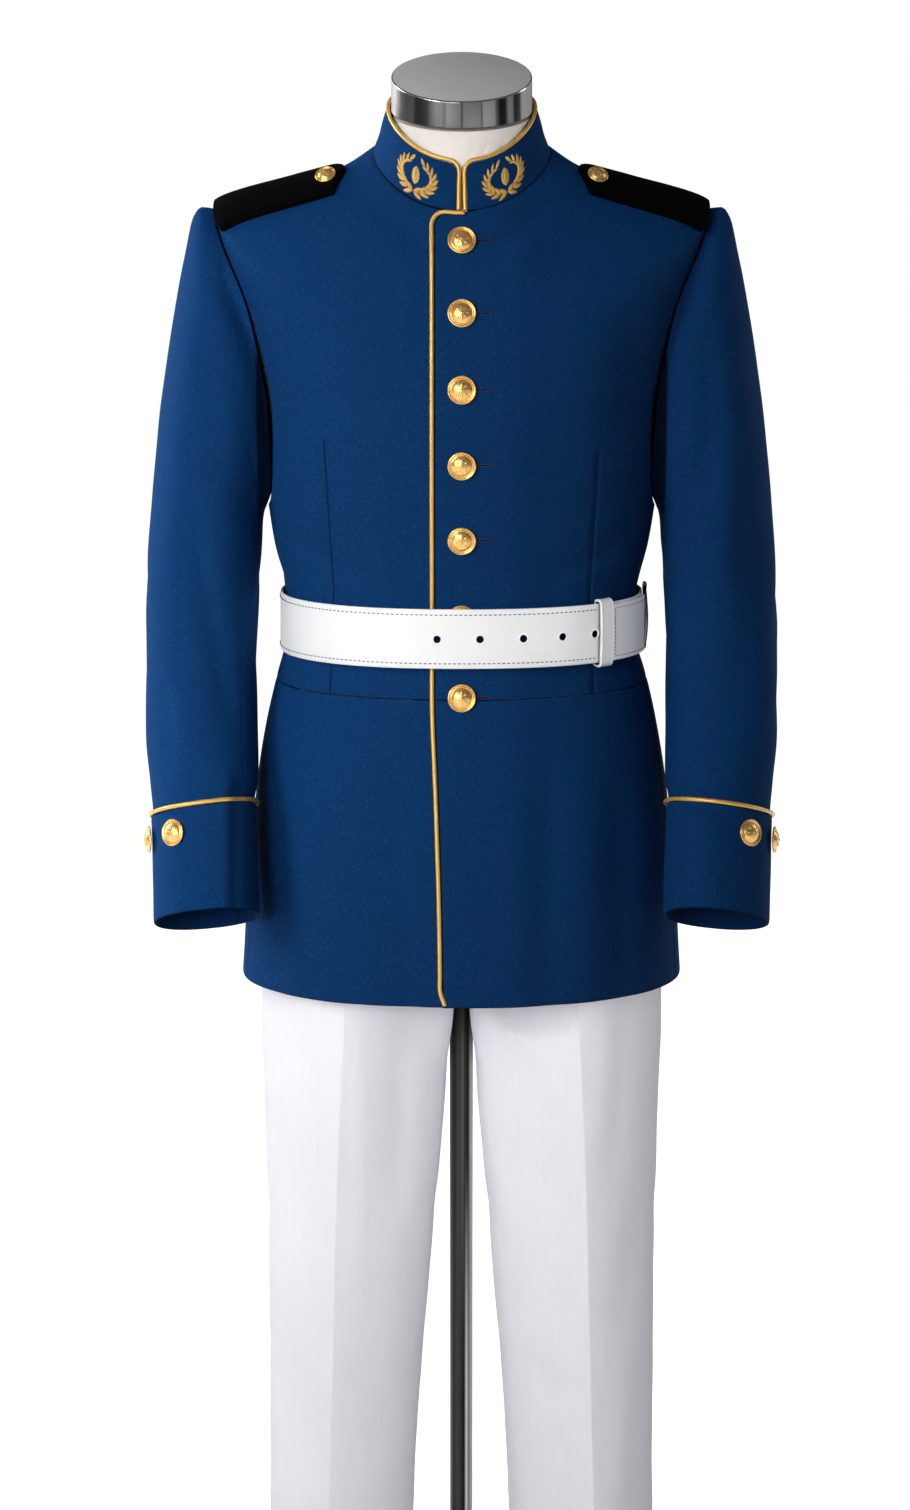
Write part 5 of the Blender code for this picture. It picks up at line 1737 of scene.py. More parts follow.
@dataclass(frozen=True)
class Plated(Finish):
    """Bright plate with painted reflections: the tones of the room round it laid on in upright bands."""

    bands: tuple[tuple[float, float], ...] = ((-90, 0.5), (90, 0.5))
    low_bands: tuple[tuple[float, float], ...] = ()
    # heights where the low bands give way to the upper ones, then where the painted shade darkens the plate
    # upward
    span: tuple[float, float, float, float] = (0.0, 1.0, 8.0, 9.0)
    centre: float = 0.0
    smooth: float = 0.10
    metal: float = 1.0

    def paint(self, board: Board) -> None:
        """Painted reflection bands by the direction round the upright axis, with fine polishing marks; with
        low bands, also a painted shade near the top of the span.

        Args:
            board: the board.
        """
        x, y, z = board.split()
        # painted reflection: a tone for each direction round the upright axis
        angle = board.maths("ARCTAN2", x, self.centre - y) * (0.5 / math.pi) + 0.5
        ramps = []
        for bands in filter(None, (self.bands, self.low_bands)):
            stops = [(0.5 + degrees / 360, (tone, tone * 0.97, tone * 0.95)) for degrees, tone in bands]
            ramps.append(board.node("ShaderNodeValToRGB", {"stops": stops}, {0: angle}).outputs[0])
        low, high, shade, dark = self.span
        colour = ramps[0]
        if self.low_bands:
            colour = board.mix(board.ease(z, low, high), ramps[1], colour)
            # painted shade: near black towards the top of the span, under the trousers' rise on the pole
            colour = board.mix(board.ease(z, shade, dark) * 0.85, colour, (0.006, 0.005, 0.0045))
        marks = board.noise(500.0, 2.0, 0.6, board.place((1, 1, 0.04)))
        smear = board.noise(30.0, 2.0)
        colour = board.mix(smear * 0.04, colour, (0.150, 0.148, 0.145))
        board.bump(marks, 0.00003, 0.3)
        board.set(Base_Color=colour, Metallic=self.metal, Specular_IOR_Level=0.08,
                  Roughness=board.ease(smear, 0.3, 0.7, self.smooth, self.smooth + 0.06))


@dataclass(frozen=True)
class Satin(Finish):
    """Plain satin metal with fine turning marks round the upright axis."""

    ground: Colour = (0.450, 0.450, 0.460)
    rough: float = 0.34
    centre: float = 0.0
    metal: float = 1.0

    def paint(self, board: Board) -> None:
        """Turning marks and faint smears.

        Args:
            board: the board.
        """
        x, y, _ = board.split()
        away = y - self.centre
        radius = (x * x + away * away) ** 0.5
        rings = board.wave(radius, 0.0009)
        smear = board.noise(22.0, 3.0, 0.6)
        colour = board.mix(rings * 0.25 + smear * 0.5, self.ground, toned(self.ground, 0.80))
        board.bump(rings, 0.00003, 0.25)
        board.set(Base_Color=colour, Metallic=self.metal,
                  Roughness=board.ease(smear, 0.3, 0.7, self.rough - 0.05, self.rough + 0.08))


@dataclass(frozen=True)
class Thread(Finish):
    """Twisted sewing thread."""

    ground: Colour = (0.700, 0.700, 0.700)

    def paint(self, board: Board) -> None:
        """Twist and lint.

        Args:
            board: the board.
        """
        lint = board.noise(2600.0, 2.0, 0.6)
        colour = board.mix(lint, toned(self.ground, 0.7), self.ground)
        board.bump(lint, 0.00008, 0.6)
        board.set(Base_Color=colour, Roughness=0.7, Specular_IOR_Level=0.1)


@dataclass(frozen=True)
class Enamel(Finish):
    """Glossy stove enamel, very slightly orange-peeled and chipped darker at random."""

    ground: Colour = (0.850, 0.850, 0.850)

    def paint(self, board: Board) -> None:
        """Peel and chips.

        Args:
            board: the board.
        """
        peel = board.noise(700.0, 2.0)
        chip = board.ease(board.noise(380.0, 3.0, 0.6), 0.68, 0.74)
        colour = board.mix(chip * 0.6, self.ground, (0.400, 0.390, 0.380))
        board.bump(peel, 0.00004, 0.4)
        board.set(Base_Color=colour, Roughness=board.ease(peel, 0.3, 0.7, 0.20, 0.30), Coat_Weight=0.3)


@dataclass(frozen=True)
class StudioPaper(Finish):
    """Plain white paper floor, faintly fibrous."""

    def paint(self, board: Board) -> None:
        """Fibres, and the glow of a lit sweep.

        Args:
            board: the board.
        """
        fibre = board.noise(90.0, 3.0)
        board.set(Base_Color=board.mix(fibre, (0.900, 0.900, 0.900), (0.940, 0.940, 0.940)), Roughness=0.9,
                  Emission_Color=(1.0, 1.0, 1.0), Emission_Strength=0.97)


WOOL = Wool("navy_wool")
# the sleeves' wool: painted shade where they lie against the body, and no seam shadow
SLEEVE_WOOL = Wool("navy_wool_sleeve", seam=0.0, shade=0.92)
# the fronts' wool, with painted shadow along the darts
DARTED_WOOL = Wool("navy_wool_with_darts", darts=(
    ((-0.1225, 1.3060), (-0.1150, 1.1700)), ((-0.1150, 1.1700), (-0.1190, 1.0755)),
    ((0.1215, 1.2960), (0.1150, 1.1700)), ((0.1150, 1.1700), (0.1190, 1.0755))))
GOLD_CORD = GoldBraid("gold_cord")
GOLD_THREAD = Bullion("gold_embroidery_thread")
GILT = Gilt("gold_button")
VELVET = Velvet("black_velvet")
WHITE_LEATHER = Leather("white_leather")
TWILL = Twill("white_twill")
FELLED_TWILL = Twill("white_twill_felled", felled=0.0085)
JERSEY = Jersey("form_linen")
# painted reflection: the room's tones round the cap, one tone per direction
CAP_SIDE = Plated("chrome_cap_side", centre=-0.020, smooth=0.36, metal=0.15, bands=(
    (-90, 0.60), (-72, 0.60), (-65, 0.150), (-60, 0.010), (-54, 0.010), (-49, 0.035), (-45, 0.050),
    (-41, 0.010),
    (-36, 0.012), (-30, 0.025), (-26, 0.090), (-22, 0.150), (-16, 0.140), (-14.5, 0.060), (-13, 0.180),
    (-1.5, 0.135), (0, 0.040), (1.5, 0.140), (15.5, 0.125), (17, 0.060), (18.5, 0.220), (28, 0.240),
    (30, 0.060),
    (31.5, 0.060), (33, 0.001), (39, 0.008), (42.5, 0.220), (46.5, 0.180), (48.5, 0.004), (56, 0.020),
    (58, 0.300), (73, 0.450)))
CAP_RIM = Satin("chrome_cap_rim", (0.900, 0.900, 0.900), 0.20, -0.020, 1.0)
CAP_TOP = Satin("chrome_cap_top", (0.740, 0.740, 0.742), 0.55, -0.020, 0.35)
# painted reflection round the pole, other bands low down, and painted shade under the trousers' rise
POLE_PLATE = Plated("chrome_pole", smooth=0.36, metal=0.15, span=(0.360, 0.630, 0.700, 0.770), bands=(
    (-90, 0.42), (-70, 0.280), (-58, 0.110), (-43, 0.025), (-26, 0.024), (-21, 0.050), (-17, 0.026),
    (-11, 0.045), (-3, 0.030), (3, 0.060), (8, 0.070), (14, 0.022), (21, 0.016), (29, 0.010), (36, 0.010),
    (41, 0.060), (47, 0.330), (56, 0.450), (77, 0.500)), low_bands=(
    (-90, 0.50), (-68, 0.300), (-56, 0.100), (-40, 0.022), (-26, 0.040), (-14, 0.028), (-3, 0.022),
    (8, 0.002),
    (14, 0.003), (18, 0.060), (23, 0.450), (30, 0.580), (35, 0.260), (41, 0.180), (50, 0.400), (77, 0.500)))
STEEL = Satin("brushed_steel")
FOOT_PLATE = Satin("chrome_foot", (0.600, 0.600, 0.610), 0.16)
DARK_METAL = Satin("dark_metal", (0.160, 0.160, 0.168), 0.22)
RIM_ENAMEL = Enamel("white_enamel")
# stitch thread darkened with the painted shade of the holes that it sinks into
BELT_THREAD_WITH_SHADE = Thread("belt_thread", (0.120, 0.117, 0.115))
# the leather's flesh side, darkened to near black as painted shade in the gap under the keeper
LEATHER_BACK_WITH_SHADE = Thread("belt_leather_back", (0.045, 0.036, 0.030))
HOLE_THREAD = Thread("buttonhole_thread", (0.060, 0.070, 0.150))
# near-black cord laid as painted shadow in the buttonhole slits and along the collar seam
SHADOW_CORD = Thread("buttonhole_slit", (0.0010, 0.0030, 0.0120))


# ---------------------------------------------------------------- sub-assemblies
def placed(name: str, data: bpy.types.ID) -> bpy.types.Object:
    """Put an object in the scene, at the origin.

    Args:
        name: its name.
        data: its mesh, light or camera.

    Returns:
        The object.
    """
    item = bpy.data.objects.new(name, data)
    bpy.context.scene.collection.objects.link(item)
    return item


def finished(name: str, mesh: bpy.types.Mesh, finish: Finish, slot: str, stands_for: str | None = None,
             second: Finish | None = None) -> bpy.types.Object:
    """Put a finished mesh in the scene as a piece of the uniform.

    Args:
        name: the piece's name.
        mesh: its mesh, in place.
        finish: its finish.
        slot: the record's material slot.
        stands_for: the solid that it replaces, if it does.
        second: a second finish, for the faces that ask for it.

    Returns:
        The piece.
    """
    piece = placed(name, mesh)
    mesh.materials.clear()
    mesh.materials.append(finish.material())
    if second:
        mesh.materials.append(second.material())
    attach(piece, "root")
    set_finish(piece, slot)
    if stands_for:
        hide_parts(stands_for)
    log.info("%s: %d faces", name, len(mesh.polygons))
    return piece


def flipped(points: Array, flip: bool) -> Array:
    """The same points, on the wearer's right if asked."""
    return points * (-1, 1, 1) if flip else points


SIDES = (("left", False), ("right", True))


@dataclass
class Tunic:
    """The tunic's body, sleeves, cuffs and collar, all in wool."""

    pitch: float = 0.0040
    collar_edge: float = 0.0048
    collar_corner: float = 0.0080
    collar_wall: float = 0.0025
    collar_high: float = 0.0415
    cuff_wall: float = CUFF_WALL
    underlap: float = 0.028
    front_bend: float = 58.0
    tuck: float = 4.0
    back_bend: float = 122.0
    front_seam: float = 140.0
    back_seam: float = BACK_SEAM
    sleeve_end: float = 11.22

    def wall(self) -> Wall:
        """The wall of the body's cloth."""
        return Wall(CLOTH, 0.0, BODY_RELIEF)

    def panel(self, low: float, high: float, start: Callable[[Array], Array], bend: float,
              end: Callable[[Array], Array]) -> tuple[Array, Array]:
        """Cells of a body panel.

        Args:
            low: the level of its lower edge.
            high: the level of its upper edge.
            start: degrees of its first edge by level.
            bend: degrees of the line that its columns keep to in between.
            end: degrees of its last edge.

        Returns:
            The level and the degrees of each cell corner.
        """
        level = levels_up(TUNIC, low, high, 25.0 if bend < 100 else 155.0, self.pitch)
        if low < UNDERARM < high:
            steep = UNDERARM + np.array([0.004, 0.012, 0.028, 0.06, 0.1, 0.16, 0.22])
            top = SHOULDER_TIP - np.array([0.004, 0.014, 0.035, 0.08, 0.14])
            level = np.unique(np.concatenate([level, steep, top, [UNDERARM, SHOULDER_TIP]]))
            level = level[np.concatenate([[True], np.diff(level) > 1e-4])]
        first, last = start(level), end(level)
        middle = float(np.median(level))
        wide = [lengths(TUNIC.point(np.full(60, middle), np.linspace(a, b, 60)))[-1]
                for a, b in ((float(np.median(first)), bend), (bend, float(np.median(last))))]
        one, two = spaced(wide[0], self.pitch, last=False), spaced(wide[1], self.pitch, first=False)[1:]
        across = np.concatenate([first[:, None] + (bend - first)[:, None] * one,
                                 bend + (last - bend)[:, None] * two], axis=1)
        return np.broadcast_to(level[:, None], across.shape).copy(), across

    def seam(self, level: Array) -> Array:
        """Half a seam's width as degrees round the body."""
        return np.degrees(SEAM / 2 / BODY.at(level)["front"])

    def lap_angle(self, level: Array) -> Array:
        """Degrees of the lapped edge."""
        x = LAP.edge_at(level)
        return BODY.angle_at_x(LAP.level_on(level, x), x)

    def back_edge(self, level: Array) -> Array:
        """Degrees where a back ends; near the shoulder it tucks a little under the sleeve's head."""
        tuck = smooth((level - SHOULDER_TIP + 0.75) / 0.25) * (level <= SHOULDER_TIP)
        return SLEEVE.back_limit(level) + self.seam(level) - self.tuck * tuck

    def build_body(self) -> None:
        """Cut the two fronts, the two backs and the four skirts."""
        gap = 0.006
        parts = (("front", WAIST_SEAM + gap, NECK_SEAM, DARTED_WOOL, (0.290, 0.500), 0.114),
                 ("skirt_front", 0.0, WAIST_SEAM - gap, WOOL, (0.260, 0.285), 0.070))
        for part, low, high, finish, flat, area in parts:
            end = lambda v: SLEEVE.front_limit(v) - self.seam(v)
            cells = self.panel(low, high, self.lap_angle, self.front_bend, end)
            mesh = self.wall().build(part + "_left_cloth", LAP, *cells, False)
            self.declare(mesh, part + "_left", finish, area)
            inner = lambda v: BODY.angle_at_x(v, -self.underlap)
            cells = self.panel(low, high, inner, self.front_bend, end)
            mesh = self.wall().build(part + "_right_cloth", TUNIC, *cells, True)
            self.declare(mesh, part + "_right", finish, area * 1.02)
        for part, low, high, flat, area in (("back", WAIST_SEAM + gap, NECK_SEAM, (0.270, 0.510), 0.111),
                                            ("skirt_back", 0.0, WAIST_SEAM - gap, (0.310, 0.285), 0.085)):
            cells = self.panel(low, high, self.back_edge, self.back_bend,
                               lambda v: 180 - self.seam(v))
            for side, flip in SIDES:
                mesh = self.wall().build(f"{part}_{side}_cloth", TUNIC, *cells, flip)
                self.declare(mesh, f"{part}_{side}", WOOL, area)

    def declare(self, mesh: bpy.types.Mesh, node: str, finish: Finish, area: float) -> None:
        """Finish a cut piece in place of the solid that it stands for."""
        piece = finished(node + "_piece", mesh, finish, "navy_wool", node)

    def build_sleeves(self) -> None:
        """Cut the two-piece sleeves and their deep cuffs."""
        level = levels_up(SLEEVE, self.sleeve_end, 0, 40.0, self.pitch)
        spans = (("top_sleeve", self.back_seam - 360, self.front_seam, 0.265, (0.270, 0.660), 0.151),
                 ("under_sleeve", self.front_seam, self.back_seam, 0.105, (0.110, 0.460), 0.036))
        for part, first, last, wide, flat, area in spans:
            around = first - 0.15 + (last - first + 0.3) * spaced(wide, self.pitch)
            rows, columns = np.meshgrid(level, around[::-1], indexing="ij")
            for side, flip in SIDES:
                wall = Wall(CLOTH, 0.0, SLEEVE_RELIEF)
                mesh = wall.build(f"{part}_{side}_cloth", SLEEVE, rows, columns, flip)
                self.declare(mesh, f"{part}_{side}", SLEEVE_WOOL, area)
        round_it = np.linspace(self.back_seam, self.back_seam - 360, 122)[:-1]
        rows, columns = np.meshgrid(12.0 - spaced(0.097, 0.0030), round_it, indexing="ij")
        wall = Wall(self.cuff_wall, self.cuff_wall + CLEAR, SLEEVE_RELIEF, ring=True)
        for side, flip in SIDES:
            mesh = wall.build(f"cuff_{side}_cloth", SLEEVE, rows, columns, flip)
            self.declare(mesh, f"cuff_{side}", WOOL, 0.0355)

    def corner(self, away: Array) -> Array:
        """Share of the collar's height at a distance from its front edge, for the round corner.

        Args:
            away: the distance.

        Returns:
            The share of the height.
        """
        short = 1 - np.minimum(away / self.collar_corner, 1)
        return 1 - self.collar_corner * fall(short) / self.collar_high

    def collar_columns(self) -> tuple[Array, Array]:
        """Columns of the collar.

        Returns:
            The degrees of each, and the share of the collar's height that it reaches.
        """
        away = self.collar_corner * np.array([0, 0.03, 0.08, 0.16, 0.28, 0.42, 0.58, 0.78, 1.0])
        first = STAND.sections.angle_at_x(2.0, self.collar_edge + away)
        middle = np.linspace(first[-1], 360 - first[-1], 186)[1:-1]
        high = self.corner(away)
        degrees = np.concatenate([first, middle, 360 - first[::-1]])
        return degrees, np.concatenate([high, np.ones_like(middle), high[::-1]])

    def build_collar(self) -> None:
        """Cut the stand collar in one band, and lay a near-black cord along its seam as painted shadow."""
        degrees, high = self.collar_columns()
        rows = 3 * spaced(0.042, 0.0026)[:, None] * high
        wall = Wall(self.collar_wall, 0.0, PLAIN, 0.0001)
        mesh = wall.build("collar_cloth", STAND, rows, np.broadcast_to(degrees, rows.shape).copy(), False)
        self.declare(mesh, "collar", WOOL, 0.0192)
        # painted shadow along the collar seam: a thin near-black cord
        around = np.linspace(degrees[0], degrees[-1], 181)
        seam = np.array([STAND.out(0.0, a, -0.0004) - (0, 0, 0.0004) for a in around])
        finished("collar_seam_painted_shadow", cord_mesh("collar_seam", seam, 0.0006, sides=6), SHADOW_CORD,
                 "navy_wool")


@dataclass
class Trim:
    """Piping, buttons and buttonholes, shoulder boards, and the collar's sprigs."""

    front_out: float = PIPING + 0.0004
    collar_piping: float = 0.0018
    button_radius: float = 0.0127
    button_rise: float = 0.0072
    cuff_radius: float = 0.0122
    board_radius: float = 0.0095
    button_heights: tuple[float, ...] = (1.4820, 1.4205, 1.3550, 1.2885, 1.2210, 1.1488, 1.0775)
    cuff_places: tuple[Pair, ...] = ((62, -0.0006), (17, 0.0016))
    board_half: float = 0.0300
    board_thick: float = 0.0048
    board_long: float = 0.136
    board_corner: float = 0.0025
    board_edge: float = 0.0020
    board_middle: float = -0.0120
    board_levels: Pair = (11.07, 12.66)
    board_point: float = 0.32
    board_bend: float = 0.60           # how much of the shoulder's curve a board takes
    board_button: Pair = (12.36, -0.0200)
    wreath: Pair = (0.0184, 0.0126)

    def relieved(self, surface: Surface, level: Array, across: Array, way: Array | float,
                 flip: bool = False) -> tuple[Array, Array]:
        """Places off the tunic's folded cloth.

        Args:
            surface: the cloth's surface.
            level: the levels.
            across: the places across.
            way: how far off the cloth.
            flip: whether they are on the wearer's right.

        Returns:
            The points and the outward normals.
        """
        level, across = np.broadcast_arrays(np.asarray(level, float), np.asarray(across, float))
        points = flipped(surface.point(level, across), flip)
        normals = flipped(surface.normal(level, across), flip)
        relief = SLEEVE_RELIEF if surface is SLEEVE else WOOL_RELIEF
        up = relief.height(points, normals) + way
        return points + normals * up[..., None], normals

    def over_front(self, x: float, z: float, way: float) -> Array:
        """Place off the front at x and, near the middle, at a height."""
        level = BODY.level_of("z_front", z, 0, NECK_SEAM + 0.3)
        return self.relieved(TUNIC, np.array([level]), BODY.angle_at_x(level, x)[None], way)[0][0]

    def build_piping(self) -> None:
        """Lay the piping of the front, the collar and the cuffs."""
        gap, corner = self.front_out, LAP.corner
        top = float(BODY.at(NECK_SEAM - LAP.drop)["z_front"])
        path = [self.over_front(x, top + gap, gap) for x in (0.0010, -0.0055, LAP.edge + corner)]
        for turn in (15, 30, 45, 60, 75):
            reach = corner + gap
            x = LAP.edge + corner - reach * math.sin(math.radians(turn))
            path.append(self.over_front(x, top - corner + reach * math.cos(math.radians(turn)), gap))
        first = BODY.level_of("z_front", top - corner, 11, NECK_SEAM)
        level = np.linspace(first, 0.03, 130)
        down = self.relieved(TUNIC, level, BODY.angle_at_x(level, LAP.edge_at(level) - gap), gap)[0]
        toe = np.clip(1 - (down[:, 2] - down[-1, 2]) / 0.0060, 0, 1)
        down[:, 0] += 0.0040 * fall(toe)
        path = np.concatenate([path, down])
        finished("front_piping_piece", cord_mesh("front_piping_cord", path, PIPING), GOLD_CORD, "gold_cord",
                 "front_piping")
        self.build_collar_piping()
        around = np.linspace(BACK_SEAM, BACK_SEAM - 360, 91)[:-1]
        off = CUFF_WALL / 2 + CLEAR + PIPING * 0.8
        for side, flip in SIDES:
            ring = self.relieved(SLEEVE, np.full_like(around, 11.0), around, off, flip)[0]
            ring = ring + (0, 0, PIPING + 0.0003)
            mesh = cord_mesh(f"cuff_piping_{side}_cord", ring, PIPING, closed=True)
            finished(f"cuff_piping_{side}_piece", mesh, GOLD_CORD, "gold_cord", f"cuff_piping_{side}")

    def build_collar_piping(self) -> None:
        """Lay the piping along the collar's front edges and its top."""
        tunic = Tunic()
        degrees, high = tunic.collar_columns()
        away, middle = self.collar_piping + 0.0005, -tunic.collar_wall / 2
        path = [STAND.out(level, degrees[0], middle) - (away, 0, 0) for level in (0.12, 0.6, 1.2, 1.8)]
        for a, share in zip(degrees[:9], high[:9]):
            spot = STAND.out(3 * share, a, middle)
            short = 1 - (float(STAND.point(np.array(3 * share), np.array(a))[0]) - tunic.collar_edge) \
                / tunic.collar_corner
            turn = math.asin(min(max(short, 0.0), 1.0))
            path.append(spot + (-away * math.sin(turn), 0, away * math.cos(turn)))
        path += [STAND.out(3.0, a, middle) + (0, 0, away) for a in np.linspace(degrees[12], 176, 50)]
        half = np.array(path)
        back = STAND.out(3.0, 180.0, middle) + (0, 0, away)
        whole = np.concatenate([half, [back], half[::-1] * (-1, 1, 1)])
        mesh = cord_mesh("collar_piping_cord", whole, self.collar_piping)
        finished("collar_piping_piece", mesh, GOLD_CORD, "gold_cord", "collar_piping")

    def button_mesh(self) -> bpy.types.Mesh:
        """Turn one domed button with a rim, an inner ring and a rosette of eight petals.

        Returns:
            The mesh, standing at the origin.
        """
        r, h = self.button_radius, self.button_rise
        shares = ((0.30, 0), (0.30, 0.12), (0.94, 0.16), (1.0, 0.24), (1.0, 0.33), (0.98, 0.40),
                  (0.94, 0.445),
                  (0.895, 0.42), (0.870, 0.355), (0.845, 0.35), (0.825, 0.415), (0.795, 0.445), (0.765, 0.42),
                  (0.745, 0.375), (0.720, 0.39), (0.68, 0.475), (0.60, 0.605), (0.50, 0.715), (0.38, 0.805),
                  (0.25, 0.870), (0.12, 0.905), (0.0, 0.910))
        pieces = [BENCH.turned([(a * r, b * h) for a, b in shares], 48)]
        for k in range(8):
            petal = BENCH.bean((0.185 * r, 0.085 * r, 0.075 * h), (0.335 * r, 0, 0.835 * h), 10, 6)
            tilt = Matrix.Rotation(math.radians(45 * k), 4, "Z") @ Matrix.Rotation(math.radians(6), 4, "Y")
            petal.data.transform(tilt)
            pieces.append(petal)
            if k % 2 == 0:
                bead = BENCH.bean((0.035 * r, 0.035 * r, 0.05 * h), (0.60 * r, 0, 0.62 * h), 8, 5)
                bead.data.transform(Matrix.Rotation(math.radians(45 * k + 22.5), 4, "Z"))
                pieces.append(bead)
        pieces.append(BENCH.bean((0.11 * r, 0.11 * r, 0.10 * h), (0, 0, 0.90 * h), 12, 8))
        return BENCH.take(BENCH.join(pieces), 60)

    def seat(self, model: bpy.types.Mesh, node: str, point: Array, out: Array, size: float) -> None:
        """Set a copy of the button on a point, scaled to its size.

        Args:
            model: the button's mesh.
            node: the node that the copy stands for.
            point: where its back sits.
            out: the way that it faces.
            size: its size by the model's.
        """
        mesh = model.copy()
        mesh.transform(upright(point, out, (1, 0, 0.02)) @ Matrix.Scale(size, 4))
        finished(node + "_piece", mesh, GILT, "gold_button", node)

    def build_buttons(self) -> None:
        """Set the front, cuff and board buttons."""
        model = self.button_mesh()
        for number, z in enumerate(self.button_heights, start=1):
            level = BODY.level_of("z_front", z, 0, NECK_SEAM)
            points, outs = self.relieved(TUNIC, np.array([level]), np.array([0.0001]), LAP.rise + 0.0003)
            self.seat(model, f"front_button_{number}", points[0], outs[0], 1.0)
        for side, flip in SIDES:
            for number, (degrees, off) in enumerate(self.cuff_places, start=1):
                points, outs = self.relieved(SLEEVE, np.array([11.30]), np.array([float(degrees)]),
                                             0.0024 + off, flip)
                self.seat(model, f"cuff_button_{side}_{number}", points[0], outs[0],
                          self.cuff_radius / self.button_radius)
            level, y = self.board_button
            angle = BODY.angle_at_y(level, y)
            point = flipped(TUNIC.out(level, angle, self.board_thick + 0.0011), flip)
            out = flipped(TUNIC.normal(np.array(level), angle), flip) + (0, -0.30, 0)
            out = out / np.linalg.norm(out)
            self.seat(model, f"board_button_{side}", point, out, self.board_radius / self.button_radius)

    def build_buttonholes(self) -> None:
        """Work a buttonhole beside each front button: two purled edges and a bar, with a near-black cord as
        painted shadow in the slit between the edges.
        """
        threads, slit_shadows = [], []
        for z in self.button_heights:
            level = BODY.level_of("z_front", z, 0, NECK_SEAM)
            across = BODY.angle_at_x(level, np.linspace(0.0105, 0.0252, 9))
            line, outs = self.relieved(LAP, np.full(9, level), across, 0.0)
            # a painted shadow cord down each slit
            slit_shadows.append(line[:-1] + outs[:-1] * 0.00005)
            for up in (-0.00085, 0.00085):
                threads.append(line + outs * 0.0001 + (0, 0, up))
            threads.append(line[-1] + outs[-1] * 0.0003 + np.linspace(-1, 1, 5)[:, None] * (0, 0, 0.0018))
        for name, paths, radius, finish in (("buttonhole_threads", threads, 0.00040, HOLE_THREAD),
                                            ("buttonhole_slit_shadows", slit_shadows, 0.00055, SHADOW_CORD)):
            pieces = [placed(name, cord_mesh(name, path, radius, sides=6, pitch=0.0008)) for path in paths]
            mesh = BENCH.join(pieces).data.copy()
            bpy.data.objects.remove(pieces[0])
            finished(name, mesh, finish, "navy_wool")

    def build_boards(self) -> None:
        """Make the padded shoulder boards: rounded edges, a sewn channel round the rim, a blunt point."""
        edge = (0.0003, 0.0008, 0.0014, 0.0021, 0.0027, 0.0031, 0.0035, 0.0041, 0.0052)
        wide, long = self.board_half * 2, self.board_long
        y = (spaced(wide, 0.0016, edge=edge) - 0.5) * wide
        share = spaced(long, 0.0020, edge=edge)
        blunt = np.maximum(np.abs(y), 0.005)
        last = self.board_levels[1] - self.board_point * blunt / self.board_half
        corner = self.board_corner
        over = np.clip(np.abs(y) - (self.board_half - corner), 0, corner)
        per_metre = (self.board_levels[1] - self.board_levels[0]) / long
        forward = np.clip((-y - self.board_middle) / self.board_half, 0, 1)
        first = self.board_levels[0] - 0.06 * forward + per_metre * corner * fall(over / corner)
        level = first + (last - first) * share[:, None]
        across = BODY.angle_at_y(level, y + self.board_middle)
        away = np.minimum((self.board_half - np.abs(y))[None], np.minimum(share, 1 - share)[:, None] * long)
        near = np.clip(away / self.board_edge, 0, 1)
        drop = self.board_edge * fall(1 - near)
        channel = 0.00055 * np.exp(-((away - 0.0031) / 0.00045) ** 2)
        crown = 0.00035 * smooth(away / 0.014)
        lift = self.board_thick + 0.0008
        base, normals = TUNIC.point(level, across), TUNIC.normal(level, across)
        chord = base[:1] + (base[-1:] - base[:1]) * share[:, None, None]
        base = chord + (base - chord) * self.board_bend
        for side, flip in SIDES:
            points, outs = flipped(base, flip), flipped(normals, flip)
            if flip:
                points, outs = points[:, ::-1], outs[:, ::-1]
            top = points + outs * (lift + crown - 0.0004 - drop - channel)[..., None]
            under = points + outs * (lift - self.board_thick + drop * 0.25)[..., None]
            draft = Draft()
            draft.shell(top, under, np.stack(np.broadcast_arrays(y[None], share[:, None] * long), axis=-1))
            piece = finished(f"shoulder_board_{side}_piece", draft.mesh("board", 55), VELVET, "black_velvet",
                             f"shoulder_board_{side}")

    def leaf(self, long: float, wide: float, high: float) -> Draft:
        """One embroidered leaf, pointed at both ends, along X at the origin.

        Args:
            long: its length.
            wide: its width.
            high: how far it stands up.

        Returns:
            The leaf's draft.
        """
        along = np.linspace(0, 1, 8)[:, None]
        across = np.linspace(-1, 1, 5)[None]
        half = wide / 2 * np.sin(math.pi * along ** 0.85) ** 0.8
        x, y = np.broadcast_arrays(along * long, across * half)
        rib = 1 - 0.28 * np.exp(-(across / 0.3) ** 2)
        z = high * (1 - across ** 2) * rib * np.sin(math.pi * along) ** 0.5 - 0.0001
        draft = Draft()
        grid = draft.add(np.stack(np.broadcast_arrays(x, y, z), axis=-1))
        draft.skin(grid.T[::-1].T, np.stack([y, x], axis=-1)[:, ::-1])
        return draft

    def sprig(self, turn: float) -> list[tuple[float, float, float, float]]:
        """Leaves of one sprig.

        Args:
            turn: 1 for the sprig on the right of its wreath, -1 for the left.

        Returns:
            Place across, place up, direction in degrees and size of each leaf.
        """
        leaves = []
        for k in range(8):
            at = math.radians(-88 + 19.0 * k)
            x, y = self.wreath[0] * math.cos(at), self.wreath[1] * math.sin(at)
            way = math.degrees(math.atan2(math.cos(at), -math.sin(at)))
            size = 1.02 - 0.032 * k
            leaves.append((turn * x, y, way - 29, size))
            leaves.append((turn * x, y, way + 31, size * 0.88))
        at = math.radians(62)
        leaves.append((turn * self.wreath[0] * math.cos(at), self.wreath[1] * math.sin(at), 128, 0.86))
        return leaves

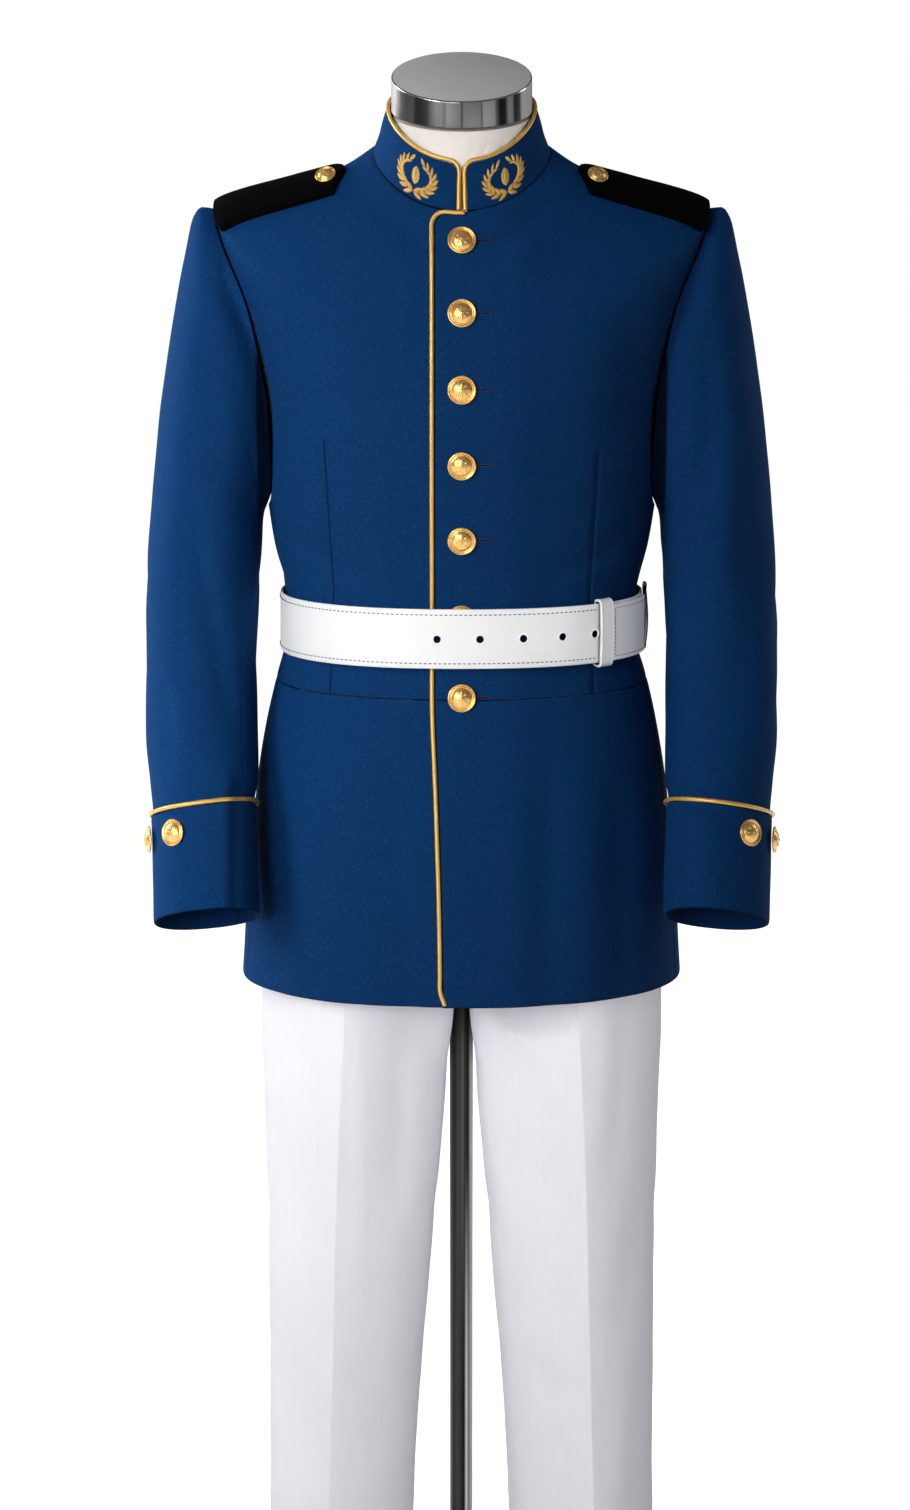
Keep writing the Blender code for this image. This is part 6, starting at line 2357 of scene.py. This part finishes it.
    def build_sprigs(self) -> None:
        """Sew a wreath of two open sprigs and a plain lozenge on each side of the collar."""
        at_level = 1.42
        for side, sign in (("left", 1), ("right", -1)):
            middle = float(STAND.sections.angle_at_x(at_level, sign * (0.0385 if sign > 0 else 0.0410)))
            spots = STAND.point(at_level + np.array([0, 0, 0.5, -0.5]), middle + np.array([0.5, -0.5, 0, 0]))
            around, per_level = np.linalg.norm(spots[::2] - spots[1::2], axis=1)
            whole = Draft()

            def lay(part: Draft, x: float, y: float, degrees: float, turn: float) -> None:
                """Lay a flat part on the collar at a place and a direction.

                Args:
                    part: the part.
                    x: its place across the collar.
                    y: its place up the collar.
                    degrees: its direction.
                    turn: 1, or -1 for a mirrored part.
                """
                points = part.points[0]
                c, s = math.cos(math.radians(degrees)), math.sin(math.radians(degrees))
                u = x + turn * (points[:, 0] * c - points[:, 1] * s)
                v = y + points[:, 0] * s + points[:, 1] * c
                place = STAND.out(at_level + v / per_level, middle + u / around, points[:, 2] + 0.0001)
                faces = part.faces if turn > 0 else [face[::-1] for face in part.faces]
                flat = part.flat if turn > 0 else sum((part.flat[i:i + 4][::-1] for i in
                                                       range(0, len(part.flat), 4)), [])
                whole.merge(place, faces, flat)

            for turn in (1, -1):
                for x, y, way, size in self.sprig(turn):
                    lay(self.leaf(0.0100 * size, 0.0037 * size, 0.0012), x, y, way, turn)
                stem = np.radians(np.linspace(-116, 62, 12))
                x, y = self.wreath[0] * np.cos(stem), self.wreath[1] * np.sin(stem)
                place = STAND.out(at_level + y / per_level, middle + turn * x / around, 0.0003)
                tube = cord_mesh("stem", place, 0.00045, sides=6, pitch=0.0012)
                whole.merge(np.array([v.co for v in tube.vertices]), [p.vertices for p in tube.polygons],
                            [tuple(item.vector) for item in tube.uv_layers[0].uv])
            for width, height, lift in ((0.0084, 0.0160, 0.0009), (0.0042, 0.0090, 0.0018)):
                for hand in (0, 180):
                    part = self.leaf(height, width, lift)
                    part.points[0] = part.points[0] - (height / 2, 0, 0)
                    lay(part, 0.0, 0.0010, 90 + hand, 1)
            mesh = whole.mesh(f"collar_sprigs_{side}", 60)
            finished(f"collar_sprigs_{side}", mesh, GOLD_THREAD, "gold_cord")

    def build(self) -> None:
        """Build all the trim."""
        self.build_piping()
        self.build_buttons()
        self.build_buttonholes()
        self.build_boards()
        self.build_sprigs()


@dataclass
class Belt:
    """White leather belt: strap with eyelets, doubled end, keeper, buckle and stitching."""

    wall: float = 0.0027
    height: float = 0.0540
    eyelets: tuple[float, ...] = (-0.0221, 0.0163, 0.0552, 0.0905, 0.1199)
    eyelet_radius: float = 0.0050
    hole_radius: float = 0.0036
    keeper: Pair = (45.6, 51.8)
    keeper_long: float = 0.0185
    fold: Pair = (52.4, 80.0)
    fold_lift: float = 0.0008
    buckle: float = 88.0
    buckle_wire: float = 0.0019
    buckle_half: float = 0.0185
    buckle_corner: float = 0.0090
    bend: float = 0.125                # radius of the waist's side, that the frame follows
    keeper_wall: float = 0.0020
    stitch_in: float = 0.0050
    stitch_pitch: float = 0.0044
    end_pitch: float = 0.0034

    def band(self, name: str, span: Pair, lift: float, inset: float, wall: float) -> bpy.types.Mesh:
        """A band of leather round the waist.

        Args:
            name: the mesh's name.
            span: the degrees that it runs between.
            lift: how far its outer face stands off the strap's.
            inset: how far its edges lie inside the strap's.
            wall: its thickness.

        Returns:
            The mesh.
        """
        long = math.radians(span[1] - span[0]) * 0.15
        columns = span[0] + (span[1] - span[0]) * spaced(long, 0.0040)
        rows = (inset + (self.height - 2 * inset) * spaced(self.height - 2 * inset, 0.0040)) / self.height
        level, across = np.meshgrid(rows, columns, indexing="ij")
        return Wall(wall, lift, PLAIN, 0.0002).build(name, STRAP, level, across, False)

    def place_at(self, degrees: float, way: float) -> tuple[Array, Array]:
        """A place on the strap's middle line and its way out."""
        out = STRAP.normal(np.array(0.5), np.array(degrees))
        return STRAP.point(np.array(0.5), np.array(degrees)) + out * way, out

    def build_strap(self) -> None:
        """Cut the strap, bore its holes and set an eyelet in each."""
        mesh = self.band("belt_strap_leather", (self.buckle + 3, self.buckle + 357), 0.0, 0.0, self.wall)
        strap = placed("belt_strap_blank", mesh)
        model = BENCH.take(BENCH.spun((self.eyelet_radius + self.hole_radius) / 2, (0.00095, 0.00052), 32,
                                      10))
        for number, x in enumerate(self.eyelets, start=1):
            degrees = float(STRAP.sections.angle_at_x(0.5, x))
            centre, out = self.place_at(degrees, -self.wall / 2)
            BENCH.clear()
            bpy.ops.mesh.primitive_cylinder_add(vertices=32, radius=self.eyelet_radius - 0.0005, depth=0.02)
            cutter = bpy.context.object
            cutter.data.transform(upright(centre, out, (1, 0, 0.02)))
            BENCH.apply(strap, "BOOLEAN", operation="DIFFERENCE", solver="EXACT", object=cutter)
            bpy.data.objects.remove(cutter)
            rim = model.copy()
            rim.transform(upright(centre + out * (self.wall / 2 + 0.0001), out, (1, 0, 0.02)))
            finished(f"eyelet_{number}_piece", rim, RIM_ENAMEL, "white_enamel", f"eyelet_{number}")
        mesh = strap.data.copy()
        bpy.data.objects.remove(strap)
        mesh.set_sharp_from_angle(angle=math.radians(50))
        finished("belt_strap_piece", mesh, WHITE_LEATHER, "white_leather", "belt_strap")

    def build_end(self) -> None:
        """Lay on the doubled end, and form the keeper round both layers."""
        mesh = self.band("belt_fold_leather", self.fold, self.wall + self.fold_lift, 0.0010, self.wall)
        finished("belt_fold_piece", mesh, WHITE_LEATHER, "white_leather", "belt_fold")
        reach = self.height / 2 + 0.0015
        near, far = self.wall + 0.0014, 0.0014
        outline = np.array([(-near, reach), (0, reach + 0.0004), (far, reach - 0.0004),
                            (far + 0.0009, reach * 0.86),
                            (far + 0.0013, reach * 0.6), (far + 0.0016, 0), (far + 0.0013, -reach * 0.6),
                            (far + 0.0009, -reach * 0.86), (far, -reach + 0.0004), (0, -reach - 0.0004),
                            (-near, -reach)])
        closed = np.concatenate([outline, outline[:1]])
        run = curved(np.concatenate([closed, np.zeros((len(closed), 1))], axis=1), 0.0016)[:-1, :2]
        out2 = np.stack([np.roll(run[:, 1], 1) - np.roll(run[:, 1], -1),
                         np.roll(run[:, 0], -1) - np.roll(run[:, 0], 1)], axis=-1)
        out2 = unit(out2)
        spans = spaced(self.keeper_long, 0.0022, edge=(0.0003, 0.0008, 0.0015))
        turns = self.keeper[0] + (self.keeper[1] - self.keeper[0]) * spans
        rings = []
        for share, degrees in zip(spans, turns):
            place, out = self.place_at(degrees, 0.0)
            edge = min(share, 1 - share) * self.keeper_long
            thin = 0.4 * self.keeper_wall * fall(1 - min(edge / 0.001, 1))
            bead = 0.00035 * math.exp(-((edge - 0.0010) / 0.0006) ** 2)
            outer = run + out2 * (self.keeper_wall - thin + bead)
            rings.append([place + out * a + np.array([0, 0, 1.0]) * b for a, b in outer])
        outer = np.array(rings)
        inner = np.array([[self.place_at(degrees, a)[0] + (0, 0, b) for a, b in run] for degrees in turns])
        draft = Draft()
        round_it = np.linspace(0, 0.12, len(run))
        flat = np.stack(np.broadcast_arrays(spans[:, None] * self.keeper_long, round_it[None]), axis=-1)
        _, lower = draft.shell(outer, inner, flat, True)
        mesh = draft.mesh("belt_keeper_leather")
        work = bmesh.new()
        work.from_mesh(mesh)
        bmesh.ops.recalc_face_normals(work, faces=work.faces)
        work.to_mesh(mesh)
        work.free()
        piece = finished("belt_keeper_piece", mesh, WHITE_LEATHER, "white_leather", "belt_keeper",
                         LEATHER_BACK_WITH_SHADE)
        # the keeper's inner faces take the flesh-side finish, near black as painted shade in its gap
        inside = set(lower.ravel().tolist())
        for face in piece.data.polygons:
            face.material_index = int(all(number in inside for number in face.vertices))

    def build_buckle(self) -> None:
        """Form the frame buckle: a ring spun round, squared and bent over the strap's meeting ends."""
        half_high, half_long, corner = self.height / 2 + 0.0010, self.buckle_half, self.buckle_corner
        path = []
        for quarter, (sx, sz) in enumerate(((1, 1), (-1, 1), (-1, -1), (1, -1))):
            for step in range(8):
                a = math.radians(90 * quarter + 90 / 7 * step)
                aside = sx * (half_long - corner) + corner * math.cos(a)
                up = sz * (half_high - corner) + corner * math.sin(a)
                bulge = 0.0050 - 0.0030 * (up / half_high) ** 2
                place, _ = self.place_at(self.buckle - math.degrees(aside / self.bend), bulge)
                path.append(place + np.array([0, 0, up + 0.0030]))
        mesh = cord_mesh("belt_buckle_frame", np.array(path), self.buckle_wire, closed=True, sides=16,
                         pitch=0.0012)
        finished("belt_buckle_piece", mesh, DARK_METAL, "dark_metal", "belt_buckle")

    def rows(self) -> list[tuple[Array, Array, int]]:
        """Lines of stitching.

        Returns:
            Points and ways out along each line, and 1 where it is on the doubled end.
        """
        found = []
        low, high = self.stitch_in / self.height, 1 - self.stitch_in / self.height
        layers = (((self.buckle + 6, 360 + self.keeper[0] - 0.6), 0.0),
                  ((self.fold[0] + 1.1, self.fold[1] - 1), 1))
        for (first, last), layer in layers:
            degrees = np.linspace(first, last, 400 if not layer else 60)
            for level in (low, high):
                rows = np.full_like(degrees, level)
                outs = STRAP.normal(rows, degrees)
                lift = (self.wall + self.fold_lift) * layer
                found.append((STRAP.point(rows, degrees) + outs * (lift + 0.00005), outs, layer))
        rows = np.linspace(low, high, 20)
        across = np.full_like(rows, self.fold[0] + 0.7)
        outs = STRAP.normal(rows, across)
        return [*found, (STRAP.point(rows, across) + outs * (self.wall + self.fold_lift + 0.00005), outs, 1)]

    def build(self) -> None:
        """Build the belt and sew it."""
        self.build_strap()
        self.build_end()
        self.build_buckle()
        for layer, (name, pitch, radius) in enumerate((("belt_stitches", self.stitch_pitch, 0.00044),
                                                       ("belt_end_stitches", self.end_pitch, 0.00030))):
            places = [place for points, outs, on in self.rows() if on == layer
                      for place in stitch_row(points, outs, pitch)]
            mesh = copies(stitch_mesh(pitch * 0.64, radius), places, name)
            # the stitches' dark thread carries the painted shade of their holes
            finished(name, mesh, BELT_THREAD_WITH_SHADE, "white_leather")


@dataclass
class Trousers:
    """White pressed trousers: two fronts, two backs and a waistband."""

    wide_pitch: float = 0.0050
    long_pitch: float = 0.0070

    def build(self) -> None:
        """Cut and press the four leg panels, and the waistband."""
        wall = Wall(CLOTH, 0.0, TWILL_RELIEF, 0.0002)
        for part, half, finish, flat, area in (("trouser_front", -1, FELLED_TWILL, (0.245, 1.005), 0.243),
                                               ("trouser_back", 1, TWILL, (0.255, 1.005), 0.247)):
            surface = LegHalf(half)
            level = levels_up(surface, 12, 0, 0.0, self.long_pitch)
            edge = (0.0004, 0.0012, 0.0026, 0.0050)
            inner = -1 + spaced(0.105, self.wide_pitch, edge=edge)
            share = np.concatenate([inner[:-1], -inner[::-1]])
            share = share * (1 - SEAM / 2 / 0.12)
            share = share if half < 0 else share[::-1]
            rows, columns = np.meshgrid(level, share, indexing="ij")
            for side, flip in SIDES:
                mesh = wall.build(f"{part}_{side}_cloth", surface, rows, columns, flip)
                piece = finished(f"{part}_{side}_piece", mesh, finish, "white_twill", f"{part}_{side}")
        s = Sections(LEG, TROUSER_ROWS).at(0.0)
        band = Oval(Sections(SECTION,
                             [(v, float(s["x_out"]), 0.0, float(s["front"]), float(s["back"]), 2.2, z)
                                       for v, z in enumerate((1.0434, 1.0760))]))
        rows, columns = np.meshgrid(spaced(0.0326, 0.004), np.linspace(0, 360, 161)[:-1], indexing="ij")
        mesh = Wall(CLOTH, 0.0, PLAIN, 0.0, ring=True).build("trouser_waistband_cloth", band, rows, columns,
                                                             False)
        piece = finished("trouser_waistband_piece", mesh, TWILL, "white_twill", "trouser_waistband")


@dataclass
class DressForm:
    """Limbless padded form with its chrome neck cap, pole and base."""

    columns: int = 220
    cap_radius: float = 0.0633
    cap_high: float = 0.0314
    cap_centre: tuple[float, float, float] = (0.0, -0.020, 1.6236)
    cap_tilt: float = 18.5
    cap_foot_tilt: float = 11.5
    pole_radius: float = 0.0110
    foot: tuple[float, float] = (0.021, 0.030)
    base: tuple[float, float] = (0.200, 0.008)
    form_foot: float = 0.8700

    def creases(self) -> Relief:
        """The small gathers of the cover in the neck's opening.

        Returns:
            The gathers as a relief.
        """
        paths = (((-0.026, 1.570), (-0.019, 1.548), (-0.012, 1.520)),
                 ((0.024, 1.572), (0.017, 1.550), (0.009, 1.522)),
                 ((-0.010, 1.566), (-0.007, 1.545), (-0.004, 1.515)),
                 ((0.009, 1.560), (0.004, 1.535), (0.002, 1.512)),
                 ((-0.040, 1.572), (-0.034, 1.556), (-0.024, 1.540)),
                 ((0.041, 1.574), (0.033, 1.556), (0.022, 1.538)))
        depths = (-0.00085, -0.0008, 0.0006, -0.0007, 0.0006, -0.0008)
        folds = [Fold(Face.FRONT, path, 0.0022, depth) for path, depth in zip(paths, depths)]
        back = [Fold(Face.BACK, ((x, 1.60), (x * 0.8, 1.57)), 0.0026, -0.0006)
                for x in (-0.03, -0.004, 0.027)]
        return Relief(tuple(folds + back), 0.0002)

    def build_torso(self) -> None:
        """Stretch the cover over the torso and the neck."""
        around = np.linspace(0, 360, self.columns + 1)[:-1]
        low, neck = Oval(Sections(SECTION, FORM_ROWS)), Oval(Sections(SECTION, NECK_ROWS))
        rows = [low.point(np.full_like(around, v), around)
                for v in (0, 0.3, 0.6, 1, 1.5, 2, 3, 4, 5, 6, 7, 8)]
        rows += [TUNIC.out(v, around, -CLOTH - inset) for v, inset in FORM_INSET]
        rows += [neck.point(np.full_like(around, v), around) for v in np.linspace(0, 3, 7)]
        coarse = np.array(rows)
        run = lengths(coarse[:, 0])
        slopes = np.gradient(coarse, run, axis=0)
        upper = run[20]
        want = np.concatenate([np.arange(0, upper, 0.008), np.arange(upper, run[-1], 0.0016), [run[-1]]])
        fine = through(run, coarse, slopes, want)
        along = np.roll(fine, -1, 1) - np.roll(fine, 1, 1)
        up = np.gradient(fine, axis=0)
        normal = np.cross(along, up)
        normal = normal / np.maximum(np.linalg.norm(normal, axis=-1, keepdims=True), 1e-9)
        above = smooth((fine[..., 2] - 1.50) / 0.01)
        fine = fine + normal * (self.creases().height(fine, normal) * above)[..., None]
        draft = Draft()
        grid = draft.add(fine)
        ring = np.concatenate([grid, grid[:, :1]], axis=1)
        flat = np.stack(np.broadcast_arrays(np.linspace(0, 0.45, self.columns + 1)[None], want[:, None]),
                        axis=-1)
        draft.skin(ring, flat)
        draft.lid(grid[0][::-1])
        draft.lid(grid[-1])
        piece = finished("form_torso_piece", draft.mesh("form_torso_cover"), JERSEY, "form_linen",
                         "form_torso")

    def build_cap(self) -> None:
        """Turn the neck cap, cut its ends aslant, and soften its rims."""
        centre = Vector(self.cap_centre)
        BENCH.clear()
        bpy.ops.mesh.primitive_cylinder_add(vertices=128, radius=self.cap_radius, depth=self.cap_high)
        cap = bpy.context.object
        bpy.ops.object.mode_set(mode="EDIT")
        for sign, tilt, drop in ((1, self.cap_tilt, 0.0), (-1, self.cap_foot_tilt, self.cap_high)):
            work = bmesh.from_edit_mesh(cap.data)
            turn = Matrix.Rotation(math.radians(tilt), 3, "X")
            for vert in work.verts:
                if vert.co.z * sign > 0 and not vert.tag:
                    vert.co = centre + turn @ Vector((vert.co.x, vert.co.y, 0)) - Vector((0, 0, drop))
                    vert.tag = True
            bmesh.update_edit_mesh(cap.data)
        bpy.ops.mesh.select_all(action="DESELECT")
        BENCH.choose(lambda _, normal: abs(normal.z) > 0.8)
        bpy.ops.mesh.inset(thickness=0.0022)
        bpy.ops.mesh.inset(thickness=0.0006, depth=-0.0003)
        bpy.ops.object.mode_set(mode="OBJECT")
        BENCH.apply(cap, "BEVEL", width=0.0012, segments=3, limit_method="ANGLE",
                    angle_limit=math.radians(50))
        mesh = BENCH.take(cap, 30)
        mesh.materials.clear()
        piece = finished("neck_cap_piece", mesh, CAP_SIDE, "chrome", "neck_cap", CAP_TOP)
        piece.data.materials.append(CAP_RIM.material())
        for face in piece.data.polygons:
            rim = 2 if face.normal.z > 0.25 else 0
            face.material_index = 1 if face.normal.z > 0.93 and face.area > 0.0002 else rim

    def build_stand(self) -> None:
        """Turn the pole, its foot and the base plate."""
        r, low, high = self.pole_radius, self.base[1] + self.foot[1], self.form_foot - 0.0003
        profile = [(r - 0.0008, low), (r, low + 0.0008), (r, 0.300), (r, 0.3002), (r, high - 0.0008),
                   (r - 0.0008, high)]
        mesh = BENCH.take(BENCH.turned(profile, 64))
        finished("pole_piece", mesh, POLE_PLATE, "chrome", "pole")
        radius, tall = self.foot
        base = self.base[1]
        profile = [(radius, base), (radius, base + tall * 0.55), (radius - 0.0006, base + tall * 0.60),
                   (radius - 0.0006, base + tall * 0.64), (radius, base + tall * 0.69),
                   (radius, base + tall - 0.0046), (radius - 0.0012, base + tall - 0.0020),
                   (radius - 0.0042, base + tall - 0.0004), (radius - 0.0090, base + tall - 0.0003)]
        finished("pole_foot_piece", BENCH.take(BENCH.turned(profile, 64)), FOOT_PLATE, "chrome", "pole_foot")
        radius, tall = self.base
        profile = [(radius - 0.0006, 0), (radius, 0.0006), (radius, tall - 0.0020),
                   (radius - 0.0006, tall - 0.0008),
                   (radius - 0.0020, tall), (radius - 0.0120, tall), (radius - 0.0125, tall - 0.0003),
                   (radius - 0.0135, tall - 0.0003), (radius - 0.0140, tall), (0.030, tall)]
        finished("base_plate_piece", BENCH.take(BENCH.turned(profile, 160)), STEEL, "brushed_steel",
                 "base_plate")

    def build(self) -> None:
        """Build the form and its stand."""
        self.build_torso()
        self.build_cap()
        self.build_stand()


# ---------------------------------------------------------------- studio
@dataclass
class Studio:
    """Pale floor, plain soft light, and the camera."""

    eye: tuple[float, float, float] = (-0.006, -3.600, 1.750)
    pitch: float = 11.768
    lens: float = 94.27
    ambient: float = 0.08

    def area(self, name: str, place: tuple[float, float, float], aim: tuple[float, float, float], size: Pair,
             power_w: float, only: str = "", spread: float = 180.0) -> None:
        """Hang a soft box.

        Args:
            name: the light's name.
            place: where it hangs.
            aim: what it points at.
            size: its width and height.
            power_w: its power in watts.
            only: the slots that it lights, parted by spaces; all if empty.
            spread: how widely it throws its light, in degrees.
        """
        data = bpy.data.lights.new(name, "AREA")
        data.shape, data.size, data.size_y, data.energy = "RECTANGLE", size[0], size[1], power_w
        data.spread = math.radians(spread)
        light = placed(name, data)
        light.location = place
        light.rotation_euler = (Vector(aim) - Vector(place)).to_track_quat("-Z", "Y").to_euler()
        if only:
            lit = bpy.data.collections.new(name + "_lit")
            for piece in bpy.context.scene.objects:
                if piece.get("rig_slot", "") in only.split():
                    lit.objects.link(piece)
            light.light_linking.receiver_collection = lit

    def build_room(self) -> None:
        """Lay the floor and light the background white, and the room softly."""
        BENCH.clear()
        bpy.ops.mesh.primitive_plane_add(size=2, location=(0, 0, 0))
        floor = bpy.context.object
        floor.name = "studio_floor"
        bpy.ops.object.mode_set(mode="EDIT")
        bpy.ops.mesh.select_all(action="SELECT")
        bpy.ops.transform.resize(value=(9, 9, 1))
        bpy.ops.transform.translate(value=(0, 2, -0.0004))
        bpy.ops.object.mode_set(mode="OBJECT")
        floor.data.materials.append(StudioPaper("studio_floor").material())
        floor.visible_diffuse = False
        world = bpy.data.worlds.new("studio")
        bpy.context.scene.world = world
        world.use_nodes = True
        nodes, links = world.node_tree.nodes, world.node_tree.links
        seen, lit = nodes["Background"], nodes.new("ShaderNodeBackground")
        seen.inputs[0].default_value, seen.inputs[1].default_value = (1, 1, 1, 1), 1.0
        lit.inputs[0].default_value, lit.inputs[1].default_value = (0.97, 0.98, 1, 1), self.ambient
        path, mix = nodes.new("ShaderNodeLightPath"), nodes.new("ShaderNodeMixShader")
        links.new(path.outputs["Is Camera Ray"], mix.inputs[0])
        links.new(lit.outputs[0], mix.inputs[1])
        links.new(seen.outputs[0], mix.inputs[2])
        links.new(mix.outputs[0], nodes["World Output"].inputs[0])

    def build_lights(self) -> None:
        """Hang the key on the viewer's left, a low fill on the right and a rim behind."""
        self.area("key", (-2.2, -2.2, 2.2), (-0.95, 0, 1.12), (1.0, 1.9), 9.0, spread=60)
        self.area("left_key", (-0.7, -2.5, 1.9), (-0.42, 0, 1.10), (0.7, 1.9), 1.5, spread=50)
        self.area("chest_key", (-1.0, -2.6, 1.7), (-0.30, 0, 1.20), (0.6, 0.8), 0.9, spread=34)
        self.area("left_rim", (-2.4, 1.2, 2.0), (0, 0, 1.1), (0.8, 1.8), 60)
        self.area("right_rim", (2.4, 1.0, 1.9), (0, 0, 1.1), (0.8, 1.8), 14)
        whites = "white_twill form_linen chrome white_enamel"
        self.area("gold_key", (-1.9, -2.7, 2.0), (0, 0, 1.2), (1.2, 1.6), 26, "gold_cord gold_button")
        self.area("white_key", (-1.9, -2.6, 1.5), (0, 0, 0.8), (1.4, 1.8), 25, whites + " white_leather")
        self.area("belt_fill", (2.4, -2.4, 1.5), (0.10, 0, 1.1), (1.2, 1.2), 30, "white_leather")
        self.area("white_fill", (1.3, -3.2, 1.2), (0, 0, 0.8), (1.6, 1.6), 50, whites)

    def build_camera(self) -> None:
        """Set up the camera."""
        data = bpy.data.cameras.new("camera")
        data.lens, data.sensor_width, data.clip_start, data.clip_end = self.lens, 36.0, 0.05, 60.0
        camera = placed("camera", data)
        camera.location = self.eye
        camera.rotation_euler = (math.radians(90 - self.pitch), 0, 0)
        bpy.context.scene.camera = camera
        bpy.context.scene.view_settings.view_transform = "Standard"

    def build(self) -> None:
        """Build the studio."""
        self.build_room()
        self.build_lights()
        self.build_camera()


def main() -> None:
    logging.basicConfig(level=logging.INFO, format="%(name)s: %(message)s")
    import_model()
    DressForm().build()
    Trousers().build()
    tunic = Tunic()
    tunic.build_body()
    tunic.build_sleeves()
    tunic.build_collar()
    Trim().build()
    Belt().build()
    Studio().build()


if __name__ == "__main__":
    main()
